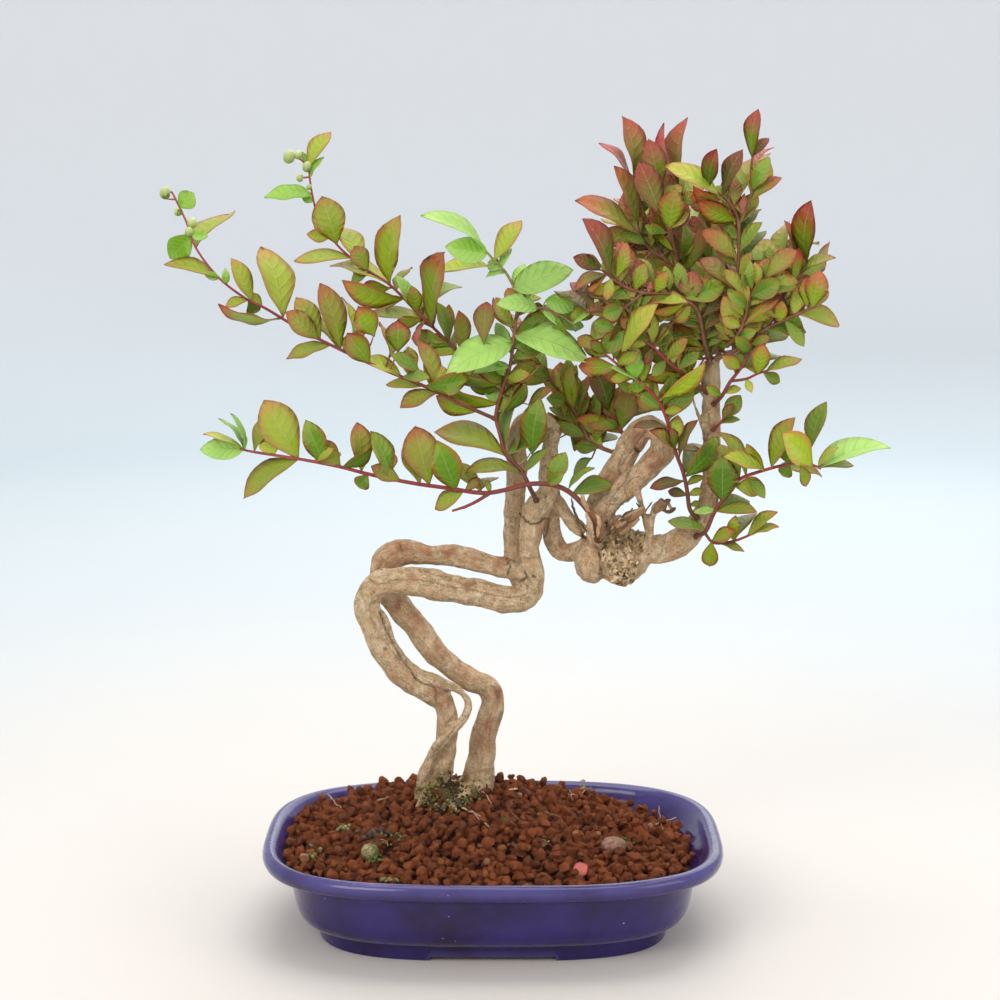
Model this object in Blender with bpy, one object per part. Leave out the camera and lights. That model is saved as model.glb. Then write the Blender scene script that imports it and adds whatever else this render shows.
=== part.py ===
"""Crepe myrtle bonsai in an oval glazed pot. Metres, +Z up.

The origin lies under the middle of the pot, at the height its feet stand on. The front of the tree faces -Y.
The wood, the twigs and the leaves are laid out on sight lines of a view from the front, so their routes are
readings of that view: across and down in its pixels, depth behind the tree's middle plane in millimetres, and
half the thickness in pixels.
"""

import math
import random

import bmesh
import bpy
from mathutils import Quaternion, Vector
from mathutils.bvhtree import BVHTree

MM = 0.001

# Driving sizes of the pot
POT_LENGTH = 0.234
POT_WIDTH = 0.176
POT_HEIGHT = 0.048
POT_SQUARENESS = 3.2
POT_SIDES = 32
FOOT_HEIGHT = 0.0022
FOOT_GAP_FRONT = 0.062
FOOT_GAP_END = 0.046
FLOOR_UNDERSIDE = 0.0020
FLOOR_TOP = 0.0090
DRAIN_RADIUS = 0.0065
DRAIN_OFFSET = 0.050

# Inset from the rim's outline and height: the outside from the underside to the lip, then the cavity's wall
POT_OUTSIDE = [
    (0.0370, FLOOR_UNDERSIDE), (0.0360, 0.0000), (0.0280, 0.0000), (0.0274, 0.0070), (0.0262, 0.0080),
    (0.0225, 0.0092), (0.0185, 0.0125), (0.0163, 0.0180), (0.0148, 0.0270), (0.0125, 0.0360), (0.0050, 0.0385),
    (0.0012, 0.0405), (0.0000, 0.0440), (0.0012, 0.0468), (0.0042, POT_HEIGHT), (0.0072, 0.0465),
]
CAVITY_WALL = [(0.0095, 0.0425), (0.0190, 0.0340), (0.0215, 0.0200), (0.0300, 0.0105), (0.0350, FLOOR_TOP)]

# Driving sizes of the soil
SOIL_EDGE = 0.0435
SOIL_TOP = 0.0576
SOIL_PEAK = Vector((-0.015, 0.017))
SOIL_SPREAD = Vector((0.058, 0.070))
SOIL_FALL = 1.44
SOIL_RIGHT_DROP = 0.0055
SOIL_DROP_START = 0.039
SOIL_DROP_LENGTH = 0.053
SOIL_RINGS = 10
SOIL_SIDES = 32
SOIL_MARGIN = 0.0006
GRAIN_RELIEF = 0.0009
GRAIN_SHIFT = 0.0010
GAP = 0.0003

# Pebbles: the pixel where each shows and its depth, its half sizes and its colour
PEBBLES = {
    "pebble_pale": ((614, 847, -0.0225), (0.0068, 0.0055, 0.0046), (0.50, 0.36, 0.28)),
    "pebble_mossy": ((370, 851, -0.0445), (0.0047, 0.0042, 0.0044), (0.18, 0.20, 0.08)),
}
PEBBLE_SHAPE = (0.93, 1.05)
PEBBLE_STEP = 0.0002

# Ways to split faces into triangles, the evenest first
TRIANGLE_METHODS = [
    (quad, ngon) for ngon in ("BEAUTY", "EAR_CLIP") for quad in ("BEAUTY", "FIXED", "ALTERNATE")
]

# The view that the readings come from
VIEW_EYE = Vector((0.0036, -1.085, 0.411))
VIEW_PITCH = math.radians(10)
VIEW_AHEAD = Vector((0, math.cos(VIEW_PITCH), -math.sin(VIEW_PITCH)))
VIEW_UP = Vector((0, math.sin(VIEW_PITCH), math.cos(VIEW_PITCH)))
VIEW_RIGHT = Vector((1, 0, 0))
VIEW_FOCAL = 2200.0
VIEW_MIDDLE = 500.0
TREE_BACK = 0.004

# Twigs and leaves
WOOD_SIDES = 7
THICK_WOOD = 8
TWIG_SIDES = 3
ROOT_SIDES = 4
WOOD_STEP = 0.0125
ROOT_STEP = 0.0110
TWIG_STEP = 0.0190
TWIG_TRIM_STEP = 0.0002
STALK_WIDTH = 0.0011
STALK_REACH = 0.0036
LEAF_THICKNESS = 0.0010
LEAF_RATIO = 0.50
LEAF_MAX_TURN = math.radians(72)
LEAF_EDGE = ((0.30, 0.88), (0.70, 0.80))
LEAF_CREST = (0.50,)
WIDE_LEAF = 22
WIDE_LEAF_CREST = (0.28, 0.68)
LEAN_TRIES = (0, -16, 16, -32, 32, -48, 48)
LEAN_LIMIT = 66
NEAR_LEAF_LEAN = (-26, 30)
LEAF_ARCH = (0.04, 0.13)
LEAF_FOLD = (0.10, 0.34)
STALK_SLOPE = (-0.5, 0.5)
LEAF_CLEAR_FROM = 0.25
TWIG_SAMPLES = 4

# Leaf colours by letter: green, olive, yellow-green, pale green, copper, red-brown, dark red, pink
LEAF_COLOURS = {
    "g": (0.055, 0.095, 0.040),
    "o": (0.140, 0.130, 0.055),
    "y": (0.340, 0.380, 0.080),
    "p": (0.360, 0.450, 0.180),
    "c": (0.330, 0.130, 0.060),
    "r": (0.200, 0.075, 0.050),
    "d": (0.120, 0.030, 0.028),
    "k": (0.520, 0.250, 0.220),
}

FRONT_TRUNK = [
    (433, 798, 23, 15), (437, 783, 23, 14), (445, 750, 22, 12), (447, 722, 21, 10.5), (442, 700, 20, 11),
    (421, 688, 18, 11.5), (399, 672, 16, 12), (383, 647, 15, 13), (370, 620, 14, 12.5), (367, 603, 14, 13),
    (374, 588, 13, 13), (390, 581, 12, 13), (410, 583, 12, 13), (440, 588, 13, 13), (470, 594, 14, 12),
    (500, 600, 14, 12), (520, 600, 14, 12), (530, 590, 14, 14), (532, 570, 14, 12), (529, 550, 14, 10.5),
    (531, 535, 13, 12), (533, 520, 12, 13), (539, 506, 12, 14), (549, 494, 12, 12), (548, 480, 13, 10),
    (548, 465, 14, 9), (551, 445, 16, 8), (555, 430, 18, 7),
]
REAR_TRUNK = [
    (476, 793, 36, 17.5), (478, 779, 36, 16.5), (481, 760, 36, 14), (483, 740, 36, 13), (489, 718, 36, 12.5),
    (493, 702, 35, 11.5), (487, 687, 34, 12), (466, 677, 33, 12), (440, 657, 31, 12), (420, 632, 29, 13),
    (403, 611, 27, 13), (391, 595, 26, 13), (383, 580, 25, 13), (384, 564, 25, 13), (393, 555, 25, 14),
    (407, 552, 25, 13), (430, 555, 24, 11), (460, 556, 23, 10.5), (480, 562, 22, 11), (500, 567, 21, 10.5),
    (518, 572, 18, 9), (530, 575, 15, 8),
]
BASE_STRAND = [
    (419, 808, 18, 5), (421, 780, 17, 5), (430, 760, 15, 6), (438, 745, 14, 5.5), (450, 735, 14, 5),
    (462, 722, 17, 4.5), (468, 708, 19, 4.5), (466, 698, 20, 4), (458, 690, 20, 4.5), (445, 683, 20, 4.5),
    (432, 677, 20, 4.5), (420, 673, 19, 4.5), (410, 665, 18, 4), (402, 655, 17, 3.5), (392, 637, 15, 3.5),
    (385, 622, 13, 3.5), (380, 610, 12, 3),
]
TOP_STRAND = [
    (382, 577, 12, 3.5), (400, 570, 11, 3.5), (430, 571, 12, 3.5), (450, 577, 13, 3.5), (470, 581, 14, 3.5),
    (490, 586, 14, 3.5), (505, 588, 14, 3.5), (524, 588, 14, 3.5),
]
REAR_STEM = [
    (520, 585, 20, 8), (515, 565, 24, 9), (513, 545, 27, 9), (514, 520, 28, 10), (515, 500, 28, 10.5),
    (517, 475, 27, 10.5), (517, 455, 26, 10), (515, 440, 25, 10), (519, 427, 24, 9), (531, 419, 22, 8),
    (545, 421, 20, 8), (555, 431, 18, 7),
]
KNOB_LOOP = [
    (549, 496, 14, 8), (551, 520, 20, 9), (553, 540, 22, 9), (563, 553, 21, 8.5), (576, 550, 18, 8.5),
    (590, 542, 14, 8),
]
KNOB_BRIDGE = [(556, 500, 14, 7), (568, 517, 15, 7), (584, 533, 13, 7)]
LOOPED_STEM_UP = [
    (609, 547, 13, 13), (600, 505, 13, 14), (612, 480, 14, 14), (625, 455, 15, 13), (638, 433, 15, 12.5),
    (651, 426, 14, 10), (662, 437, 11, 11), (662, 453, 8, 13), (645, 470, 6, 12), (625, 488, 4, 12),
    (608, 504, 3, 12), (598, 522, 4, 12), (602, 545, 8, 14),
]
RIGHT_STEM = [
    (626, 552, 10, 15), (648, 549, 8, 14.5), (664, 549, 6, 15), (679, 543, 4, 15), (693, 530, 3, 12),
    (704, 512, 2, 11), (710, 494, 2, 10), (713, 472, 2, 10), (711, 435, 2, 9.5), (711, 400, 2, 9.5),
    (711, 385, 2, 9), (712, 370, 2, 9), (714, 357, 2, 7),
]
DEAD_STUBS = [
    [(650, 540, 4, 4), (642, 508, 0, 3.5), (637, 489, -1, 3)],
    [(650, 545, 3, 4.5), (652, 520, -1, 4), (658, 504, -2, 3.5), (669, 503, -3, 3), (672, 508, -4, 2)],
    [(622, 545, 6, 6), (626, 520, 4, 4), (634, 507, 4, 1.5)],
    [(610, 545, 6, 6), (609, 522, 3, 4), (612, 509, 2, 1.5)],
    [(704, 430, 1, 4), (697, 412, -2, 2.6), (691, 393, -3, 1.8)],
    [(708, 402, 1, 4), (701, 392, -2, 3), (692, 380, -3, 2)],
    [(596, 545, 8, 8), (591, 520, 6, 4.5), (587, 501, 5, 2)],
]
WOOD_ROUTES = [REAR_TRUNK, BASE_STRAND, TOP_STRAND, REAR_STEM, KNOB_LOOP, KNOB_BRIDGE, LOOPED_STEM_UP,
               RIGHT_STEM, *DEAD_STUBS]
# Lumps of the burl: across, down and depth, then half the width, height and depth in pixels
BURL_LOBES = [(592, 560, 12, 18, 24, 20), (621, 556, 10, 25, 30, 24), (641, 552, 9, 10, 22, 16)]
# Roots that lie on the soil: across, down and radius in pixels
SURFACE_ROOTS = [
    [(428, 793, 6), (423, 800, 4.5), (416, 807, 2.5)],
    [(445, 795, 6), (450, 803, 4.5), (456, 811, 2.5)],
    [(482, 784, 7), (472, 790, 6), (462, 796, 5), (453, 801, 3)],
]
ROOT_REST = 0.0013
ROOT_REAR_DEPTH = 0.060
STRAND_HOLE_MARGIN = 1.2
ROOT_PLUG_RADIUS = 0.0125
ROOT_PLUG_TAPER = 0.0040
ROOT_PLUG_FOOT = 0.0400
ROOT_PLUG_SHOULDER = 0.0590
ROOT_PLUG_TOP = 0.0620
ROOT_PLUG_SIDES = 16

# Each leafy stem: its twigs, the readings of its leaves (base, tip, shown width, colour) and how many leaves
# its far side carries
LEAFY_STEMS = {
    "stem_middle": (
        [
            [(538, 504, 8, 2.4), (530, 488, 0, 2.3), (521, 470, 0, 2.2), (506, 455, 0, 2.1),
             (500, 434, 0, 2), (496, 415, 0, 2),
             (502, 390, 0, 1.9), (510, 366, 0, 1.8), (514, 335, -1, 1.7), (517, 300, -2, 1.5),
             (508, 276, -3, 1.4), (495, 261, -4, 1.3), (480, 245, -5, 1.2)],
            [(516, 316, -2, 1.3), (538, 308, -4, 1.2), (558, 314, -6, 1.1), (577, 327, -7, 1)],
        ],
        [
            (505, 456, 434, 432, 27, "o"), (521, 475, 465, 473, 14, "o"), (520, 467, 524, 416, 12, "r"),
            (532, 454, 540, 398, 28, "g"), (524, 472, 548, 449, 9, "g"), (502, 425, 541, 366, 12, "g"),
            (507, 450, 523, 388, 16, "g"), (504, 412, 527, 383, 12, "g"), (528, 406, 553, 389, 10, "r"),
            (510, 365, 473, 373, 10, "p"), (503, 385, 453, 369, 12, "r"), (498, 401, 435, 380, 17, "o"),
            (512, 342, 446, 373, 32, "p"), (488, 252, 445, 246, 26, "p"), (480, 245, 421, 215, 14, "p"),
            (488, 266, 432, 273, 14, "y"), (515, 284, 573, 269, 30, "p"), (503, 273, 486, 277, 6, "p"),
            (538, 304, 496, 304, 18, "p"), (545, 300, 579, 306, 20, "p"), (518, 331, 572, 322, 26, "g"),
            (520, 339, 589, 363, 30, "p"), (574, 327, 620, 289, 14, "p"), (484, 344, 487, 302, 22, "r"),
            (512, 330, 491, 307, 12, "o"), (517, 292, 532, 288, 8, "y"), (518, 298, 541, 298, 8, "y"),
            (511, 358, 540, 352, 13, "g"), (505, 378, 530, 374, 14, "o"),
        ],
        4,
    ),
    "stem_left_lower": (
        [
            [(498, 420, 1, 2), (477, 411, -4, 1.9), (450, 399, -10, 1.8), (424, 386, -14, 1.8),
             (380, 368, -21, 1.7), (341, 350, -27, 1.6), (300, 329, -30, 1.5), (265, 308, -30, 1.4),
             (248, 300, -30, 1.3), (219, 278, -28, 1.2), (196, 248, -25, 1.1), (186, 221, -23, 1.1),
             (172, 192, -21, 1)],
        ],
        [
            (183, 209, 194, 193, 20, "o"), (187, 239, 170, 258, 26, "o"), (190, 238, 208, 236, 10, "p"),
            (221, 279, 164, 264, 14, "r"), (217, 277, 204, 273, 8, "p"), (229, 285, 225, 268, 8, "p"),
            (253, 301, 231, 258, 18, "r"), (280, 314, 261, 246, 33, "o"), (245, 300, 225, 306, 10, "o"),
            (279, 316, 218, 306, 10, "r"), (318, 337, 296, 297, 24, "o"), (318, 338, 285, 312, 22, "r"),
            (341, 347, 320, 283, 26, "r"), (352, 352, 341, 297, 10, "o"), (334, 349, 286, 358, 14, "o"),
            (375, 336, 358, 306, 25, "r"), (398, 352, 398, 320, 26, "r"), (370, 360, 347, 333, 25, "c"),
            (403, 371, 361, 360, 14, "y"), (420, 371, 391, 355, 15, "g"), (401, 372, 430, 378, 12, "g"),
            (422, 388, 386, 385, 11, "o"), (438, 393, 400, 407, 17, "r"), (476, 413, 436, 396, 18, "o"),
            (441, 391, 418, 339, 18, "c"), (167, 199, 165, 193, 8, "g"), (183, 214, 177, 210, 7, "g"),
        ],
        4,
    ),
    "stem_left_upper": (
        [
            [(502, 390, 1, 1.9), (474, 369, 8, 1.8), (449, 343, 12, 1.7), (417, 312, 16, 1.6),
             (390, 285, 20, 1.5), (361, 266, 23, 1.4), (340, 248, 25, 1.3), (328, 232, 26, 1.3),
             (317, 213, 26, 1.2), (311, 188, 26, 1.1), (308, 168, 26, 1.1), (298, 158, 26, 1),
             (288, 158, 26, 0.9)],
        ],
        [
            (312, 177, 324, 157, 7, "k"), (310, 196, 264, 196, 15, "o"), (318, 201, 302, 197, 8, "o"),
            (326, 238, 307, 234, 14, "o"), (338, 246, 322, 196, 34, "o"), (352, 259, 294, 261, 14, "r"),
            (369, 270, 354, 246, 20, "r"), (390, 283, 400, 215, 26, "r"), (392, 289, 330, 264, 15, "o"),
            (371, 272, 351, 284, 10, "g"), (415, 310, 412, 286, 16, "o"), (408, 302, 395, 275, 12, "p"),
            (433, 326, 445, 252, 23, "r"), (450, 341, 437, 302, 14, "g"), (430, 325, 438, 308, 6, "k"),
            (401, 298, 342, 280, 22, "o"), (432, 331, 365, 317, 13, "o"), (425, 324, 416, 342, 6, "k"),
            (462, 350, 458, 310, 17, "c"), (463, 358, 422, 353, 14, "o"), (289, 158, 284, 155, 8, "g"),
            (308, 166, 300, 152, 7, "g"), (474, 372, 452, 388, 14, "o"),
        ],
        4,
    ),
    "stem_low_left": (
        [
            [(601, 550, 7, 3.6), (597, 534, -5, 3.4), (591, 515, -7, 3.2), (572, 494, -7, 2.8),
             (553, 485, -6, 2.6), (529, 484, -6, 2.5), (505, 490, -6, 2.4), (482, 493, -7, 2.3),
             (447, 488, -10, 2.2), (412, 483, -14, 2.1), (368, 474, -18, 2), (341, 467, -20, 1.9),
             (305, 460, -23, 1.7), (280, 456, -24, 1.6), (254, 452, -25, 1.4), (240, 449, -26, 1.2)],
            [(490, 493, -6, 2), (479, 500, -8, 1.8), (467, 506, -10, 1.6), (452, 511, -11, 1.2)],
        ],
        [
            (244, 449, 200, 449, 22, "p"), (240, 449, 203, 434, 6, "y"), (240, 448, 231, 413, 5, "p"),
            (238, 447, 219, 418, 5, "p"), (242, 448, 243, 430, 5, "p"), (271, 456, 267, 436, 22, "y"),
            (297, 458, 264, 400, 40, "o"), (296, 461, 244, 499, 22, "o"), (326, 465, 306, 420, 24, "g"),
            (341, 467, 316, 441, 24, "c"), (363, 472, 357, 422, 23, "r"), (388, 478, 370, 431, 20, "g"),
            (398, 481, 371, 466, 17, "c"), (428, 485, 415, 426, 36, "r"), (458, 489, 437, 440, 31, "g"),
            (460, 491, 435, 509, 17, "o"), (464, 491, 480, 478, 10, "r"), (548, 480, 566, 452, 20, "g"),
            (546, 483, 564, 472, 12, "g"), (566, 489, 595, 468, 7, "g"), (490, 491, 486, 480, 6, "o"),
            (344, 468, 372, 448, 12, "g"), (312, 462, 334, 448, 11, "o"),
        ],
        4,
    ),
    "stem_back_centre": (
        [
            [(624, 456, 17, 2.4), (597, 446, 24, 2.2), (588, 438, 25, 2), (580, 421, 27, 1.8),
             (574, 410, 28, 1.7), (564, 397, 29, 1.6), (551, 381, 30, 1.5), (546, 367, 30, 1.3)],
            [(588, 439, 25, 1.6), (577, 438, 27, 1.5), (568, 432, 29, 1.3)],
        ],
        [
            (580, 417, 591, 375, 11, "r"), (595, 432, 600, 389, 13, "g"), (568, 431, 556, 372, 25, "o"),
            (593, 451, 575, 447, 12, "g"), (574, 409, 571, 366, 17, "o"), (556, 388, 577, 366, 14, "o"),
            (549, 377, 533, 366, 12, "g"), (567, 400, 547, 398, 16, "g"), (579, 425, 600, 424, 16, "g"),
            (566, 430, 562, 410, 14, "o"),
        ],
        3,
    ),
    "stem_back_small": (
        [
            [(626, 441, 20, 2), (621, 430, 22, 1.7), (614, 419, 24, 1.5), (607, 410, 25, 1.3)],
        ],
        [
            (610, 412, 590, 361, 25, "d"), (621, 430, 630, 386, 26, "r"), (614, 420, 603, 404, 10, "r"),
            (618, 428, 604, 420, 10, "g"), (611, 414, 622, 392, 12, "g"), (624, 436, 640, 424, 10, "o"),
        ],
        1,
    ),
    "stem_right_red": (
        [
            [(699, 520, -2, 2.4), (690, 510, -6, 2.2), (687, 490, -8, 2.1), (683, 472, -9, 2),
             (675, 450, -11, 1.9), (667, 420, -13, 1.8), (660, 404, -14, 1.7), (650, 391, -15, 1.6),
             (635, 379, -16, 1.5), (617, 364, -17, 1.3), (600, 350, -17, 1.2)],
        ],
        [
            (640, 384, 610, 366, 5, "p"), (648, 390, 641, 381, 7, "y"), (658, 401, 706, 361, 16, "y"),
            (668, 421, 690, 380, 25, "g"), (668, 426, 633, 428, 8, "d"), (674, 451, 650, 430, 12, "r"),
            (678, 451, 671, 428, 9, "r"), (674, 441, 678, 415, 16, "o"), (674, 450, 701, 450, 8, "r"),
            (685, 477, 718, 436, 22, "g"), (684, 479, 650, 488, 12, "d"), (679, 459, 698, 420, 10, "r"),
            (687, 497, 668, 491, 10, "d"), (687, 486, 704, 476, 8, "o"), (688, 496, 704, 490, 8, "o"),
            (689, 507, 700, 502, 6, "g"), (655, 410, 639, 392, 15, "g"), (635, 378, 631, 341, 19, "p"),
            (617, 365, 640, 352, 14, "o"), (603, 352, 590, 340, 12, "r"), (664, 412, 682, 408, 10, "o"),
            (628, 374, 610, 379, 11, "o"),
        ],
        3,
    ),
    "stem_right_lower": (
        [
            [(697, 536, -4, 2.4), (706, 531, -12, 2.2), (715, 511, -14, 2.1), (729, 492, -16, 2),
             (740, 479, -18, 1.8), (765, 470, -22, 1.7), (790, 464, -25, 1.5), (810, 464, -27, 1.3),
             (821, 469, -28, 1.2)],
            [(705, 533, -12, 1.8), (714, 543, -14, 1.5), (734, 541, -16, 1.4), (752, 534, -18, 1.2)],
        ],
        [
            (722, 500, 723, 455, 32, "g"), (764, 471, 723, 457, 15, "y"), (743, 471, 719, 431, 14, "o"),
            (762, 470, 746, 444, 14, "o"), (769, 469, 794, 417, 20, "o"), (788, 465, 784, 440, 17, "g"),
            (814, 465, 782, 433, 28, "y"), (810, 450, 826, 401, 19, "g"), (819, 467, 891, 449, 20, "p"),
            (820, 466, 838, 447, 8, "y"), (780, 467, 822, 476, 12, "o"), (819, 469, 854, 465, 12, "o"),
            (736, 485, 765, 487, 20, "o"), (732, 488, 701, 484, 6, "k"), (716, 513, 757, 512, 13, "o"),
            (736, 540, 736, 515, 13, "o"), (712, 541, 735, 530, 15, "c"), (710, 541, 709, 566, 17, "o"),
            (752, 535, 779, 527, 9, "o"), (750, 535, 777, 511, 12, "o"), (718, 543, 744, 552, 7, "o"),
            (706, 531, 668, 521, 13, "g"), (715, 512, 694, 512, 8, "p"), (748, 476, 765, 498, 12, "g"),
            (798, 464, 806, 486, 12, "o"),
        ],
        4,
    ),
    "stem_trunk_side": (
        [
            [(713, 430, -3, 1.6), (722, 421, -6, 1.4), (727, 409, -7, 1.1)],
        ],
        [
            (723, 418, 741, 395, 17, "g"), (722, 420, 734, 404, 8, "r"), (720, 423, 740, 419, 7, "g"),
        ],
        0,
    ),
    "crown_right": (
        [
            [(714, 350, 2, 3.4), (722, 340, 0, 3), (731, 318, -3, 2.6), (733, 300, -5, 2.3),
             (738, 268, -6, 2.1),
             (739, 238, -6, 2), (738, 220, -6, 1.9), (731, 205, -6, 1.7), (720, 194, -5, 1.5),
             (704, 187, -4, 1.2)],
            [(739, 225, -6, 1.6), (748, 206, -9, 1.5), (752, 190, -10, 1.4), (751, 172, -10, 1.3),
             (753, 152, -10, 1.1)],
        ],
        [
            (754, 153, 758, 109, 17, "o"), (702, 187, 716, 149, 18, "d"), (724, 197, 742, 149, 17, "d"),
            (752, 158, 769, 138, 10, "d"), (733, 209, 770, 152, 20, "c"), (752, 190, 770, 157, 18, "g"),
            (752, 168, 774, 147, 6, "k"), (750, 201, 782, 178, 13, "o"), (741, 215, 745, 193, 8, "k"),
            (720, 195, 665, 166, 18, "p"), (732, 208, 693, 186, 12, "c"), (738, 221, 698, 200, 20, "o"),
            (738, 259, 701, 230, 20, "c"), (739, 245, 761, 209, 14, "p"), (739, 252, 762, 222, 14, "g"),
            (740, 223, 757, 205, 7, "o"), (730, 204, 704, 212, 10, "r"), (738, 266, 766, 230, 16, "g"),
            (735, 284, 772, 263, 14, "c"), (734, 289, 699, 258, 18, "c"), (733, 297, 713, 277, 9, "o"),
            (733, 300, 704, 286, 10, "o"), (731, 310, 700, 300, 12, "g"), (722, 340, 719, 318, 14, "c"),
            (716, 350, 682, 348, 10, "p"), (737, 275, 752, 252, 12, "o"), (738, 240, 722, 226, 14, "g"),
        ],
        4,
    ),
    "crown_left": (
        [
            [(711, 350, 4, 3.2), (702, 336, 6, 2.8), (689, 317, 8, 2.5), (686, 299, 10, 2.3),
             (682, 276, 11, 2.1), (667, 262, 12, 2), (655, 244, 13, 1.8), (647, 222, 14, 1.6),
             (640, 200, 14, 1.4), (633, 179, 14, 1.2)],
            [(664, 259, 12, 1.5), (650, 249, 10, 1.4), (636, 232, 8, 1.1)],
            [(682, 277, 11, 1.6), (676, 252, 6, 1.5), (668, 229, 2, 1.4), (659, 212, 0, 1.1)],
            [(656, 246, 13, 1.5), (668, 226, 18, 1.4), (678, 207, 21, 1.3), (682, 191, 22, 1.1)],
            [(647, 222, 14, 1.4), (655, 205, 13, 1.3), (661, 187, 12, 1.1)],
        ],
        [
            (632, 180, 621, 116, 22, "o"), (630, 178, 600, 142, 8, "k"), (660, 189, 649, 139, 25, "r"),
            (659, 211, 639, 162, 28, "c"), (682, 193, 686, 117, 20, "r"), (681, 191, 663, 123, 14, "k"),
            (638, 227, 613, 166, 17, "o"), (636, 232, 576, 199, 18, "o"), (656, 250, 655, 199, 22, "r"),
            (669, 230, 675, 188, 28, "d"), (640, 202, 628, 194, 9, "r"), (647, 247, 621, 233, 12, "g"),
            (678, 288, 676, 252, 15, "o"), (675, 266, 684, 228, 22, "r"), (685, 272, 683, 222, 14, "g"),
            (688, 276, 700, 225, 12, "o"), (667, 228, 690, 212, 12, "o"), (652, 233, 632, 222, 14, "g"),
            (672, 268, 652, 272, 12, "o"), (686, 300, 706, 285, 12, "g"), (644, 212, 624, 208, 12, "r"),
            (677, 208, 694, 192, 14, "o"), (683, 282, 664, 282, 12, "r"),
        ],
        4,
    ),
    "crown_left_lower": (
        [
            [(709, 362, -2, 2.4), (704, 340, -9, 2.2), (698, 312, -15, 2.1), (684, 298, -17, 1.9),
             (670, 294, -18, 1.8), (640, 292, -21, 1.6), (620, 284, -23, 1.4), (603, 271, -24, 1.1)],
            [(642, 293, -21, 1.4), (632, 302, -22, 1.2), (621, 310, -22, 1)],
        ],
        [
            (612, 278, 585, 218, 20, "d"), (601, 270, 573, 257, 15, "o"), (618, 284, 597, 242, 17, "o"),
            (621, 283, 623, 241, 22, "r"), (671, 293, 622, 269, 20, "r"), (694, 304, 691, 270, 24, "r"),
            (633, 303, 631, 282, 11, "c"), (648, 292, 651, 280, 6, "k"), (672, 296, 645, 303, 15, "r"),
            (687, 302, 653, 312, 9, "p"), (624, 308, 602, 315, 18, "g"), (622, 311, 610, 324, 8, "r"),
            (604, 273, 590, 293, 10, "r"), (602, 272, 573, 291, 12, "r"), (655, 294, 667, 270, 14, "o"),
            (636, 292, 645, 262, 16, "o"), (666, 295, 660, 322, 14, "g"), (690, 303, 676, 322, 14, "o"),
            (703, 330, 716, 300, 14, "g"), (612, 279, 606, 300, 12, "o"),
        ],
        3,
    ),
    "crown_front": (
        [
            [(706, 392, -3, 2), (694, 381, -10, 1.8), (678, 370, -14, 1.7), (666, 360, -16, 1.6),
             (653, 347, -18, 1.4), (640, 337, -20, 1.2), (634, 328, -21, 1)],
        ],
        [
            (622, 352, 658, 304, 20, "y"), (634, 331, 598, 350, 22, "g"), (652, 348, 645, 364, 10, "d"),
            (641, 338, 650, 312, 13, "o"), (666, 361, 688, 338, 14, "o"), (667, 361, 652, 376, 12, "g"),
            (679, 371, 700, 352, 13, "g"), (634, 329, 620, 318, 12, "r"), (690, 378, 678, 352, 14, "o"),
        ],
        1,
    ),
    "crown_far_right": (
        [
            [(718, 358, -3, 2.6), (732, 352, -9, 2.3), (746, 343, -12, 2.2), (765, 329, -16, 2),
             (784, 320, -19, 1.8), (797, 314, -21, 1.6), (817, 306, -23, 1.2)],
            [(768, 327, -16, 1.7), (778, 306, -14, 1.6), (789, 288, -12, 1.5), (800, 274, -10, 1.4),
             (810, 260, -8, 1.1)],
        ],
        [
            (809, 262, 812, 200, 24, "r"), (796, 278, 785, 220, 14, "o"), (802, 271, 796, 228, 8, "r"),
            (796, 314, 840, 325, 19, "g"), (812, 308, 820, 270, 24, "d"), (794, 315, 801, 283, 17, "o"),
            (800, 276, 836, 258, 10, "o"), (792, 283, 798, 247, 12, "k"), (785, 294, 772, 270, 14, "o"),
            (779, 322, 782, 300, 14, "o"), (767, 327, 775, 298, 12, "o"), (787, 291, 784, 262, 12, "g"),
            (764, 330, 806, 332, 18, "g"), (748, 341, 766, 350, 12, "o"), (760, 332, 750, 312, 14, "o"),
            (732, 353, 745, 330, 13, "g"), (783, 321, 804, 346, 14, "g"), (805, 311, 829, 291, 14, "o"),
        ],
        4,
    ),
    "crown_right_lower": (
        [
            [(714, 404, -3, 2.2), (722, 396, -9, 2), (730, 382, -11, 1.8), (741, 368, -14, 1.6),
             (750, 352, -16, 1.3), (751, 342, -16, 1)],
            [(731, 381, -11, 1.5), (746, 379, -14, 1.4), (757, 374, -16, 1.2), (769, 370, -18, 1)],
        ],
        [
            (757, 374, 764, 343, 19, "o"), (768, 371, 802, 359, 12, "o"), (746, 379, 752, 392, 8, "y"),
            (751, 345, 770, 336, 12, "o"), (741, 368, 722, 356, 14, "o"), (735, 376, 741, 352, 13, "g"),
            (750, 352, 735, 336, 14, "g"), (725, 391, 741, 388, 8, "y"), (762, 373, 780, 382, 12, "g"),
            (722, 396, 706, 386, 10, "g"),
        ],
        2,
    ),
    "crown_middle": (
        [
            [(728, 345, -11, 1.8), (738, 335, -19, 1.6), (745, 318, -22, 1.5), (750, 297, -23, 1.4),
             (758, 286, -24, 1.2), (767, 277, -24, 1)],
        ],
        [
            (766, 279, 797, 250, 20, "c"), (751, 296, 776, 283, 12, "o"), (745, 312, 749, 284, 10, "o"),
            (741, 325, 780, 295, 16, "k"), (747, 306, 727, 292, 14, "g"), (741, 327, 722, 318, 13, "o"),
            (758, 286, 755, 262, 13, "o"), (737, 337, 757, 330, 12, "g"),
        ],
        1,
    ),
    "crown_back_left": (
        [
            [(708, 352, 9, 2.6), (692, 330, 22, 2.2), (672, 300, 34, 1.9), (655, 268, 42, 1.6),
             (640, 238, 48, 1.3), (628, 212, 52, 1)],
        ],
        [],
        14,
    ),
    "crown_back": (
        [
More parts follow.
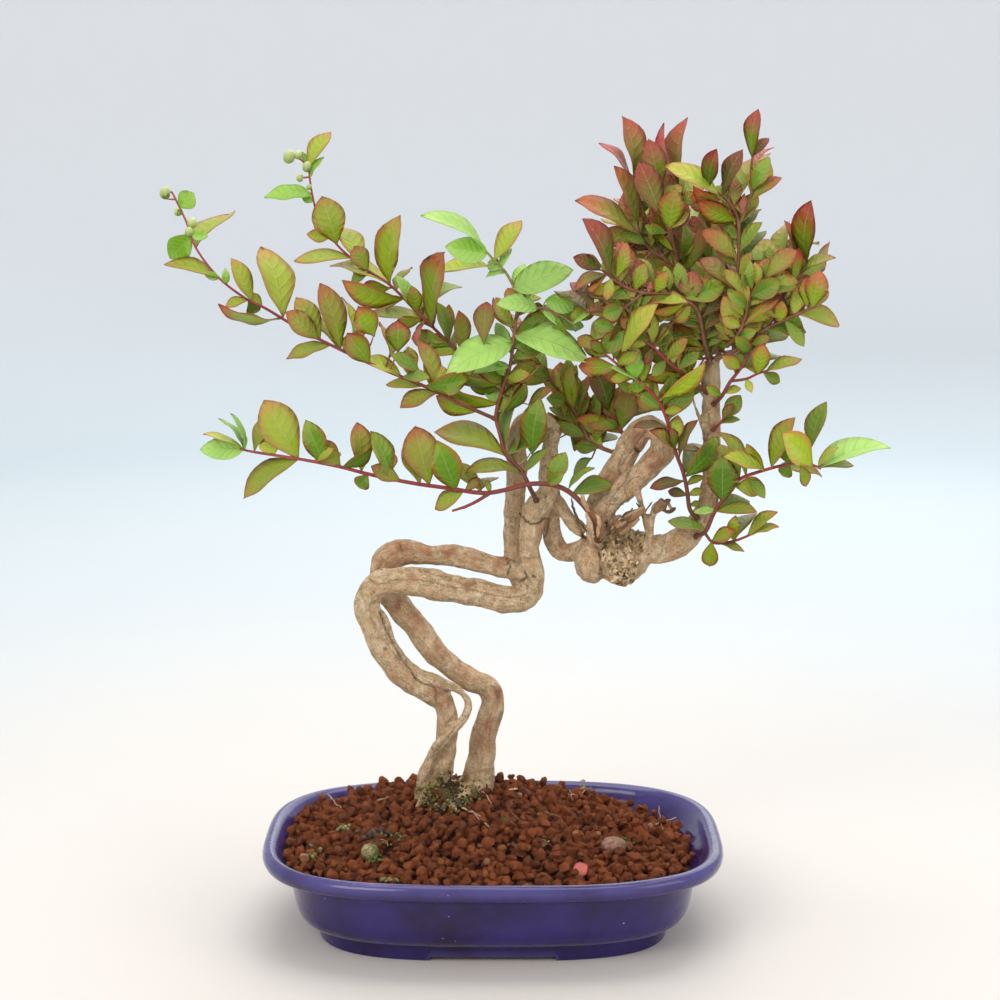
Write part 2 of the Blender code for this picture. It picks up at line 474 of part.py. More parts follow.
            [(714, 350, 10, 2.6), (714, 325, 24, 2.3), (712, 296, 36, 2), (712, 262, 44, 1.7),
             (714, 228, 50, 1.4), (716, 196, 52, 1.1)],
        ],
        [],
        14,
    ),
    "crown_back_right": (
        [
            [(719, 352, 9, 2.6), (734, 334, 22, 2.2), (752, 312, 34, 1.9), (768, 286, 41, 1.6),
             (782, 262, 45, 1.3), (792, 240, 47, 1)],
        ],
        [],
        12,
    ),
}
# Leaves that the far side carries: length and shown width in pixels, and the turn from one to the next
FAR_LEAF_LENGTH = (32, 48)
FAR_LEAF_WIDTH = (15, 24)
FAR_LEAF_TURN = math.radians(137.5)
FAR_LEAF_TURN_DRAW = (-0.3, 0.3)
FAR_LEAF_RISE = 0.35
FAR_LEAF_LEAN = (18, 60)
FAR_LEAF_COLOURS = "gogorogc"


def clear_scene():
    for item in list(bpy.data.objects):
        bpy.data.objects.remove(item)


def material(name, colour, roughness):
    made = bpy.data.materials.new(name)
    made.use_nodes = True
    shader = made.node_tree.nodes["Principled BSDF"]
    shader.inputs["Base Color"].default_value = (*colour, 1)
    shader.inputs["Roughness"].default_value = roughness
    return made


def to_object(bm, name, finish=None):
    """A named object in the scene from a bmesh, its faces turned outwards."""
    bmesh.ops.recalc_face_normals(bm, faces=bm.faces[:])
    mesh = bpy.data.meshes.new(name)
    bm.to_mesh(mesh)
    bm.free()
    made = bpy.data.objects.new(name, mesh)
    bpy.context.scene.collection.objects.link(made)
    if finish:
        mesh.materials.append(finish)
    return made


def skin(rings, bm=None):
    """A closed skin through rings of points of equal count, with a lid at each end."""
    bm = bm or bmesh.new()
    rows = [[bm.verts.new(point) for point in ring] for ring in rings]
    count = len(rings[0])
    for low, high in zip(rows, rows[1:]):
        for k in range(count):
            bm.faces.new((low[k], low[(k + 1) % count], high[(k + 1) % count], high[k]))
    bm.faces.new(rows[0][::-1])
    bm.faces.new(rows[-1])
    return bm


def evaluated(item):
    """Puts an object's evaluated mesh in place of its own, and drops its modifiers."""
    graph = bpy.context.evaluated_depsgraph_get()
    mesh = bpy.data.meshes.new_from_object(item.evaluated_get(graph))
    item.modifiers.clear()
    item.data = mesh


def closed_triangles(item):
    """An object's mesh in triangles, split the first way that leaves every edge with two faces."""
    for quad_method, ngon_method in TRIANGLE_METHODS:
        bm = bmesh.new()
        bm.from_mesh(item.data)
        bmesh.ops.triangulate(bm, faces=bm.faces[:], quad_method=quad_method, ngon_method=ngon_method)
        if all(len(edge.link_faces) == 2 for edge in bm.edges):
            return bm
        bm.free()
    raise ValueError(item.name + " has no closed split into triangles")


def keep_largest(item):
    """Keeps an object's largest connected body, without sealed hollows and loose scraps."""
    bm = closed_triangles(item)
    left, bodies = set(bm.verts), []
    while left:
        body, waiting = set(), [left.pop()]
        while waiting:
            vert = waiting.pop()
            body.add(vert)
            near = {edge.other_vert(vert) for edge in vert.link_edges} & left
            left -= near
            waiting.extend(near)
        bodies.append(body)
    biggest = max(bodies, key=len)
    bmesh.ops.delete(bm, geom=[v for v in bm.verts if v not in biggest], context="VERTS")
    bm.to_mesh(item.data)
    bm.free()


def fuse(item, others, solver="MANIFOLD"):
    """Joins other objects to this one by one union, and removes them."""
    group = bpy.data.collections.new(item.name + "_repeats")
    bpy.context.scene.collection.children.link(group)
    for other in others:
        group.objects.link(other)
    union = item.modifiers.new("union", "BOOLEAN")
    union.operation = "UNION"
    union.solver = solver
    union.operand_type = "COLLECTION"
    union.collection = group
    evaluated(item)
    for other in others:
        bpy.data.objects.remove(other)
    bpy.data.collections.remove(group)
    keep_largest(item)


def cut(item, cutters):
    """Cuts closed solids out of an object, and removes them."""
    for number, cutter in enumerate(cutters):
        cutter.hide_render = True
        cutter.display_type = "WIRE"
        difference = item.modifiers.new(f"cut_{number}", "BOOLEAN")
        difference.operation = "DIFFERENCE"
        difference.solver = "EXACT"
        difference.object = cutter
    evaluated(item)
    for cutter in cutters:
        bpy.data.objects.remove(cutter)


# The view's sight lines


def seen(px, py, depth):
    """The point at this depth that the sight line through a pixel of the view meets."""
    ray = VIEW_AHEAD * VIEW_FOCAL + VIEW_RIGHT * (px - VIEW_MIDDLE) + VIEW_UP * (VIEW_MIDDLE - py)
    return VIEW_EYE + ray * ((depth - VIEW_EYE.y) / ray.y)


def pixel_at(point):
    """The size of one pixel of the view at this point."""
    return (point - VIEW_EYE).dot(VIEW_AHEAD) / VIEW_FOCAL


def pixel_of(point):
    """The pixel of the view in which a point shows."""
    ray = point - VIEW_EYE
    ahead = ray.dot(VIEW_AHEAD)
    return (VIEW_MIDDLE + VIEW_FOCAL * ray.dot(VIEW_RIGHT) / ahead,
            VIEW_MIDDLE - VIEW_FOCAL * ray.dot(VIEW_UP) / ahead)


# Wood and twigs


def along_route(route, step):
    """Centres and radii every step along a smooth curve through a route's readings."""
    stations = []
    for px, py, depth, radius in route:
        centre = seen(px, py, TREE_BACK + depth * MM)
        stations.append((centre, radius * pixel_at(centre)))
    centres, radii = [], []
    last = len(stations) - 1
    for i in range(last):
        before, here = stations[max(i - 1, 0)][0], stations[i][0]
        there, after = stations[i + 1][0], stations[min(i + 2, last)][0]
        count = max(1, round((there - here).length / step))
        for k in range(count):
            t = k / count
            centres.append(0.5 * (
                2 * here
                + (there - before) * t
                + (2 * before - 5 * here + 4 * there - after) * t ** 2
                + (3 * here - before - 3 * there + after) * t ** 3
            ))
            radii.append(stations[i][1] + (stations[i + 1][1] - stations[i][1]) * t)
    centres.append(stations[-1][0])
    radii.append(stations[-1][1])
    return centres, radii


def tube(centres, radii, sides, grow=0.0):
    """A closed tube along the centres, with flat ends, or that much fatter and longer."""
    count = len(centres)
    heading = [(centres[min(i + 1, count - 1)] - centres[max(i - 1, 0)]).normalized() for i in range(count)]
    across = heading[0].orthogonal().normalized()
    rings = []
    for i in range(count):
        across = (across - heading[i] * across.dot(heading[i])).normalized()
        ends = heading[i] * grow * ((i == count - 1) - (i == 0))
        ring = []
        for k in range(sides):
            arm = Quaternion(heading[i], 2 * math.pi * k / sides) @ across
            ring.append(centres[i] + ends + arm * (radii[i] + grow))
        rings.append(ring)
    return skin(rings)


def surface_of(bm):
    """A bmesh's surface, for the tests of what it touches, with its lowest and highest corners."""
    low = Vector([min(v.co[i] for v in bm.verts) for i in range(3)])
    high = Vector([max(v.co[i] for v in bm.verts) for i in range(3)])
    surface = BVHTree.FromBMesh(bm)
    bm.free()
    return surface, low, high


def touches(one, other):
    """Whether two surfaces cross each other."""
    apart = any(one[1][i] > other[2][i] or other[1][i] > one[2][i] for i in range(3))
    return not apart and bool(one[0].overlap(other[0]))


def lobe(px, py, depth, half_width, half_height, half_depth):
    """A rounded lump of the burl, from its readings in pixels."""
    centre = seen(px, py, TREE_BACK + depth * MM)
    size = pixel_at(centre)
    bm = bmesh.new()
    bmesh.ops.create_icosphere(bm, subdivisions=2, radius=1)
    bmesh.ops.scale(bm, vec=(half_width * size, half_depth * size, half_height * size), verts=bm.verts[:])
    bmesh.ops.translate(bm, vec=centre, verts=bm.verts[:])
    return bm


def root_route(readings):
    """A surface root's route, each reading at the depth where its sight line meets the soil."""
    route = []
    for px, py, radius in readings:
        depth = ROOT_REAR_DEPTH
        place = seen(px, py, depth)
        lift = ROOT_REST + radius * pixel_at(place)
        while place.z < soil_height(place.x, place.y) + lift:
            depth -= GAP
            place = seen(px, py, depth)
        route.append((px, py, (depth - TREE_BACK) / MM, radius))
    return route


def wood_pieces():
    """The wood's tubes and lobes before they are fused."""
    pieces = [tube(*along_route(FRONT_TRUNK, WOOD_STEP), WOOD_SIDES)]
    for route in WOOD_ROUTES:
        thick = max(radius for *_, radius in route) > THICK_WOOD
        step, sides = (WOOD_STEP, WOOD_SIDES) if thick else (ROOT_STEP, ROOT_SIDES)
        pieces.append(tube(*along_route(route, step), sides))
    pieces.extend(tube(*along_route(root_route(root), ROOT_STEP), ROOT_SIDES) for root in SURFACE_ROOTS)
    pieces.extend(lobe(*reading) for reading in BURL_LOBES)
    pieces.append(root_plug(0))
    return pieces


def root_plug(grow):
    """The foot under both trunks, which stands in the soil, or the hole for it."""
    feet = (FRONT_TRUNK[0], REAR_TRUNK[0])
    front, rear = (seen(px, py, TREE_BACK + depth * MM) for px, py, depth, _ in feet)
    middle = (front + rear) / 2
    turn = math.atan2(rear.y - front.y, rear.x - front.x)
    stations = [(ROOT_PLUG_FOOT - grow, 0), (ROOT_PLUG_SHOULDER, 0), (ROOT_PLUG_TOP, ROOT_PLUG_TAPER)]
    if grow:
        stations[1:] = [(ROOT_PLUG_TOP, 0)]
    rings = []
    for height, inset in stations:
        width = ROOT_PLUG_RADIUS + grow - inset
        reach = (rear - front).length / 2 + width
        ring = []
        for k in range(ROOT_PLUG_SIDES):
            angle = 2 * math.pi * k / ROOT_PLUG_SIDES
            across = Vector((reach * math.cos(angle), width * math.sin(angle), 0))
            across.rotate(Quaternion((0, 0, 1), turn))
            ring.append(Vector((middle.x + across.x, middle.y + across.y, height)))
        rings.append(ring)
    return skin(rings)


def strand_hole():
    """The plain hole in which the thin strand's foot stands."""
    foot = [(px, py, depth, radius + STRAND_HOLE_MARGIN) for px, py, depth, radius in BASE_STRAND[:2]]
    return tube(*along_route(foot, ROOT_STEP), ROOT_SIDES, GAP)


# Leaves


def leaf_frame(joint, root, tip_pixel, shown_width, lean, turned_up, arch, fold):
    """How a leaf lies so that it shows the tip and the width that were read, leaning in depth."""
    flat = seen(*tip_pixel, root.y) - root
    tip = seen(*tip_pixel, root.y + flat.length * math.tan(math.radians(lean)))
    along = (tip - root).normalized()
    length = (tip - root).length
    side = along.cross((VIEW_EYE - root).normalized()).normalized()
    shown = shown_width * pixel_at(root)
    turn = min(LEAF_MAX_TURN, math.acos(min(1.0, shown / (LEAF_RATIO * length))))
    options = [Quaternion(along, sign * turn) @ side for sign in (1, -1)]
    options.sort(key=lambda arm: -arm.cross(along).z)
    side = options[0 if turned_up else 1]
    half = 0.5 * shown / math.cos(turn)
    crest = WIDE_LEAF_CREST if shown_width >= WIDE_LEAF else LEAF_CREST
    return joint, root, along * length, side * half, side.cross(along), arch * length, fold * half, crest


def leaf_point(frame, t, across, height=0.0):
    """A point of a leaf, t along its rib, across from -1 to 1 for a unit outline, and above its face."""
    _, root, rib, side, up, arch, fold, _ = frame
    return root + rib * t + side * across + up * (4 * arch * t * (1 - t) + fold * abs(across) + height)


def leaf_blade(frame, start=0.0, grow=0.0):
    """A leaf's solid blade with its stalk, or a fatter one from some way along its rib, for the tests.

    Its edge is sharp and its rib is thick. Each half of each face is a strip between the edge and the crest.
    """
    joint, root, _, side, up, _, _, crest_stations = frame
    wide = 1 + grow / side.length
    lift = LEAF_THICKNESS / 2 + grow
    bm = bmesh.new()

    def corner(t, across=0.0, height=0.0):
        along = start + (1 - start) * t
        return t, bm.verts.new(leaf_point(frame, along, across * wide, height))

    tip = corner(1)
    stalked = (root - joint).length > 0 and not start
    base = (-1, bm.verts.new(joint)) if stalked else corner(0)
    narrow = (STALK_WIDTH / 2) / side.length
    edges = []
    for hand in (-1, 1):
        edge = [corner(0, hand * narrow)] if stalked else []
        edge += [corner(t, hand * share) for t, share in LEAF_EDGE]
        edges.append([base, *edge, tip])
    for face in (-1, 1):
        crest = [corner(0, 0, face * lift)] if stalked else []
        crest += [corner(t, 0, face * lift) for t in crest_stations]
        for edge in edges:
            strip(bm, [base, *crest, tip], edge)
    bmesh.ops.recalc_face_normals(bm, faces=bm.faces[:])
    return bm


def strip(bm, one, two):
    """Triangles between two lines of corners that share both ends, each corner given with its station."""
    i, j = 0, 0
    while i < len(one) - 1 or j < len(two) - 1:
        if j == len(two) - 1 or (i < len(one) - 1 and one[i + 1][0] <= two[j + 1][0]):
            corners = (one[i][1], two[j][1], one[i + 1][1])
            i += 1
        else:
            corners = (one[i][1], two[j][1], two[j + 1][1])
            j += 1
        if len(set(corners)) == 3:
            bm.faces.new(corners)


def nearest_on_twigs(px, py, twigs):
    """The twig point nearest to a pixel, with the distance in pixels."""
    best = None
    for centres, _ in twigs:
        for one, two in zip(centres, centres[1:]):
            for k in range(TWIG_SAMPLES):
                point = one.lerp(two, k / TWIG_SAMPLES)
                x, y = pixel_of(point)
                away = math.hypot(px - x, py - y)
                if best is None or away < best[0]:
                    best = (away, point)
    return best


def far_leaves(twigs, count, draw):
    """Readings for the leaves of a stem's far side, spread along its twigs in a spiral."""
    readings = []
    stops = [point for centres, _ in twigs for point in centres[2:-1] or centres[2:]]
    for k in range(count):
        point = stops[int((k + 0.5) * len(stops) / count)]
        x, y = pixel_of(point)
        angle = FAR_LEAF_TURN * k + draw.uniform(*FAR_LEAF_TURN_DRAW)
        reach = draw.uniform(*FAR_LEAF_LENGTH)
        rise = FAR_LEAF_RISE + (1 - FAR_LEAF_RISE) * math.sin(angle)
        tip = (x + reach * math.cos(angle), y - reach * rise)
        colour = FAR_LEAF_COLOURS[k % len(FAR_LEAF_COLOURS)]
        readings.append((x, y, *tip, draw.uniform(*FAR_LEAF_WIDTH), colour))
    return readings


def leaf_choices(reading, twigs, far, draw):
    """A leaf's possible places, best first, each a frame with the stalk it needs."""
    px, py, tip_x, tip_y, width, _ = reading
    away, joint = nearest_on_twigs(px, py, twigs)
    own_lean = draw.uniform(*(FAR_LEAF_LEAN if far else NEAR_LEAF_LEAN))
    arch = draw.uniform(*LEAF_ARCH)
    fold = draw.uniform(*LEAF_FOLD)
    stalk_slope = draw.uniform(*STALK_SLOPE)
    for shift in LEAN_TRIES:
        lean = own_lean + shift
        if abs(lean) > LEAN_LIMIT:
            continue
        root = joint
        if away * pixel_at(joint) > STALK_REACH:
            root = seen(px, py, joint.y + stalk_slope * away * pixel_at(joint))
        for turned_up in (True, False):
            yield leaf_frame(joint, root, (tip_x, tip_y), width, lean, turned_up, arch, fold)


def draw_for(seed, number):
    """The random draws of one leaf."""
    return random.Random(1000 * seed + number)


def place_leaves(readings, far_from, twigs, seed, others):
    """The first place of each leaf that is clear of the tree's other pieces and of its own neighbours."""
    placed, own = [], []
    for number, reading in enumerate(readings):
        for frame in leaf_choices(reading, twigs, number >= far_from, draw_for(seed, number)):
            full = surface_of(leaf_blade(frame, grow=GAP))
            outer = surface_of(leaf_blade(frame, start=LEAF_CLEAR_FROM, grow=GAP))
            if any(touches(full, other) for other in others) or any(touches(outer, other) for other in own):
                continue
            placed.append((frame, reading[5]))
            own.append(outer)
            break
    return placed


def trimmed_twig(route, obstacles):
    """A twig's centres and radii, from the first place where its foot is clear of what it grows from."""
    centres, radii = along_route(route, TWIG_STEP)
    spans = [(b - a).length for a, b in zip(centres, centres[1:])]
    start = 0.0
    while start < sum(spans) / 2:
        walked, i = start, 0
        while walked > spans[i]:
            walked -= spans[i]
            i += 1
        t = walked / spans[i]
        foot = centres[i].lerp(centres[i + 1], t)
        kept = [foot, *centres[i + 1:]]
        thick = [radii[i] + (radii[i + 1] - radii[i]) * t, *radii[i + 1:]]
        near = surface_of(tube(kept, thick, TWIG_SIDES, GAP))
        if not any(touches(near, other) for other in obstacles):
            return kept, thick
        start += TWIG_TRIM_STEP
    raise ValueError("a twig never comes clear of the wood")


def leafy_stems():
    """Every leafy stem, its twigs first and then all the leaves, each clear of the rest of the tree."""
    wood = [surface_of(piece) for piece in wood_pieces()]
    twigs_of, surfaces = {}, {}
    for name, (routes, _, _) in LEAFY_STEMS.items():
        standing = wood + [surface for group in surfaces.values() for surface in group]
        sides = [along_route(route, TWIG_STEP) for route in routes[1:]]
        twigs_of[name] = [trimmed_twig(routes[0], standing), *sides]
        surfaces[name] = [surface_of(tube(*twig, TWIG_SIDES)) for twig in twigs_of[name]]
    leaves_of = {}
    for seed, (name, (routes, readings, far_count)) in enumerate(LEAFY_STEMS.items()):
        twigs = [along_route(route, TWIG_STEP) for route in routes]
        every = readings + far_leaves(twigs, far_count, random.Random(seed))
        others = wood + [surface for other, group in surfaces.items() if other != name for surface in group]
        leaves_of[name] = place_leaves(every, len(readings), twigs, seed, others)
        surfaces[name] += [surface_of(leaf_blade(frame)) for frame, _ in leaves_of[name]]
    return twigs_of, leaves_of


def build_stem(name, twigs, leaves):
    """One leafy stem's solid: its twigs, stalks and leaves fused."""
    tones = [LEAF_COLOURS[tone] for _, tone in leaves]
    colour = [sum(tone[i] for tone in tones) / len(tones) for i in range(3)]
    stem = to_object(tube(*twigs[0], TWIG_SIDES), name, material(name + "_leaf", colour, 0.45))
    parts = [to_object(tube(*twig, TWIG_SIDES), name + "_twig") for twig in twigs[1:]]
    parts += [to_object(leaf_blade(frame), name + "_leaf") for frame, _ in leaves]
    fuse(stem, parts)
    return stem


def build_trunk():
    """All the grown wood as one solid."""
    bark = material("bark", (0.42, 0.29, 0.17), 0.8)
    pieces = wood_pieces()
    trunk = to_object(pieces[0], "trunk", bark)
    fuse(trunk, [to_object(piece, "wood") for piece in pieces[1:]])
    return trunk


# Pot


def oval(inset, height, sides=POT_SIDES):
    """A ring of the pot's oval, drawn in from its rim by an inset, at a height."""
    ring = []
    for k in range(sides):
        angle = 2 * math.pi * (k + 0.5) / sides
        across, back = math.cos(angle), math.sin(angle)
        ring.append(Vector((
            (POT_LENGTH / 2 - inset) * math.copysign(abs(across) ** (2 / POT_SQUARENESS), across),
            (POT_WIDTH / 2 - inset) * math.copysign(abs(back) ** (2 / POT_SQUARENESS), back),
            height,
        )))
    return ring


def build_pot():
    glaze = material("glaze", (0.030, 0.018, 0.090), 0.18)
    rings = [oval(inset, height) for inset, height in POT_OUTSIDE + CAVITY_WALL]
    pot = to_object(skin(rings), "pot", glaze)
    cutters = []
    for length, width in ((FOOT_GAP_FRONT, POT_WIDTH), (POT_LENGTH, FOOT_GAP_END)):
        bm = bmesh.new()
        bmesh.ops.create_cube(bm, size=1)
        bmesh.ops.scale(bm, vec=(length, width, 2 * FOOT_HEIGHT), verts=bm.verts[:])
        cutters.append(to_object(bm, "foot_gap"))
    for side in (-1, 1):
        bm = bmesh.new()
        bmesh.ops.create_cone(bm, cap_ends=True, segments=16, radius1=DRAIN_RADIUS, radius2=DRAIN_RADIUS,
                              depth=4 * FLOOR_TOP)
        bmesh.ops.translate(bm, vec=(side * DRAIN_OFFSET, 0, 0), verts=bm.verts[:])
        cutters.append(to_object(bm, "drain"))
    cut(pot, cutters)
    keep_largest(pot)
    return pot


# Soil and pebbles


def soil_height(x, y):
    """The height of the soil's surface, without its grains."""
    across = (x - SOIL_PEAK.x) / SOIL_SPREAD.x
    back = (y - SOIL_PEAK.y) / SOIL_SPREAD.y
    mound = math.exp(-(across ** 2 + back ** 2) ** SOIL_FALL)
    slope = min(1.0, max(0.0, (x - SOIL_DROP_START) / SOIL_DROP_LENGTH))
    return SOIL_EDGE + (SOIL_TOP - SOIL_EDGE) * mound - SOIL_RIGHT_DROP * slope * slope * (3 - 2 * slope)


def wall_inset(height):
    """The inset of the cavity's wall at a height."""
    for (inset, high), (low_inset, low) in zip(CAVITY_WALL, CAVITY_WALL[1:]):
        if height >= low:
            return low_inset + (inset - low_inset) * min(1.0, (height - low) / (high - low))
    return CAVITY_WALL[-1][0]


def soil_edge():
    """The ring where the soil's surface meets the cavity's wall."""
    ring = []
    for k, point in enumerate(oval(CAVITY_WALL[0][0], 0, SOIL_SIDES)):
        height = min(soil_height(point.x, point.y), CAVITY_WALL[0][1])
        place = oval(wall_inset(height) + SOIL_MARGIN, height, SOIL_SIDES)[k]
        ring.append(place)
    return ring


def build_soil():
    """The soil: a mound with its grains as relief on top, and the cavity's shape below."""
    draw = random.Random(7)
    rings = [oval(inset + SOIL_MARGIN, height + GAP, SOIL_SIDES) for inset, height in CAVITY_WALL[:1:-1]]
    shoulder_inset, shoulder = CAVITY_WALL[1]
    rings.append(oval(shoulder_inset + SOIL_MARGIN, shoulder - GAP, SOIL_SIDES))
    edge = soil_edge()
    rings.append(edge)
    for k in range(1, SOIL_RINGS):
        share = 1 - k / SOIL_RINGS
        ring = []
        for point in edge:
            x = point.x * share + draw.uniform(-GRAIN_SHIFT, GRAIN_SHIFT)
            y = point.y * share + draw.uniform(-GRAIN_SHIFT, GRAIN_SHIFT)
            ring.append(Vector((x, y, soil_height(x, y) + draw.uniform(-GRAIN_RELIEF, GRAIN_RELIEF))))
        rings.append(ring)
    soil = to_object(skin(rings), "soil", material("clay_grains", (0.16, 0.06, 0.03), 0.9))
    cut(soil, [to_object(root_plug(GAP), "root_hole"), to_object(strand_hole(), "strand_hole")])
    keep_largest(soil)
    return soil


def build_pebbles(soil):
    """Pebbles lowered on to the soil until they all but touch it."""
    bm = bmesh.new()
    bm.from_mesh(soil.data)
    ground = surface_of(bm)
    for name, (sight, radii, colour) in PEBBLES.items():
        place = seen(*sight)
        height = soil_height(place.x, place.y) + radii[2] * 2
        while not touches(surface_of(pebble_body(place, height - PEBBLE_STEP, radii)), ground):
            height -= PEBBLE_STEP
        to_object(pebble_body(place, height, radii), name, material(name, colour, 0.7))


def pebble_body(place, height, radii):
    """A worn, uneven stone of these half sizes."""
    draw = random.Random(3)
    bm = bmesh.new()
    bmesh.ops.create_icosphere(bm, subdivisions=2, radius=1)
    for vert in bm.verts:
        vert.co *= draw.uniform(*PEBBLE_SHAPE)
    bmesh.ops.scale(bm, vec=radii, verts=bm.verts[:])
    bmesh.ops.translate(bm, vec=(place.x, place.y, height), verts=bm.verts[:])
    return bm


def main():
    clear_scene()
    build_pot()
    soil = build_soil()
    build_pebbles(soil)
    build_trunk()
    twigs_of, leaves_of = leafy_stems()
    for name, leaves in leaves_of.items():
        build_stem(name, twigs_of[name], leaves)


main()
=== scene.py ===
"""Crepe myrtle bonsai in an oval glazed pot: its looks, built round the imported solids. Metres, +Z up.

The wood, the twigs and the leaves lie on sight lines of the camera below, so their routes are readings of
its view: across and down in its pixels, depth behind the tree's middle plane in millimetres, and half the
thickness in pixels. The readings and the rules that place a leaf are those of the solids, so each leaf of a
solid lies where the solid has it. The inner leaves, which no solid has, are added behind them.
"""

import math
import random

import bmesh
import bpy
from mathutils import Matrix, Quaternion, Vector, noise
from mathutils.bvhtree import BVHTree
from mathutils.kdtree import KDTree


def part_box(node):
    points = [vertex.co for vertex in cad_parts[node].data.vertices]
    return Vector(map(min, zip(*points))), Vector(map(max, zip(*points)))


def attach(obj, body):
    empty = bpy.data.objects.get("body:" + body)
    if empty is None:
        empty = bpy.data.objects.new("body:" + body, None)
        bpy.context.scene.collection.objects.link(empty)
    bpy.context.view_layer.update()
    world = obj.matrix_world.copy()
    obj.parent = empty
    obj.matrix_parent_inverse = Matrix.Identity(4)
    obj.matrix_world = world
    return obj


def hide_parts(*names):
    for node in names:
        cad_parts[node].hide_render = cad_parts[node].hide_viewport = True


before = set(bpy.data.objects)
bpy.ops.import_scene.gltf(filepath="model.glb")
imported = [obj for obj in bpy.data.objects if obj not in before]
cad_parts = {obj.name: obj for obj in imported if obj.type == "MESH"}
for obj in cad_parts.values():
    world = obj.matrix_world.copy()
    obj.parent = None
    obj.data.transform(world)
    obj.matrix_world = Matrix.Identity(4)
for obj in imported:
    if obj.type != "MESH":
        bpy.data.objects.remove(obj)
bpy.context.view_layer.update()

MM = 0.001


# Shared sums and steps


def clamp(value):
    """A value held between 0 and 1."""
    return min(1.0, max(0.0, value))


def past(value, start, length):
    """How far a value lies past a start, in lengths."""
    return max(0.0, (value - start) / length)


def jolt(draw):
    """A random step, up to one each way."""
    return Vector([draw.uniform(-1, 1) for _ in range(3)])


def net_of(rows):
    """A net of the points that come first in each row."""
    net = KDTree(len(rows))
    for number, row in enumerate(rows):
        net.insert(row[0], number)
    net.balance()
    return net


def new_object(name, data):
    """An object in the scene, at the origin."""
    item = bpy.data.objects.new(name, data)
    bpy.context.scene.collection.objects.link(item)
    return item


def mesh_from(bm, name):
    """A mesh from a bmesh, which is freed."""
    mesh = bpy.data.meshes.new(name)
    bm.to_mesh(mesh)
    bm.free()
    return mesh


def taken_back(holder):
    """A bmesh of an object's mesh. The object is removed."""
    bm = bmesh.new()
    bm.from_mesh(holder.data)
    bpy.data.objects.remove(holder)
    return bm


# The camera, and the sight lines of the readings
VIEW_EYE = Vector((0.0036, -1.085, 0.411))
VIEW_PITCH = math.radians(10)
VIEW_AHEAD = Vector((0, math.cos(VIEW_PITCH), -math.sin(VIEW_PITCH)))
VIEW_UP = Vector((0, math.sin(VIEW_PITCH), math.cos(VIEW_PITCH)))
VIEW_RIGHT = Vector((1, 0, 0))
VIEW_FOCAL = 2200.0
VIEW_MIDDLE = 500.0
VIEW_SIZE = 1000.0
TREE_BACK = 0.004
SENSOR = 36.0
CLIP_START = 0.01


def build_camera():
    """The camera that the readings were taken with."""
    lens = bpy.data.cameras.new("camera")
    lens.sensor_width = SENSOR
    lens.lens = SENSOR * VIEW_FOCAL / VIEW_SIZE
    lens.clip_start = CLIP_START
    camera = new_object("camera", lens)
    camera.location = VIEW_EYE
    camera.rotation_euler = (math.pi / 2 - VIEW_PITCH, 0, 0)
    bpy.context.scene.camera = camera


build_camera()

# Pot
POT_LENGTH = 0.234
POT_WIDTH = 0.176
POT_HEIGHT = 0.048
POT_SQUARENESS = 3.2
POT_SEGMENTS = 144
FOOT_HEIGHT = 0.0022
FOOT_GAP_FRONT = 0.062
FOOT_GAP_END = 0.046
FLOOR_UNDERSIDE = 0.0020
FLOOR_TOP = 0.0090
DRAIN_RADIUS = 0.0065
DRAIN_OFFSET = 0.050
# Inset from the rim's outline, height and how far the corner there is rounded: the outside, then the cavity
POT_PROFILE = [
    (0.0370, FLOOR_UNDERSIDE, 0), (0.0360, 0.0000, 0.0006), (0.0280, 0.0000, 0.0010),
    (0.0274, 0.0070, 0.0008), (0.0262, 0.0080, 0.0008), (0.0225, 0.0092, 0.0020), (0.0185, 0.0125, 0.0030),
    (0.0163, 0.0180, 0.0040), (0.0148, 0.0270, 0.0040), (0.0125, 0.0360, 0.0016), (0.0050, 0.0385, 0.0016),
    (0.0012, 0.0405, 0.0014), (0.0000, 0.0440, 0.0016), (0.0012, 0.0468, 0.0013),
    (0.0042, POT_HEIGHT, 0.0015), (0.0072, 0.0465, 0.0015), (0.0095, 0.0425, 0.0030),
    (0.0190, 0.0340, 0.0050), (0.0215, 0.0200, 0.0050), (0.0300, 0.0105, 0.0030), (0.0350, FLOOR_TOP, 0),
]
CORNER_STEPS = 3
CORNER_ARM = 0.45
CAVITY_WALL = [(inset, height) for inset, height, _ in POT_PROFILE[-5:]]

# Soil
SOIL_EDGE = 0.0435
SOIL_TOP = 0.0576
SOIL_PEAK = Vector((-0.015, 0.017))
SOIL_SPREAD = Vector((0.058, 0.070))
SOIL_FALL = 1.44
SOIL_RIGHT_DROP = 0.0055
SOIL_DROP_START = 0.039
SOIL_DROP_LENGTH = 0.053
SOIL_MARGIN = 0.0006
GAP = 0.0003
SOIL_SEARCH_DEPTH = 0.085

# Rules that place the twigs and the leaves
TWIG_STEP = 0.0190
TWIG_TRIM_STEP = 0.0002
STALK_REACH = 0.0036
LEAF_RATIO = 0.50
LEAF_MAX_TURN = math.radians(72)
LEAF_EDGE = ((0.30, 0.88), (0.70, 0.80))
LEAN_TRIES = (0, -16, 16, -32, 32, -48, 48)
LEAN_LIMIT = 66
NEAR_LEAF_LEAN = (-26, 30)
LEAF_ARCH = (0.04, 0.13)
LEAF_FOLD = (0.10, 0.34)
STALK_SLOPE = (-0.5, 0.5)
TWIG_SAMPLES = 4
SAME_PLACE = 0.00003
SAME_CORNERS = 3

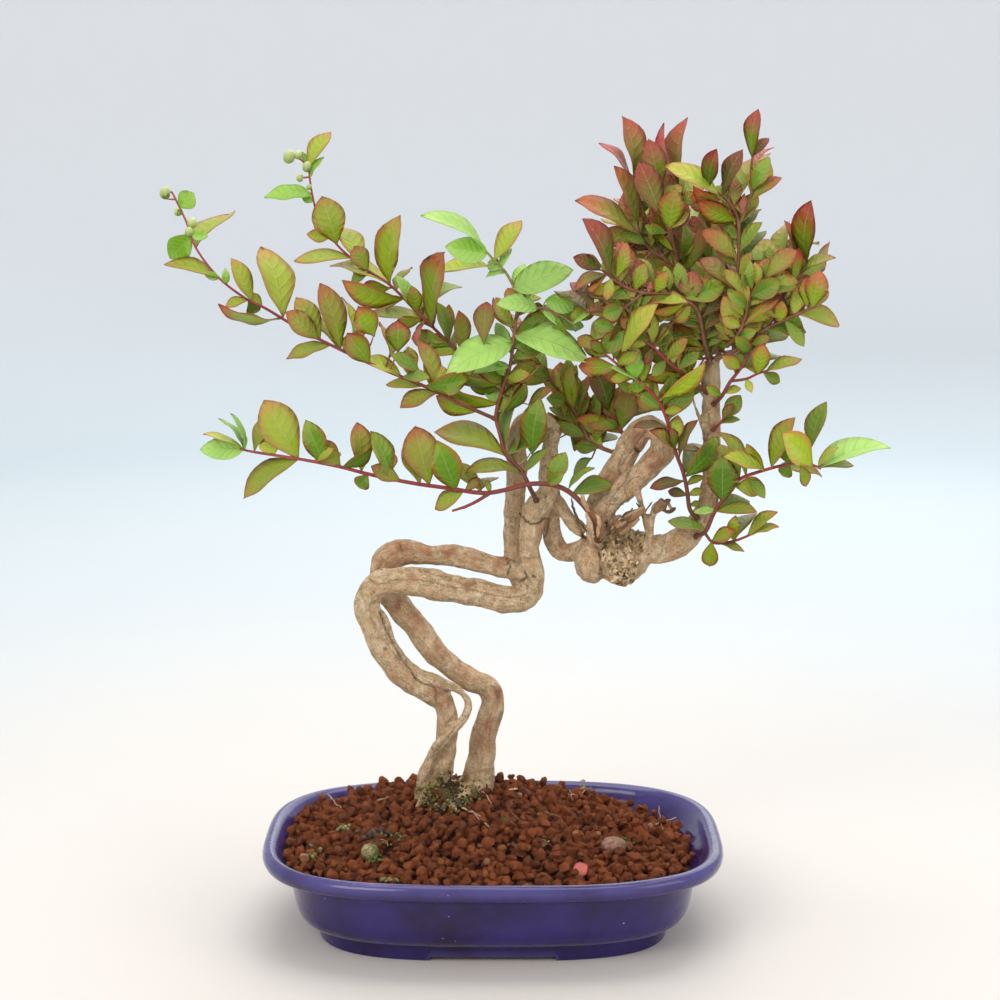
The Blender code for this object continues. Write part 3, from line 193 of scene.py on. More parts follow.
FRONT_TRUNK = [
    (433, 798, 23, 15), (437, 783, 23, 14), (445, 750, 22, 12), (447, 722, 21, 10.5), (442, 700, 20, 11),
    (421, 688, 18, 11.5), (399, 672, 16, 12), (383, 647, 15, 13), (370, 620, 14, 12.5), (367, 603, 14, 13),
    (374, 588, 13, 13), (390, 581, 12, 13), (410, 583, 12, 13), (440, 588, 13, 13), (470, 594, 14, 12),
    (500, 600, 14, 12), (520, 600, 14, 12), (530, 590, 14, 14), (532, 570, 14, 12), (529, 550, 14, 10.5),
    (531, 535, 13, 12), (533, 520, 12, 13), (539, 506, 12, 14), (549, 494, 12, 12), (548, 480, 13, 10),
    (548, 465, 14, 9), (551, 445, 16, 8), (555, 430, 18, 7),
]
REAR_TRUNK = [
    (476, 793, 36, 17.5), (478, 779, 36, 16.5), (481, 760, 36, 14), (483, 740, 36, 13), (489, 718, 36, 12.5),
    (493, 702, 35, 11.5), (487, 687, 34, 12), (466, 677, 33, 12), (440, 657, 31, 12), (420, 632, 29, 13),
    (403, 611, 27, 13), (391, 595, 26, 13), (383, 580, 25, 13), (384, 564, 25, 13), (393, 555, 25, 14),
    (407, 552, 25, 13), (430, 555, 24, 11), (460, 556, 23, 10.5), (480, 562, 22, 11), (500, 567, 21, 10.5),
    (518, 572, 18, 9), (530, 575, 15, 8),
]
BASE_STRAND = [
    (419, 808, 18, 5), (421, 780, 17, 5), (430, 760, 15, 6), (438, 745, 14, 5.5), (450, 735, 14, 5),
    (462, 722, 17, 4.5), (468, 708, 19, 4.5), (466, 698, 20, 4), (458, 690, 20, 4.5), (445, 683, 20, 4.5),
    (432, 677, 20, 4.5), (420, 673, 19, 4.5), (410, 665, 18, 4), (402, 655, 17, 3.5), (392, 637, 15, 3.5),
    (385, 622, 13, 3.5), (380, 610, 12, 3),
]
TOP_STRAND = [
    (382, 577, 12, 3.5), (400, 570, 11, 3.5), (430, 571, 12, 3.5), (450, 577, 13, 3.5), (470, 581, 14, 3.5),
    (490, 586, 14, 3.5), (505, 588, 14, 3.5), (524, 588, 14, 3.5),
]
REAR_STEM = [
    (520, 585, 20, 8), (515, 565, 24, 9), (513, 545, 27, 9), (514, 520, 28, 10), (515, 500, 28, 10.5),
    (517, 475, 27, 10.5), (517, 455, 26, 10), (515, 440, 25, 10), (519, 427, 24, 9), (531, 419, 22, 8),
    (545, 421, 20, 8), (555, 431, 18, 7),
]
KNOB_LOOP = [
    (549, 496, 14, 8), (551, 520, 20, 9), (553, 540, 22, 9), (563, 553, 21, 8.5), (576, 550, 18, 8.5),
    (590, 542, 14, 8),
]
KNOB_BRIDGE = [(556, 500, 14, 7), (568, 517, 15, 7), (584, 533, 13, 7)]
LOOPED_STEM_UP = [
    (609, 547, 13, 13), (600, 505, 13, 14), (612, 480, 14, 14), (625, 455, 15, 13), (638, 433, 15, 12.5),
    (651, 426, 14, 10), (662, 437, 11, 11), (662, 453, 8, 13), (645, 470, 6, 12), (625, 488, 4, 12),
    (608, 504, 3, 12), (598, 522, 4, 12), (602, 545, 8, 14),
]
RIGHT_STEM = [
    (626, 552, 10, 15), (648, 549, 8, 14.5), (664, 549, 6, 15), (679, 543, 4, 15), (693, 530, 3, 12),
    (704, 512, 2, 11), (710, 494, 2, 10), (713, 472, 2, 10), (711, 435, 2, 9.5), (711, 400, 2, 9.5),
    (711, 385, 2, 9), (712, 370, 2, 9), (714, 357, 2, 7),
]
DEAD_STUBS = [
    [(650, 540, 4, 4), (642, 508, 0, 3.5), (637, 489, -1, 3)],
    [(650, 545, 3, 4.5), (652, 520, -1, 4), (658, 504, -2, 3.5), (669, 503, -3, 3), (672, 508, -4, 2)],
    [(622, 545, 6, 6), (626, 520, 4, 4), (634, 507, 4, 1.5)],
    [(610, 545, 6, 6), (609, 522, 3, 4), (612, 509, 2, 1.5)],
    [(704, 430, 1, 4), (697, 412, -2, 2.6), (691, 393, -3, 1.8)],
    [(708, 402, 1, 4), (701, 392, -2, 3), (692, 380, -3, 2)],
    [(596, 545, 8, 8), (591, 520, 6, 4.5), (587, 501, 5, 2)],
]
WOOD_ROUTES = [REAR_TRUNK, BASE_STRAND, TOP_STRAND, REAR_STEM, KNOB_LOOP, KNOB_BRIDGE, LOOPED_STEM_UP,
               RIGHT_STEM, *DEAD_STUBS]
# Lumps of the burl: across, down and depth, then half the width, height and depth in pixels
BURL_LOBES = [(592, 560, 12, 18, 24, 20), (621, 556, 10, 25, 30, 24), (641, 552, 9, 10, 22, 16)]
# Roots that lie on the soil: across, down and radius in pixels
SURFACE_ROOTS = [
    [(428, 793, 6), (423, 800, 4.5), (416, 807, 2.5)],
    [(445, 795, 6), (450, 803, 4.5), (456, 811, 2.5)],
    [(482, 784, 7), (472, 790, 6), (462, 796, 5), (453, 801, 3)],
]
ROOT_REST = 0.0013
ROOT_REAR_DEPTH = 0.060
ROOT_PLUG_RADIUS = 0.0125
ROOT_PLUG_FOOT = 0.0400
ROOT_PLUG_TOP = 0.0620

# Each leafy stem: its twigs, the readings of its leaves (base, tip, shown width, colour) and how many leaves
# its far side carries
LEAFY_STEMS = {
    "stem_middle": (
        [[(538, 504, 8, 2.4), (530, 488, 0, 2.3), (521, 470, 0, 2.2), (506, 455, 0, 2.1), (500, 434, 0, 2),
          (496, 415, 0, 2), (502, 390, 0, 1.9), (510, 366, 0, 1.8), (514, 335, -1, 1.7),
          (517, 300, -2, 1.5), (508, 276, -3, 1.4), (495, 261, -4, 1.3), (480, 245, -5, 1.2)],
         [(516, 316, -2, 1.3), (538, 308, -4, 1.2), (558, 314, -6, 1.1), (577, 327, -7, 1)]],
        [(505, 456, 434, 432, 27, "o"), (521, 475, 465, 473, 14, "o"), (520, 467, 524, 416, 12, "r"),
         (532, 454, 540, 398, 28, "g"), (524, 472, 548, 449, 9, "g"), (502, 425, 541, 366, 12, "g"),
         (507, 450, 523, 388, 16, "g"), (504, 412, 527, 383, 12, "g"), (528, 406, 553, 389, 10, "r"),
         (510, 365, 473, 373, 10, "p"), (503, 385, 453, 369, 12, "r"), (498, 401, 435, 380, 17, "o"),
         (512, 342, 446, 373, 32, "p"), (488, 252, 445, 246, 26, "p"), (480, 245, 421, 215, 14, "p"),
         (488, 266, 432, 273, 14, "y"), (515, 284, 573, 269, 30, "p"), (503, 273, 486, 277, 6, "p"),
         (538, 304, 496, 304, 18, "p"), (545, 300, 579, 306, 20, "p"), (518, 331, 572, 322, 26, "g"),
         (520, 339, 589, 363, 30, "p"), (574, 327, 620, 289, 14, "p"), (484, 344, 487, 302, 22, "r"),
         (512, 330, 491, 307, 12, "o"), (517, 292, 532, 288, 8, "y"), (518, 298, 541, 298, 8, "y"),
         (511, 358, 540, 352, 13, "g"), (505, 378, 530, 374, 14, "o")],
        4),
    "stem_left_lower": (
        [[(498, 420, 1, 2), (477, 411, -4, 1.9), (450, 399, -10, 1.8), (424, 386, -14, 1.8),
          (380, 368, -21, 1.7), (341, 350, -27, 1.6), (300, 329, -30, 1.5), (265, 308, -30, 1.4),
          (248, 300, -30, 1.3), (219, 278, -28, 1.2), (196, 248, -25, 1.1), (186, 221, -23, 1.1),
          (172, 192, -21, 1)]],
        [(183, 209, 194, 193, 20, "v"), (187, 239, 170, 258, 26, "v"), (190, 238, 208, 236, 10, "p"),
         (221, 279, 164, 264, 14, "o"), (217, 277, 204, 273, 8, "p"), (229, 285, 225, 268, 8, "p"),
         (253, 301, 231, 258, 18, "o"), (280, 314, 261, 246, 33, "o"), (245, 300, 225, 306, 10, "o"),
         (279, 316, 218, 306, 10, "c"), (318, 337, 296, 297, 24, "o"), (318, 338, 285, 312, 22, "c"),
         (341, 347, 320, 283, 26, "c"), (352, 352, 341, 297, 10, "o"), (334, 349, 286, 358, 14, "o"),
         (375, 336, 358, 306, 25, "c"), (398, 352, 398, 320, 26, "r"), (370, 360, 347, 333, 25, "c"),
         (403, 371, 361, 360, 14, "y"), (420, 371, 391, 355, 15, "g"), (401, 372, 430, 378, 12, "g"),
         (422, 388, 386, 385, 11, "o"), (438, 393, 400, 407, 17, "c"), (476, 413, 436, 396, 18, "o"),
         (441, 391, 418, 339, 18, "c"), (167, 199, 165, 193, 8, "g"), (183, 214, 177, 210, 7, "g")],
        4),
    "stem_left_upper": (
        [[(502, 390, 1, 1.9), (474, 369, 8, 1.8), (449, 343, 12, 1.7), (417, 312, 16, 1.6),
          (390, 285, 20, 1.5), (361, 266, 23, 1.4), (340, 248, 25, 1.3), (328, 232, 26, 1.3),
          (317, 213, 26, 1.2), (311, 188, 26, 1.1), (308, 168, 26, 1.1), (298, 158, 26, 1),
          (288, 158, 26, 0.9)]],
        [(312, 177, 324, 157, 7, "v"), (310, 196, 264, 196, 15, "v"), (318, 201, 302, 197, 8, "v"),
         (326, 238, 307, 234, 14, "o"), (338, 246, 322, 196, 34, "o"), (352, 259, 294, 261, 14, "o"),
         (369, 270, 354, 246, 20, "c"), (390, 283, 400, 215, 26, "o"), (392, 289, 330, 264, 15, "o"),
         (371, 272, 351, 284, 10, "g"), (415, 310, 412, 286, 16, "o"), (408, 302, 395, 275, 12, "p"),
         (433, 326, 445, 252, 23, "c"), (450, 341, 437, 302, 14, "g"), (430, 325, 438, 308, 6, "k"),
         (401, 298, 342, 280, 22, "o"), (432, 331, 365, 317, 13, "o"), (425, 324, 416, 342, 6, "k"),
         (462, 350, 458, 310, 17, "c"), (463, 358, 422, 353, 14, "o"), (289, 158, 284, 155, 8, "g"),
         (308, 166, 300, 152, 7, "g"), (474, 372, 452, 388, 14, "o")],
        4),
    "stem_low_left": (
        [[(601, 550, 7, 3.6), (597, 534, -5, 3.4), (591, 515, -7, 3.2), (572, 494, -7, 2.8),
          (553, 485, -6, 2.6), (529, 484, -6, 2.5), (505, 490, -6, 2.4), (482, 493, -7, 2.3),
          (447, 488, -10, 2.2), (412, 483, -14, 2.1), (368, 474, -18, 2), (341, 467, -20, 1.9),
          (305, 460, -23, 1.7), (280, 456, -24, 1.6), (254, 452, -25, 1.4), (240, 449, -26, 1.2)],
         [(490, 493, -6, 2), (479, 500, -8, 1.8), (467, 506, -10, 1.6), (452, 511, -11, 1.2)]],
        [(244, 449, 200, 449, 22, "p"), (240, 449, 203, 434, 6, "y"), (240, 448, 231, 413, 5, "p"),
         (238, 447, 219, 418, 5, "p"), (242, 448, 243, 430, 5, "p"), (271, 456, 267, 436, 22, "y"),
         (297, 458, 264, 400, 40, "o"), (296, 461, 244, 499, 22, "o"), (326, 465, 306, 420, 24, "g"),
         (341, 467, 316, 441, 24, "c"), (363, 472, 357, 422, 23, "c"), (388, 478, 370, 431, 20, "g"),
         (398, 481, 371, 466, 17, "c"), (428, 485, 415, 426, 36, "c"), (458, 489, 437, 440, 31, "g"),
         (460, 491, 435, 509, 17, "o"), (464, 491, 480, 478, 10, "r"), (548, 480, 566, 452, 20, "g"),
         (546, 483, 564, 472, 12, "g"), (566, 489, 595, 468, 7, "g"), (490, 491, 486, 480, 6, "o"),
         (344, 468, 372, 448, 12, "g"), (312, 462, 334, 448, 11, "o")],
        4),
    "stem_back_centre": (
        [[(624, 456, 17, 2.4), (597, 446, 24, 2.2), (588, 438, 25, 2), (580, 421, 27, 1.8),
          (574, 410, 28, 1.7), (564, 397, 29, 1.6), (551, 381, 30, 1.5), (546, 367, 30, 1.3)],
         [(588, 439, 25, 1.6), (577, 438, 27, 1.5), (568, 432, 29, 1.3)]],
        [(580, 417, 591, 375, 11, "r"), (595, 432, 600, 389, 13, "g"), (568, 431, 556, 372, 25, "o"),
         (593, 451, 575, 447, 12, "g"), (574, 409, 571, 366, 17, "o"), (556, 388, 577, 366, 14, "o"),
         (549, 377, 533, 366, 12, "g"), (567, 400, 547, 398, 16, "g"), (579, 425, 600, 424, 16, "g"),
         (566, 430, 562, 410, 14, "o")],
        3),
    "stem_back_small": (
        [[(626, 441, 20, 2), (621, 430, 22, 1.7), (614, 419, 24, 1.5), (607, 410, 25, 1.3)]],
        [(610, 412, 590, 361, 25, "d"), (621, 430, 630, 386, 26, "r"), (614, 420, 603, 404, 10, "r"),
         (618, 428, 604, 420, 10, "g"), (611, 414, 622, 392, 12, "g"), (624, 436, 640, 424, 10, "o")],
        1),
    "stem_right_red": (
        [[(699, 520, -2, 2.4), (690, 510, -6, 2.2), (687, 490, -8, 2.1), (683, 472, -9, 2),
          (675, 450, -11, 1.9), (667, 420, -13, 1.8), (660, 404, -14, 1.7), (650, 391, -15, 1.6),
          (635, 379, -16, 1.5), (617, 364, -17, 1.3), (600, 350, -17, 1.2)]],
        [(640, 384, 610, 366, 5, "p"), (648, 390, 641, 381, 7, "y"), (658, 401, 706, 361, 16, "y"),
         (668, 421, 690, 380, 25, "g"), (668, 426, 633, 428, 8, "d"), (674, 451, 650, 430, 12, "r"),
         (678, 451, 671, 428, 9, "r"), (674, 441, 678, 415, 16, "o"), (674, 450, 701, 450, 8, "r"),
         (685, 477, 718, 436, 22, "g"), (684, 479, 650, 488, 12, "d"), (679, 459, 698, 420, 10, "r"),
         (687, 497, 668, 491, 10, "d"), (687, 486, 704, 476, 8, "o"), (688, 496, 704, 490, 8, "o"),
         (689, 507, 700, 502, 6, "g"), (655, 410, 639, 392, 15, "g"), (635, 378, 631, 341, 19, "p"),
         (617, 365, 640, 352, 14, "o"), (603, 352, 590, 340, 12, "r"), (664, 412, 682, 408, 10, "o"),
         (628, 374, 610, 379, 11, "o")],
        3),
    "stem_right_lower": (
        [[(697, 536, -4, 2.4), (706, 531, -12, 2.2), (715, 511, -14, 2.1), (729, 492, -16, 2),
          (740, 479, -18, 1.8), (765, 470, -22, 1.7), (790, 464, -25, 1.5), (810, 464, -27, 1.3),
          (821, 469, -28, 1.2)],
         [(705, 533, -12, 1.8), (714, 543, -14, 1.5), (734, 541, -16, 1.4), (752, 534, -18, 1.2)]],
        [(722, 500, 723, 455, 32, "g"), (764, 471, 723, 457, 15, "y"), (743, 471, 719, 431, 14, "o"),
         (762, 470, 746, 444, 14, "o"), (769, 469, 794, 417, 20, "o"), (788, 465, 784, 440, 17, "g"),
         (814, 465, 782, 433, 28, "y"), (810, 450, 826, 401, 19, "g"), (819, 467, 891, 449, 20, "p"),
         (820, 466, 838, 447, 8, "y"), (780, 467, 822, 476, 12, "o"), (819, 469, 854, 465, 12, "o"),
         (736, 485, 765, 487, 20, "o"), (732, 488, 701, 484, 6, "k"), (716, 513, 757, 512, 13, "o"),
         (736, 540, 736, 515, 13, "o"), (712, 541, 735, 530, 15, "c"), (710, 541, 709, 566, 17, "o"),
         (752, 535, 779, 527, 9, "o"), (750, 535, 777, 511, 12, "o"), (718, 543, 744, 552, 7, "o"),
         (706, 531, 668, 521, 13, "g"), (715, 512, 694, 512, 8, "p"), (748, 476, 765, 498, 12, "g"),
         (798, 464, 806, 486, 12, "o")],
        4),
    "stem_trunk_side": (
        [[(713, 430, -3, 1.6), (722, 421, -6, 1.4), (727, 409, -7, 1.1)]],
        [(723, 418, 741, 395, 17, "g"), (722, 420, 734, 404, 8, "r"), (720, 423, 740, 419, 7, "g")],
        0),
    "crown_right": (
        [[(714, 350, 2, 3.4), (722, 340, 0, 3), (731, 318, -3, 2.6), (733, 300, -5, 2.3),
          (738, 268, -6, 2.1), (739, 238, -6, 2), (738, 220, -6, 1.9), (731, 205, -6, 1.7),
          (720, 194, -5, 1.5), (704, 187, -4, 1.2)],
         [(739, 225, -6, 1.6), (748, 206, -9, 1.5), (752, 190, -10, 1.4), (751, 172, -10, 1.3),
          (753, 152, -10, 1.1)]],
        [(754, 153, 758, 109, 17, "r"), (702, 187, 716, 149, 18, "d"), (724, 197, 742, 149, 17, "d"),
         (752, 158, 769, 138, 10, "d"), (733, 209, 770, 152, 20, "o"), (752, 190, 770, 157, 18, "g"),
         (752, 168, 774, 147, 6, "k"), (750, 201, 782, 178, 13, "c"), (741, 215, 745, 193, 8, "k"),
         (720, 195, 665, 166, 18, "y"), (732, 208, 693, 186, 12, "c"), (738, 221, 698, 200, 20, "c"),
         (738, 259, 701, 230, 20, "c"), (739, 245, 761, 209, 14, "g"), (739, 252, 762, 222, 14, "g"),
         (740, 223, 757, 205, 7, "o"), (730, 204, 704, 212, 10, "r"), (738, 266, 766, 230, 16, "g"),
         (735, 284, 772, 263, 14, "c"), (734, 289, 699, 258, 18, "c"), (733, 297, 713, 277, 9, "o"),
         (733, 300, 704, 286, 10, "o"), (731, 310, 700, 300, 12, "g"), (722, 340, 719, 318, 14, "c"),
         (716, 350, 682, 348, 10, "y"), (737, 275, 752, 252, 12, "o"), (738, 240, 722, 226, 14, "g")],
        4),
    "crown_left": (
        [[(711, 350, 4, 3.2), (702, 336, 6, 2.8), (689, 317, 8, 2.5), (686, 299, 10, 2.3),
          (682, 276, 11, 2.1), (667, 262, 12, 2), (655, 244, 13, 1.8), (647, 222, 14, 1.6),
          (640, 200, 14, 1.4), (633, 179, 14, 1.2)],
         [(664, 259, 12, 1.5), (650, 249, 10, 1.4), (636, 232, 8, 1.1)],
         [(682, 277, 11, 1.6), (676, 252, 6, 1.5), (668, 229, 2, 1.4), (659, 212, 0, 1.1)],
         [(656, 246, 13, 1.5), (668, 226, 18, 1.4), (678, 207, 21, 1.3), (682, 191, 22, 1.1)],
         [(647, 222, 14, 1.4), (655, 205, 13, 1.3), (661, 187, 12, 1.1)]],
        [(632, 180, 621, 116, 22, "r"), (630, 178, 600, 142, 8, "k"), (660, 189, 649, 139, 25, "r"),
         (659, 211, 639, 162, 28, "r"), (682, 193, 686, 117, 20, "r"), (681, 191, 663, 123, 14, "k"),
         (638, 227, 613, 166, 17, "c"), (636, 232, 576, 199, 18, "c"), (656, 250, 655, 199, 22, "r"),
         (669, 230, 675, 188, 28, "o"), (640, 202, 628, 194, 9, "r"), (647, 247, 621, 233, 12, "g"),
         (678, 288, 676, 252, 15, "c"), (675, 266, 684, 228, 22, "r"), (685, 272, 683, 222, 14, "g"),
         (688, 276, 700, 225, 12, "o"), (667, 228, 690, 212, 12, "o"), (652, 233, 632, 222, 14, "g"),
         (672, 268, 652, 272, 12, "o"), (686, 300, 706, 285, 12, "g"), (644, 212, 624, 208, 12, "r"),
         (677, 208, 694, 192, 14, "o"), (683, 282, 664, 282, 12, "r")],
        4),
    "crown_left_lower": (
        [[(709, 362, -2, 2.4), (704, 340, -9, 2.2), (698, 312, -15, 2.1), (684, 298, -17, 1.9),
          (670, 294, -18, 1.8), (640, 292, -21, 1.6), (620, 284, -23, 1.4), (603, 271, -24, 1.1)],
         [(642, 293, -21, 1.4), (632, 302, -22, 1.2), (621, 310, -22, 1)]],
        [(612, 278, 585, 218, 20, "d"), (601, 270, 573, 257, 15, "d"), (618, 284, 597, 242, 17, "r"),
         (621, 283, 623, 241, 22, "r"), (671, 293, 622, 269, 20, "r"), (694, 304, 691, 270, 24, "r"),
         (633, 303, 631, 282, 11, "c"), (648, 292, 651, 280, 6, "k"), (672, 296, 645, 303, 15, "r"),
         (687, 302, 653, 312, 9, "o"), (624, 308, 602, 315, 18, "g"), (622, 311, 610, 324, 8, "r"),
         (604, 273, 590, 293, 10, "r"), (602, 272, 573, 291, 12, "r"), (655, 294, 667, 270, 14, "o"),
         (636, 292, 645, 262, 16, "o"), (666, 295, 660, 322, 14, "g"), (690, 303, 676, 322, 14, "o"),
         (703, 330, 716, 300, 14, "g"), (612, 279, 606, 300, 12, "o")],
        3),
    "crown_front": (
        [[(706, 392, -3, 2), (694, 381, -10, 1.8), (678, 370, -14, 1.7), (666, 360, -16, 1.6),
          (653, 347, -18, 1.4), (640, 337, -20, 1.2), (634, 328, -21, 1)]],
        [(622, 352, 658, 304, 20, "y"), (634, 331, 598, 350, 22, "g"), (652, 348, 645, 364, 10, "d"),
         (641, 338, 650, 312, 13, "o"), (666, 361, 688, 338, 14, "o"), (667, 361, 652, 376, 12, "g"),
         (679, 371, 700, 352, 13, "g"), (634, 329, 620, 318, 12, "r"), (690, 378, 678, 352, 14, "o")],
        1),
    "crown_far_right": (
        [[(718, 358, -3, 2.6), (732, 352, -9, 2.3), (746, 343, -12, 2.2), (765, 329, -16, 2),
          (784, 320, -19, 1.8), (797, 314, -21, 1.6), (817, 306, -23, 1.2)],
         [(768, 327, -16, 1.7), (778, 306, -14, 1.6), (789, 288, -12, 1.5), (800, 274, -10, 1.4),
          (810, 260, -8, 1.1)]],
        [(809, 262, 812, 200, 24, "r"), (796, 278, 785, 220, 14, "r"), (802, 271, 796, 228, 8, "r"),
         (796, 314, 840, 325, 19, "o"), (812, 308, 820, 270, 24, "c"), (794, 315, 801, 283, 17, "o"),
         (800, 276, 836, 258, 10, "o"), (792, 283, 798, 247, 12, "c"), (785, 294, 772, 270, 14, "o"),
         (779, 322, 782, 300, 14, "o"), (767, 327, 775, 298, 12, "o"), (787, 291, 784, 262, 12, "g"),
         (764, 330, 806, 332, 18, "g"), (748, 341, 766, 350, 12, "o"), (760, 332, 750, 312, 14, "o"),
         (732, 353, 745, 330, 13, "g"), (783, 321, 804, 346, 14, "g"), (805, 311, 829, 291, 14, "o")],
        4),
    "crown_right_lower": (
        [[(714, 404, -3, 2.2), (722, 396, -9, 2), (730, 382, -11, 1.8), (741, 368, -14, 1.6),
          (750, 352, -16, 1.3), (751, 342, -16, 1)],
         [(731, 381, -11, 1.5), (746, 379, -14, 1.4), (757, 374, -16, 1.2), (769, 370, -18, 1)]],
        [(757, 374, 764, 343, 19, "o"), (768, 371, 802, 359, 12, "o"), (746, 379, 752, 392, 8, "y"),
         (751, 345, 770, 336, 12, "o"), (741, 368, 722, 356, 14, "o"), (735, 376, 741, 352, 13, "g"),
         (750, 352, 735, 336, 14, "g"), (725, 391, 741, 388, 8, "y"), (762, 373, 780, 382, 12, "g"),
         (722, 396, 706, 386, 10, "g")],
        2),
    "crown_middle": (
        [[(728, 345, -11, 1.8), (738, 335, -19, 1.6), (745, 318, -22, 1.5), (750, 297, -23, 1.4),
          (758, 286, -24, 1.2), (767, 277, -24, 1)]],
        [(766, 279, 797, 250, 20, "c"), (751, 296, 776, 283, 12, "o"), (745, 312, 749, 284, 10, "o"),
         (741, 325, 780, 295, 16, "c"), (747, 306, 727, 292, 14, "g"), (741, 327, 722, 318, 13, "o"),
         (758, 286, 755, 262, 13, "o"), (737, 337, 757, 330, 12, "g")],
        1),
    "crown_back_left": (
        [[(708, 352, 9, 2.6), (692, 330, 22, 2.2), (672, 300, 34, 1.9), (655, 268, 42, 1.6),
          (640, 238, 48, 1.3), (628, 212, 52, 1)]],
        [], 14),
    "crown_back": (
        [[(714, 350, 10, 2.6), (714, 325, 24, 2.3), (712, 296, 36, 2), (712, 262, 44, 1.7),
          (714, 228, 50, 1.4), (716, 196, 52, 1.1)]],
        [], 14),
    "crown_back_right": (
        [[(719, 352, 9, 2.6), (734, 334, 22, 2.2), (752, 312, 34, 1.9), (768, 286, 41, 1.6),
          (782, 262, 45, 1.3), (792, 240, 47, 1)]],
        [], 12),
}
# Leaves that the far side carries: length and shown width in pixels, and the turn from one to the next
FAR_LEAF_LENGTH = (32, 48)
FAR_LEAF_WIDTH = (15, 24)
FAR_LEAF_TURN = math.radians(137.5)
FAR_LEAF_TURN_DRAW = (-0.3, 0.3)
FAR_LEAF_RISE = 0.35
FAR_LEAF_LEAN = (18, 60)
FAR_LEAF_COLOURS = "gogorogc"


# Sight lines


def seen(px, py, depth):
    """The point at this depth that the sight line through a pixel of the view meets."""
    ray = VIEW_AHEAD * VIEW_FOCAL + VIEW_RIGHT * (px - VIEW_MIDDLE) + VIEW_UP * (VIEW_MIDDLE - py)
    return VIEW_EYE + ray * ((depth - VIEW_EYE.y) / ray.y)


def read_point(px, py, depth):
    """The point of a reading, its depth in millimetres behind the tree's middle plane."""
    return seen(px, py, TREE_BACK + depth * MM)


def pixel_at(point):
    """The size of one pixel of the view at this point."""
    return (point - VIEW_EYE).dot(VIEW_AHEAD) / VIEW_FOCAL


def pixel_of(point):
    """The pixel of the view in which a point shows."""
    ray = point - VIEW_EYE
    ahead = ray.dot(VIEW_AHEAD)
    return (VIEW_MIDDLE + VIEW_FOCAL * ray.dot(VIEW_RIGHT) / ahead,
            VIEW_MIDDLE - VIEW_FOCAL * ray.dot(VIEW_UP) / ahead)


def sight_hit(surface, px, py):
    """Where the sight line through a pixel meets a surface, and the normal there."""
    hit, normal, _, _ = surface.ray_cast(VIEW_EYE, (seen(px, py, 0) - VIEW_EYE).normalized())
    return hit, normal


def along_route(route, step):
    """Centres and radii every step along a smooth curve through a route's readings."""
    stations = []
    for px, py, depth, radius in route:
        centre = read_point(px, py, depth)
        stations.append((centre, radius * pixel_at(centre)))
    centres, radii = [], []
    last = len(stations) - 1
    for i in range(last):
        before, here = stations[max(i - 1, 0)][0], stations[i][0]
        there, after = stations[i + 1][0], stations[min(i + 2, last)][0]
        count = max(1, round((there - here).length / step))
        for k in range(count):
            t = k / count
            centres.append(0.5 * (
                2 * here
                + (there - before) * t
                + (2 * before - 5 * here + 4 * there - after) * t ** 2
                + (3 * here - before - 3 * there + after) * t ** 3
            ))
            radii.append(stations[i][1] + (stations[i + 1][1] - stations[i][1]) * t)
    centres.append(stations[-1][0])
    radii.append(stations[-1][1])
    return centres, radii


def soil_height(x, y):
    """The height of the soil's surface, without its grains."""
    across = (x - SOIL_PEAK.x) / SOIL_SPREAD.x
    back = (y - SOIL_PEAK.y) / SOIL_SPREAD.y
    mound = math.exp(-(across ** 2 + back ** 2) ** SOIL_FALL)
    slope = clamp((x - SOIL_DROP_START) / SOIL_DROP_LENGTH)
    return SOIL_EDGE + (SOIL_TOP - SOIL_EDGE) * mound - SOIL_RIGHT_DROP * slope * slope * (3 - 2 * slope)


def soil_depth(px, py, lift, depth):
    """The first depth, from this one forward, where a sight line runs this high over the soil."""
    place = seen(px, py, depth)
    while place.z < soil_height(place.x, place.y) + lift:
        depth -= GAP
        place = seen(px, py, depth)
    return depth


def on_soil(px, py, lift):
    """The point that shows in a pixel and lies this high over the soil."""
    return seen(px, py, soil_depth(px, py, lift, SOIL_SEARCH_DEPTH))


# Nodes of the materials


def add(tree, kind, values=None, links=None, **settings):
    """A node in a tree, with the values of its sockets, what they are linked to, and its settings."""
    node = tree.nodes.new("ShaderNode" + kind)
    for key, value in settings.items():
        setattr(node, key, value)
    for socket, value in (values or {}).items():
        node.inputs[socket].default_value = value
    for socket, source in (links or {}).items():
        tree.links.new(source, node.inputs[socket])
    return node


def shade(red, green, blue, alpha=1.0):
    """A colour read on a screen, 0 to 255, as light."""
    def light(value):
        share = value / 255
        return share / 12.92 if share <= 0.04045 else ((share + 0.055) / 1.055) ** 2.4
    return light(red), light(green), light(blue), alpha


def light_of(red, green, blue):
    """A colour read on a screen, as light without its alpha."""
    return Vector(shade(red, green, blue)[:3])


def ramp(tree, factor, stops):
    """The colour output of a ramp through (place, colour) stops."""
    node = add(tree, "ValToRGB", links={"Fac": factor})
    elements = node.color_ramp.elements
    while len(elements) < len(stops):
        elements.new(0.5)
    for element, (place, colour) in zip(elements, stops):
        element.position = place
        element.color = colour
    return node.outputs["Color"]


def fill_sockets(tree, node, values):
    """Gives each socket its value, or the output that it is linked to."""
    for socket, value in values:
        if isinstance(value, bpy.types.NodeSocket):
            tree.links.new(value, node.inputs[socket])
        else:
            node.inputs[socket].default_value = value


def blend(tree, factor, first, second):
    """Two colours mixed by a mask. Each may be a plain colour or an output."""
    node = add(tree, "Mix", data_type="RGBA", clamp_factor=True)
    fill_sockets(tree, node, ((0, factor), (6, first), (7, second)))
    return node.outputs[2]


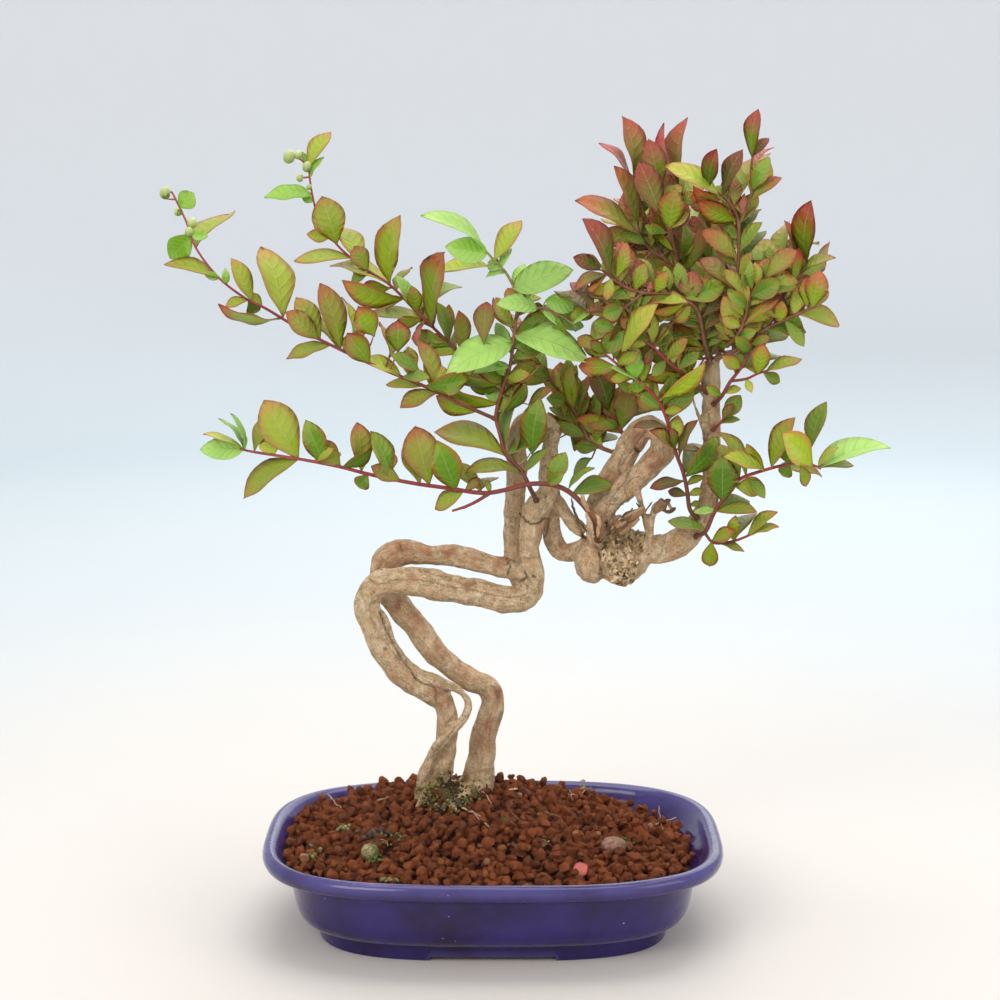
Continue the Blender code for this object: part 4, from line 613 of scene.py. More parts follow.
def spread(tree, value, low, high, to_low=0.0, to_high=1.0):
    """A value's range, low to high, stretched on to another."""
    node = add(tree, "MapRange", {"From Min": low, "From Max": high, "To Min": to_low, "To Max": to_high},
               {"Value": value})
    return node.outputs["Result"]


def calculate(tree, operation, first, second=0.0):
    """One sum on values or outputs."""
    node = add(tree, "Math", operation=operation)
    fill_sockets(tree, node, ((0, first), (1, second)))
    return node.outputs[0]


def laid_over(tree, below, above, mask, share):
    """A tone laid over another where a mask is, at a share of its strength."""
    return blend(tree, calculate(tree, "MULTIPLY", mask, share), below, above)


def new_group(name, inputs, outputs):
    """A shader node group with named sockets, and its own input and output nodes."""
    group = bpy.data.node_groups.new(name, "ShaderNodeTree")
    for direction, sockets in (("INPUT", inputs), ("OUTPUT", outputs)):
        for label, kind in sockets.items():
            group.interface.new_socket(name=label, in_out=direction, socket_type="NodeSocket" + kind)
    return group, group.nodes.new("NodeGroupInput"), group.nodes.new("NodeGroupOutput")


def use(tree, group, values=None, links=None):
    """A group placed in a material with its own values."""
    node = tree.nodes.new("ShaderNodeGroup")
    node.node_tree = group
    for socket, value in (values or {}).items():
        node.inputs[socket].default_value = value
    for socket, source in (links or {}).items():
        tree.links.new(source, node.inputs[socket])
    return node.outputs


def mottle_group():
    """Cloudy patches and a finer grain, as two masks."""
    group, given, made = new_group("mottle", {"Vector": "Vector", "Scale": "Float"},
                                   {"Patches": "Float", "Grain": "Float"})
    patches = add(group, "TexNoise", {"Detail": 4.0, "Roughness": 0.6},
                  {"Vector": given.outputs["Vector"], "Scale": given.outputs["Scale"]})
    finer = calculate(group, "MULTIPLY", given.outputs["Scale"], 5.0)
    grain = add(group, "TexNoise", {"Detail": 6.0, "Roughness": 0.7},
                {"Vector": given.outputs["Vector"], "Scale": finer})
    group.links.new(spread(group, patches.outputs["Fac"], 0.34, 0.66), made.inputs["Patches"])
    group.links.new(spread(group, grain.outputs["Fac"], 0.3, 0.7), made.inputs["Grain"])
    return group


def specks_group():
    """Small round specks in some cells of a net: their mask, and a tone that differs from one to the next."""
    group, given, made = new_group(
        "specks", {"Vector": "Vector", "Scale": "Float", "Size": "Float", "Share": "Float"},
        {"Specks": "Float", "Tone": "Float"})
    net = {"Vector": given.outputs["Vector"], "Scale": given.outputs["Scale"]}
    cells = add(group, "TexVoronoi", links=net)
    tone = add(group, "SeparateColor", links={"Color": cells.outputs["Color"]})
    size = calculate(group, "MULTIPLY", given.outputs["Size"], tone.outputs["Green"])
    inner = calculate(group, "MULTIPLY", size, 0.6)
    dot = add(group, "MapRange", {"To Min": 1.0, "To Max": 0.0},
              {"Value": cells.outputs["Distance"], "From Min": inner, "From Max": size})
    chosen = calculate(group, "LESS_THAN", tone.outputs["Red"], given.outputs["Share"])
    group.links.new(calculate(group, "MULTIPLY", dot.outputs["Result"], chosen), made.inputs["Specks"])
    group.links.new(tone.outputs["Blue"], made.inputs["Tone"])
    return group


def veins_group():
    """A leaf's rib and its side veins from its own map, along it and across it."""
    group, given, made = new_group("leaf_veins", {"Map": "Vector", "Count": "Float"},
                                   {"Rib": "Float", "Veins": "Float", "Height": "Float"})
    place = add(group, "SeparateXYZ", links={"Vector": given.outputs["Map"]})
    across = calculate(group, "ABSOLUTE", place.outputs["Y"])
    rib = add(group, "MapRange", {"From Min": 0.015, "From Max": 0.07, "To Min": 1.0, "To Max": 0.0},
              {"Value": across})
    bent = calculate(group, "POWER", across, 1.4)
    swept = calculate(group, "SUBTRACT", place.outputs["X"], calculate(group, "MULTIPLY", bent, 0.20))
    waves = calculate(group, "MULTIPLY", swept, given.outputs["Count"])
    pair = calculate(group, "ABSOLUTE", calculate(group, "SUBTRACT", calculate(group, "FRACT", waves), 0.5))
    veins = spread(group, pair, 0.02, 0.11, 1.0, 0.0)
    inside = calculate(group, "MULTIPLY", veins, spread(group, across, 0.78, 0.98, 1.0, 0.0))
    group.links.new(rib.outputs["Result"], made.inputs["Rib"])
    group.links.new(inside, made.inputs["Veins"])
    pillow = calculate(group, "MULTIPLY", spread(group, pair, 0.0, 0.5), 0.5)
    sunk = calculate(group, "ADD", calculate(group, "MULTIPLY", rib.outputs["Result"], 0.9), inside)
    group.links.new(calculate(group, "SUBTRACT", pillow, sunk), made.inputs["Height"])
    return group


MOTTLE = mottle_group()
SPECKS = specks_group()
VEINS = veins_group()


def new_material(name, roughness, sockets=None):
    """A material's tree, its shader, and the coordinates of the piece it is on."""
    made = bpy.data.materials.new(name)
    made.use_nodes = True
    tree = made.node_tree
    shader = tree.nodes["Principled BSDF"]
    shader.inputs["Roughness"].default_value = roughness
    for socket, value in (sockets or {}).items():
        shader.inputs[socket].default_value = value
    place = add(tree, "TexCoord").outputs["Object"]
    return made, tree, shader, place


def raise_surface(tree, shader, height, strength, distance):
    """Small relief from a height."""
    bump = add(tree, "Bump", {"Strength": strength, "Distance": distance}, {"Height": height})
    tree.links.new(bump.outputs["Normal"], shader.inputs["Normal"])


GLAZE_DEEP = shade(34, 18, 64)
GLAZE_BODY = shade(50, 36, 110)
GLAZE_THIN = shade(76, 68, 124)
GLAZE_SPECK = shade(205, 208, 228)
GLAZE_GLOSS = {"Specular IOR Level": 0.36, "Coat Weight": 0.2, "Coat Roughness": 0.06}
STONEWARE = shade(128, 88, 66)
STONEWARE_PALE = shade(158, 116, 88)
STONEWARE_SPECK = shade(88, 60, 48)
CLAY_DUST = shade(196, 122, 74)
CLAY_PORE = shade(78, 42, 26)
BARK_TAN = shade(214, 172, 126)
BARK_PALE = shade(254, 230, 192)
BARK_WARM = shade(222, 166, 120)
BARK_GREEN = shade(152, 142, 100)
BARK_LINE = shade(138, 106, 72)
BARK_DASH = shade(104, 78, 52)
# Painted highlight on the raised fine grain of the bark
BARK_PAINTED_HIGHLIGHT = shade(250, 232, 202)
BARK_FLECK = shade(90, 66, 46)
# Ruddy bark, also the painted shade on the rear trunk and the looped stem
BARK_RUDDY_AND_PAINTED_SHADE = shade(160, 104, 74)
BARK_RUDDY_AND_PAINTED_SHADE_PALE = shade(214, 156, 120)
# Raw wood, also the painted light on the right stem under the crown
WOOD_RAW_AND_PAINTED_LIGHT = shade(192, 146, 98)
WOOD_RAW_AND_PAINTED_LIGHT_PALE = shade(244, 220, 176)
# Dark of the cracks, also the painted shade in the pits of the cut burl
WOOD_CRACK_AND_PIT_SHADE = shade(60, 38, 26)
MOSS_DARK = shade(54, 46, 20)
MOSS_LIGHT = shade(160, 144, 76)
LEAF_SHADE = shade(60, 66, 26)
LEAF_VEIN = shade(196, 198, 128)


def glaze_material():
    """Deep blue glaze: lighter where it runs thin over the lip, with pinholes and a few pale specks."""
    made, tree, shader, place = new_material("blue_glaze", 0.2, GLAZE_GLOSS)
    marks = add(tree, "Attribute", attribute_name="marks").outputs["Color"]
    thin = add(tree, "SeparateColor", links={"Color": marks}).outputs["Red"]
    cloud = use(tree, MOTTLE, {"Scale": 26.0}, {"Vector": place})
    dots = use(tree, SPECKS, {"Scale": 330.0, "Size": 0.18, "Share": 0.06}, {"Vector": place})
    body = blend(tree, cloud["Patches"], GLAZE_DEEP, GLAZE_BODY)
    ragged = calculate(tree, "MULTIPLY", thin, spread(tree, cloud["Patches"], 0.0, 1.0, 0.55, 1.15))
    worn = blend(tree, ragged, body, GLAZE_THIN)
    speckled = laid_over(tree, worn, GLAZE_SPECK, dots["Specks"], 0.55)
    tree.links.new(speckled, shader.inputs["Base Color"])
    tree.links.new(spread(tree, cloud["Grain"], 0.0, 1.0, 0.10, 0.24), shader.inputs["Roughness"])
    raise_surface(tree, shader, cloud["Patches"], 0.25, 0.0012)
    return made


def stoneware_material():
    """Bare fired clay under the pot."""
    made, tree, shader, place = new_material("bare_stoneware", 0.85)
    cloud = use(tree, MOTTLE, {"Scale": 60.0}, {"Vector": place})
    dots = use(tree, SPECKS, {"Scale": 400.0, "Size": 0.45, "Share": 0.25}, {"Vector": place})
    body = blend(tree, cloud["Patches"], STONEWARE, STONEWARE_PALE)
    tree.links.new(blend(tree, dots["Specks"], body, STONEWARE_SPECK), shader.inputs["Base Color"])
    raise_surface(tree, shader, cloud["Grain"], 0.5, 0.0006)
    return made


def grain_material():
    """Baked clay grains: each has its own tone, with dust and pores."""
    made, tree, shader, place = new_material("baked_clay_grains", 0.95, {"Specular IOR Level": 0.2})
    tone = add(tree, "Attribute", attribute_name="tone").outputs["Color"]
    cloud = use(tree, MOTTLE, {"Scale": 620.0}, {"Vector": place})
    pores = use(tree, SPECKS, {"Scale": 1500.0, "Size": 0.5, "Share": 0.35}, {"Vector": place})
    dusted = blend(tree, spread(tree, cloud["Patches"], 0.3, 1.0, 0.0, 0.26), tone, CLAY_DUST)
    pored = laid_over(tree, dusted, CLAY_PORE, pores["Specks"], 0.4)
    tree.links.new(pored, shader.inputs["Base Color"])
    rough = calculate(tree, "SUBTRACT", cloud["Grain"], pores["Specks"])
    raise_surface(tree, shader, rough, 1.0, 0.0012)
    return made


def mottled_bark(tree, broad, fine, strands, flecks):
    """Clean bark: pale and brown mottling, grey-green patches, fine lines, dark dashes and flecks, with
    painted highlights on the tops of the fine grain.
    """
    tan = blend(tree, fine["Patches"], BARK_TAN, BARK_PALE)
    warm = laid_over(tree, tan, BARK_WARM, broad["Patches"], 0.45)
    green_mask = calculate(tree, "MULTIPLY", spread(tree, broad["Grain"], 0.40, 0.70), strands["Patches"])
    green = laid_over(tree, warm, BARK_GREEN, green_mask, 0.75)
    lined = blend(tree, spread(tree, strands["Grain"], 0.42, 0.10, 0.0, 0.8), green, BARK_LINE)
    dashed = blend(tree, spread(tree, fine["Grain"], 0.32, 0.08, 0.0, 0.7), lined, BARK_DASH)
    # Painted highlight: paler where the fine grain stands highest in the bump
    highlighted = blend(tree, spread(tree, fine["Grain"], 0.62, 0.92, 0.0, 0.7), dashed, BARK_PAINTED_HIGHLIGHT)
    return laid_over(tree, highlighted, BARK_FLECK, flecks["Specks"], 0.4)


def bark_material():
    """Tan bark, with the ruddy streaks, raw wood, cracks and moss that the wood's own marks place, and the
    painted light and shade that they carry too: shade in the burl's pits, light on the right stem under the
    crown, shade on the rear trunk and the looped stem.
    """
    made, tree, shader, place = new_material("tan_bark", 0.78, {"Specular IOR Level": 0.3})
    drawn_out = add(tree, "Attribute", attribute_name="grain").outputs["Vector"]
    own_marks = add(tree, "Attribute", attribute_name="marks")
    marks = add(tree, "SeparateColor", links={"Color": own_marks.outputs["Color"]})
    broad = use(tree, MOTTLE, {"Scale": 60.0}, {"Vector": place})
    fine = use(tree, MOTTLE, {"Scale": 230.0}, {"Vector": place})
    strands = use(tree, MOTTLE, {"Scale": 240.0}, {"Vector": drawn_out})
    flecks = use(tree, SPECKS, {"Scale": 560.0, "Size": 0.5, "Share": 0.12}, {"Vector": place})
    clean = mottled_bark(tree, broad, fine, strands, flecks)
    # Ruddy streaks, and painted shade on the rear trunk and the looped stem
    ruddy_and_shade_tone = blend(tree, fine["Patches"], BARK_RUDDY_AND_PAINTED_SHADE, BARK_RUDDY_AND_PAINTED_SHADE_PALE)
    streaked = spread(tree, strands["Patches"], 0.2, 0.7, 0.35, 0.85)
    ruddy_and_shade = laid_over(tree, clean, ruddy_and_shade_tone, marks.outputs["Blue"], streaked)
    # Raw wood, and painted light on the right stem under the crown
    raw_and_painted_light_tone = blend(tree, strands["Patches"], WOOD_RAW_AND_PAINTED_LIGHT, WOOD_RAW_AND_PAINTED_LIGHT_PALE)
    raw_and_painted_light = blend(tree, marks.outputs["Green"], ruddy_and_shade, raw_and_painted_light_tone)
    # The cracks, and painted shade in the pits of the cut burl
    cracked_and_pit_shaded = blend(tree, marks.outputs["Red"], raw_and_painted_light, WOOD_CRACK_AND_PIT_SHADE)
    moss_tone = blend(tree, fine["Patches"], MOSS_DARK, MOSS_LIGHT)
    moss_mask = calculate(tree, "SUBTRACT", 1.0, own_marks.outputs["Alpha"])
    mossy = laid_over(tree, cracked_and_pit_shaded, moss_tone, moss_mask, spread(tree, fine["Grain"], 0.25, 0.55))
    tree.links.new(mossy, shader.inputs["Base Color"])
    height = calculate(tree, "ADD", calculate(tree, "MULTIPLY", strands["Patches"], 1.2), fine["Grain"])
    raise_surface(tree, shader, calculate(tree, "SUBTRACT", height, flecks["Specks"]), 0.9, 0.0008)
    return made


def leaf_material():
    """Leaf: its own tones, lighter rib and side veins, pillowed between them, with a soft gloss."""
    made, tree, shader, place = new_material("leaf_skin", 0.42, {"Specular IOR Level": 0.22})
    tone = add(tree, "Attribute", attribute_name="tone").outputs["Color"]
    own_map = add(tree, "UVMap", uv_map="leaf_map").outputs["UV"]
    veins = use(tree, VEINS, {"Count": 7.0}, {"Map": own_map})
    cloud = use(tree, MOTTLE, {"Scale": 170.0}, {"Vector": place})
    shaded = blend(tree, 0.5, tone, LEAF_SHADE)
    darker = laid_over(tree, tone, shaded, cloud["Patches"], 0.22)
    paler = blend(tree, 0.5, tone, LEAF_VEIN)
    veined = laid_over(tree, darker, paler, veins["Veins"], 0.16)
    ribbed = laid_over(tree, veined, paler, veins["Rib"], 0.50)
    tree.links.new(ribbed, shader.inputs["Base Color"])
    tree.links.new(spread(tree, cloud["Grain"], 0.0, 1.0, 0.34, 0.52), shader.inputs["Roughness"])
    raise_surface(tree, shader, veins["Height"], 0.45, 0.0007)
    return made


def toned_material(name, roughness, scale, dark, relief):
    """A material that takes its tone from the piece, with patches and grain, such as young bark or moss."""
    made, tree, shader, place = new_material(name, roughness)
    tone = add(tree, "Attribute", attribute_name="tone").outputs["Color"]
    cloud = use(tree, MOTTLE, {"Scale": scale}, {"Vector": place})
    patched = laid_over(tree, tone, dark, cloud["Patches"], 0.6)
    tree.links.new(patched, shader.inputs["Base Color"])
    raise_surface(tree, shader, cloud["Grain"], 0.5, relief)
    return made


MATERIALS = {
    "glaze": glaze_material(),
    "stoneware": stoneware_material(),
    "grains": grain_material(),
    "bark": bark_material(),
    "leaf": leaf_material(),
    "twig": toned_material("young_twig_bark", 0.5, 300.0, shade(84, 46, 34), 0.0003),
    "stone": toned_material("weathered_stone", 0.7, 260.0, shade(120, 92, 70), 0.0004),
    "moss": toned_material("moss_tufts", 0.9, 700.0, shade(46, 44, 24), 0.0006),
    "flake": toned_material("torn_wood", 0.8, 500.0, shade(150, 114, 76), 0.0006),
}


# Pieces


def to_piece(bm, name, finishes, replaced=(), slot=None):
    """A shown piece of the object from a bmesh, which rides with the root body."""
    piece = new_object(name, mesh_from(bm, name))
    for finish in finishes:
        piece.data.materials.append(MATERIALS[finish])
    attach(piece, "root")
    if replaced:
        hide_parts(*replaced)
    return piece


SHARP_ANGLE = math.radians(40)
ALL_SMOOTH = math.radians(180)


def smooth_faces(bm, sharp_angle=SHARP_ANGLE):
    """Smooth shading, with the edges sharp that bend more than this."""
    for face in bm.faces:
        face.smooth = True
    for edge in bm.edges:
        edge.smooth = edge.calc_face_angle(0) < sharp_angle


def evaluated(item):
    """Puts an object's evaluated mesh in place of its own, and drops its modifiers."""
    graph = bpy.context.evaluated_depsgraph_get()
    mesh = bpy.data.meshes.new_from_object(item.evaluated_get(graph))
    item.modifiers.clear()
    item.data = mesh


def hose(routes, sides_level, name):
    """A mesh of round hoses along centres with radii, made from curves."""
    curve = bpy.data.curves.new(name, "CURVE")
    curve.dimensions = "3D"
    curve.bevel_depth = 1
    curve.bevel_resolution = sides_level
    curve.use_fill_caps = True
    for centres, radii in routes:
        spline = curve.splines.new("POLY")
        spline.points.add(len(centres) - 1)
        for point, centre, radius in zip(spline.points, centres, radii):
            point.co = (*centre, 1)
            point.radius = radius
    holder = new_object(name, curve)
    graph = bpy.context.evaluated_depsgraph_get()
    mesh = bpy.data.meshes.new_from_object(holder.evaluated_get(graph))
    bpy.data.objects.remove(holder)
    return mesh


def add_hose(bm, tone_layer, centres, thick, tone_of_face):
    """One thin hose, with a tone for each of its faces."""
    first = len(bm.faces)
    bm.from_mesh(hose([(centres, thick)], 1, "thin_hose"))
    bm.faces.ensure_lookup_table()
    for face in bm.faces[first:]:
        tone = tone_of_face()
        for loop in face.loops:
            loop[tone_layer] = (*tone, 1)


def unit_wall(stations, segments, capped):
    """Rings of a unit circle stacked one apart, one for each station, with a lid where asked for."""
    bm = bmesh.new()
    bmesh.ops.create_circle(bm, segments=segments, radius=1, cap_ends="first" in capped)
    ring = bm.edges[:]
    for _ in range(stations - 1):
        made = bmesh.ops.extrude_edge_only(bm, edges=ring)["geom"]
        ring = [item for item in made if isinstance(item, bmesh.types.BMEdge)]
        bmesh.ops.translate(bm, vec=(0, 0, 1), verts=[v for v in made if isinstance(v, bmesh.types.BMVert)])
    if "last" in capped:
        top = [e for e in bm.edges if all(round(v.co.z) == stations - 1 for v in e.verts)]
        bmesh.ops.edgeloop_fill(bm, edges=top)
    return bm


# Pot and soil


POT_WAVE = 0.0003
POT_WAVES = 2
POT_EDGE_ANGLE = math.radians(32)
DRAIN_SIDES = 32
LIP_THIN_HEIGHT = 0.0460
LIP_THIN_REACH = 0.0055
LIP_THIN_INSET = 0.0110
STEP_THIN_HEIGHT = 0.0080
STEP_THIN_REACH = 0.0012
STEP_THIN_SHARE = 0.5
BARE_CLAY_TOP = 0.0030
BARE_CLAY_FACING = -0.9
SOIL_BED_RINGS = 60
SOIL_BED_SIDES = 160
SOIL_CRUMB_SCALE = 420
SOIL_CRUMB_RELIEF = 0.0007
SOIL_BED_SINK = 0.0020
# Dark soil between the grains, partly painted shade of the gaps there
SOIL_BED_AND_GAP_SHADE_TONE = shade(44, 24, 16)
GRAIN_RED = light_of(168, 93, 56)
GRAIN_ORANGE = light_of(196, 122, 70)
GRAIN_ORANGE_SHARE = 0.04
GRAIN_DARK = light_of(132, 76, 52)
GRAIN_DARK_SHARE = 0.14
GRAIN_BRIGHTNESS = (0.62, 1.28)
GRAIN_SHAPES = 16
GRAIN_CORNERS = 26
GRAIN_REACH = (0.40, 0.56)
GRAIN_EDGE_ANGLE = math.radians(38)
GRAIN_PITCH = 0.0050
GRAIN_ROW_SHARE = 0.866
GRAIN_JITTER = 0.0014
GRAIN_SIZE = (0.0042, 0.0080)
GRAIN_LIFT = (-0.0024, 0.0010)
GRAIN_SQUASH = ((0.75, 1.1), (0.7, 1.0))
GRAIN_LOOSE_SHARE = 0.38
LOOSE_RISE = 0.55
LOOSE_SIZE = (0.6, 0.95)


def oval_point(angle, inset, height):
    """A point of the pot's oval, drawn in from its rim by an inset, at a height."""
    across, back = math.cos(angle), math.sin(angle)
    return Vector((
        (POT_LENGTH / 2 - inset) * math.copysign(abs(across) ** (2 / POT_SQUARENESS), across),
        (POT_WIDTH / 2 - inset) * math.copysign(abs(back) ** (2 / POT_SQUARENESS), back),
        height,
    ))


def rounded(profile):
    """A profile with each corner rounded by its own radius."""
    points = []
    for k, (inset, height, radius) in enumerate(profile):
        corner = Vector((inset, height))
        if not radius:
            points.append(corner)
            continue
        arms = []
        for other in (profile[k - 1], profile[(k + 1) % len(profile)]):
            arm = Vector(other[:2]) - corner
            arms.append(arm.normalized() * min(radius, arm.length * CORNER_ARM))
        for step in range(CORNER_STEPS + 1):
            t = step / CORNER_STEPS
            points.append(corner + arms[0] * (1 - t) ** 2 + arms[1] * t ** 2)
    return points


def thin_glaze(height, middle, reach):
    """How thin the glaze runs at a height, most at the middle of an edge."""
    return max(0.0, 1 - abs(height - middle) / reach)


def pot_wall():
    """The pot's wall and floor with its rolled lip, step and plinth, before anything is cut from it."""
    profile = rounded(POT_PROFILE)
    bm = unit_wall(len(profile), POT_SEGMENTS, ("first", "last"))
    marks = bm.verts.layers.float_color.new("marks")
    for vert in bm.verts:
        inset, height = profile[round(vert.co.z)]
        angle = math.atan2(vert.co.y, vert.co.x)
        way = Vector((math.cos(angle), math.sin(angle), 0))
        vert.co = oval_point(angle, inset, height)
        vert.co.z += POT_WAVE * noise.noise(way * POT_WAVES) * height / POT_HEIGHT
        lip = thin_glaze(height, LIP_THIN_HEIGHT, LIP_THIN_REACH) if inset < LIP_THIN_INSET else 0.0
        step = thin_glaze(height, STEP_THIN_HEIGHT, STEP_THIN_REACH) * STEP_THIN_SHARE
        vert[marks] = (max(lip, step), 0, 0, 1)
    bmesh.ops.recalc_face_normals(bm, faces=bm.faces[:])
    return new_object("pot_wall", mesh_from(bm, "pot_wall"))


def pot_cutters():
    """What is cut from the pot: two bars that leave its four feet, and its two drain holes."""
    cutters = []
    for length, width in ((FOOT_GAP_FRONT, POT_WIDTH), (POT_LENGTH, FOOT_GAP_END)):
        cutter = bmesh.new()
        bmesh.ops.create_cube(cutter, size=1)
        bmesh.ops.scale(cutter, vec=(length, width, 2 * FOOT_HEIGHT), verts=cutter.verts[:])
        cutters.append(cutter)
    for side in (-1, 1):
        cutter = bmesh.new()
        bmesh.ops.create_cone(cutter, cap_ends=True, segments=DRAIN_SIDES, radius1=DRAIN_RADIUS,
                              radius2=DRAIN_RADIUS, depth=4 * FLOOR_TOP)
        bmesh.ops.translate(cutter, vec=(side * DRAIN_OFFSET, 0, 0), verts=cutter.verts[:])
        cutters.append(cutter)
    names = [f"pot_cut_{number}" for number in range(len(cutters))]
    return [new_object(name, mesh_from(cutter, name)) for name, cutter in zip(names, cutters)]


def cut_away(holder, cutters):
    """Takes the cutters out of an object, and removes them."""
    for cutter in cutters:
        difference = holder.modifiers.new(cutter.name, "BOOLEAN")
        difference.operation = "DIFFERENCE"
        difference.solver = "EXACT"
        difference.object = cutter
    evaluated(holder)
    for cutter in cutters:
        bpy.data.objects.remove(cutter)


def build_pot():
    """The glazed pot, with bare clay under its feet and floor."""
    holder = pot_wall()
    cut_away(holder, pot_cutters())
    bm = taken_back(holder)
    for face in bm.faces:
        under = face.normal.z < BARE_CLAY_FACING and face.calc_center_median().z < BARE_CLAY_TOP
        face.material_index = 1 if under else 0
    smooth_faces(bm, POT_EDGE_ANGLE)
    to_piece(bm, "glazed_pot", ("glaze", "stoneware"), ("pot",), "glaze")


def wall_inset(height):
    """The inset of the cavity's wall at a height."""
    for (inset, high), (low_inset, low) in zip(CAVITY_WALL, CAVITY_WALL[1:]):
        if height >= low:
            return low_inset + (inset - low_inset) * min(1.0, (height - low) / (high - low))
    return CAVITY_WALL[-1][0]


def soil_edge(angle):
    """The point where the soil's surface meets the cavity's wall."""
    point = oval_point(angle, CAVITY_WALL[0][0], 0)
    height = min(soil_height(point.x, point.y), CAVITY_WALL[0][1])
    return oval_point(angle, wall_inset(height) + SOIL_MARGIN, height)


def build_soil_bed():
    """The fine crumbs between and under the grains, closed below along the cavity. Their very dark tone is
    the soil's own and partly painted shade of the gaps between the grains.
    """
    below = [(inset + SOIL_MARGIN, height + GAP) for inset, height in CAVITY_WALL[:1:-1]]
    below.append((CAVITY_WALL[1][0] + SOIL_MARGIN, CAVITY_WALL[1][1] - GAP))
    bm = unit_wall(len(below) + SOIL_BED_RINGS, SOIL_BED_SIDES, ("first", "last"))
    tone = bm.verts.layers.float_color.new("tone")
    for vert in bm.verts:
        station = round(vert.co.z)
        angle = math.atan2(vert.co.y, vert.co.x)
        if station < len(below):
            vert.co = oval_point(angle, *below[station])
        else:
            share = 1 - (station - len(below)) / SOIL_BED_RINGS
            place = soil_edge(angle) * share
            crumbs = noise.noise(Vector((place.x, place.y, 0)) * SOIL_CRUMB_SCALE) * SOIL_CRUMB_RELIEF
            vert.co = (place.x, place.y, soil_height(place.x, place.y) - SOIL_BED_SINK * share + crumbs)
        vert[tone] = SOIL_BED_AND_GAP_SHADE_TONE
    smooth_faces(bm)
    bmesh.ops.recalc_face_normals(bm, faces=bm.faces[:])
    to_piece(bm, "soil_bed", ("grains",), ("soil",), "clay_grains")


def grain_shapes(count, draw):
    """A few different angular lumps of baked clay, about one across."""
    shapes = []
    for number in range(count):
        bm = bmesh.new()
        for _ in range(GRAIN_CORNERS):
            way = Vector((draw.gauss(0, 1), draw.gauss(0, 1), draw.gauss(0, 1))).normalized()
            bm.verts.new(way * draw.uniform(*GRAIN_REACH))
        bmesh.ops.convex_hull(bm, input=bm.verts[:])
        bmesh.ops.delete(bm, geom=[vert for vert in bm.verts if not vert.link_faces], context="VERTS")
        smooth_faces(bm, GRAIN_EDGE_ANGLE)
        shapes.append(mesh_from(bm, f"grain_shape_{number}"))
    return shapes


def scatter(shapes, places, name, finish, slot):
    """One piece of many copies: (matrix, tone) each, of shapes in turn."""
    bm = bmesh.new()
    tone_layer = bm.verts.layers.float_color.new("tone")
    for number, (matrix, tone) in enumerate(places):
        start = len(bm.verts)
        bm.from_mesh(shapes[number % len(shapes)])
        bm.verts.ensure_lookup_table()
        for vert in bm.verts[start:]:
            vert.co = matrix @ vert.co
            vert[tone_layer] = tone
    return to_piece(bm, name, (finish,), slot=slot)


def turned(draw):
    """A random turn."""
    return Quaternion((draw.gauss(0, 1), draw.gauss(0, 1), draw.gauss(0, 1), draw.gauss(0, 1))).normalized()


def grain_tone(draw):
    """One grain's tone: red-brown as a rule, now and then orange or dark."""
    kind = draw.random()
    base = GRAIN_RED
    if kind < GRAIN_ORANGE_SHARE:
        base = GRAIN_ORANGE
    elif kind > 1 - GRAIN_DARK_SHARE:
        base = GRAIN_DARK
    return (*(base * draw.uniform(*GRAIN_BRIGHTNESS)), 1)


def inside_soil(x, y, margin):
    """Whether a place on the soil lies inside its edge by a margin."""
    edge = soil_edge(math.atan2(y / POT_WIDTH, x / POT_LENGTH))
    share_x = abs(x) / (POT_LENGTH / 2 - wall_inset(edge.z) - margin)
    share_y = abs(y) / (POT_WIDTH / 2 - wall_inset(edge.z) - margin)
    return share_x ** POT_SQUARENESS + share_y ** POT_SQUARENESS < 1


def grain_spots(draw):
    """Where grains may lie, in staggered rows that are shaken a little."""
    row_pitch = GRAIN_PITCH * GRAIN_ROW_SHARE
    for row in range(int(POT_WIDTH / row_pitch) + 1):
        for column in range(int(POT_LENGTH / GRAIN_PITCH) + 1):
            x = (column + 0.5 * (row % 2)) * GRAIN_PITCH - POT_LENGTH / 2 + draw.uniform(-1, 1) * GRAIN_JITTER
            y = row * row_pitch - POT_WIDTH / 2 + draw.uniform(-1, 1) * GRAIN_JITTER
            yield x, y


def build_grains():
    """The baked clay grains: a full layer over the soil, and looser ones on top."""
    draw = random.Random(11)
    shapes = grain_shapes(GRAIN_SHAPES, draw)
    layers = {"clay_grains": [], "clay_grains_loose": []}
    for x, y in grain_spots(draw):
        size = draw.uniform(*GRAIN_SIZE)
        loose = draw.random() < GRAIN_LOOSE_SHARE
        lift = draw.uniform(*GRAIN_LIFT)
        turn = turned(draw)
        tone = grain_tone(draw)
        if not inside_soil(x, y, size * 0.5):
            continue
        place = Vector((x, y, soil_height(x, y) + lift))
        squash = Vector((size, size * draw.uniform(*GRAIN_SQUASH[0]), size * draw.uniform(*GRAIN_SQUASH[1])))
        layers["clay_grains"].append((Matrix.LocRotScale(place, turn, squash), tone))
        if loose:
            nudge = Vector((draw.uniform(-1, 1), draw.uniform(-1, 1), 0)) * GRAIN_PITCH * 0.5
            nudge.z = size * LOOSE_RISE
            small = squash * draw.uniform(*LOOSE_SIZE)
            upper = Matrix.LocRotScale(place + nudge, turned(draw), small)
            layers["clay_grains_loose"].append((upper, grain_tone(draw)))
    for name, places in layers.items():
        scatter(shapes, places, name, "grains", "clay_grains")


# Wood


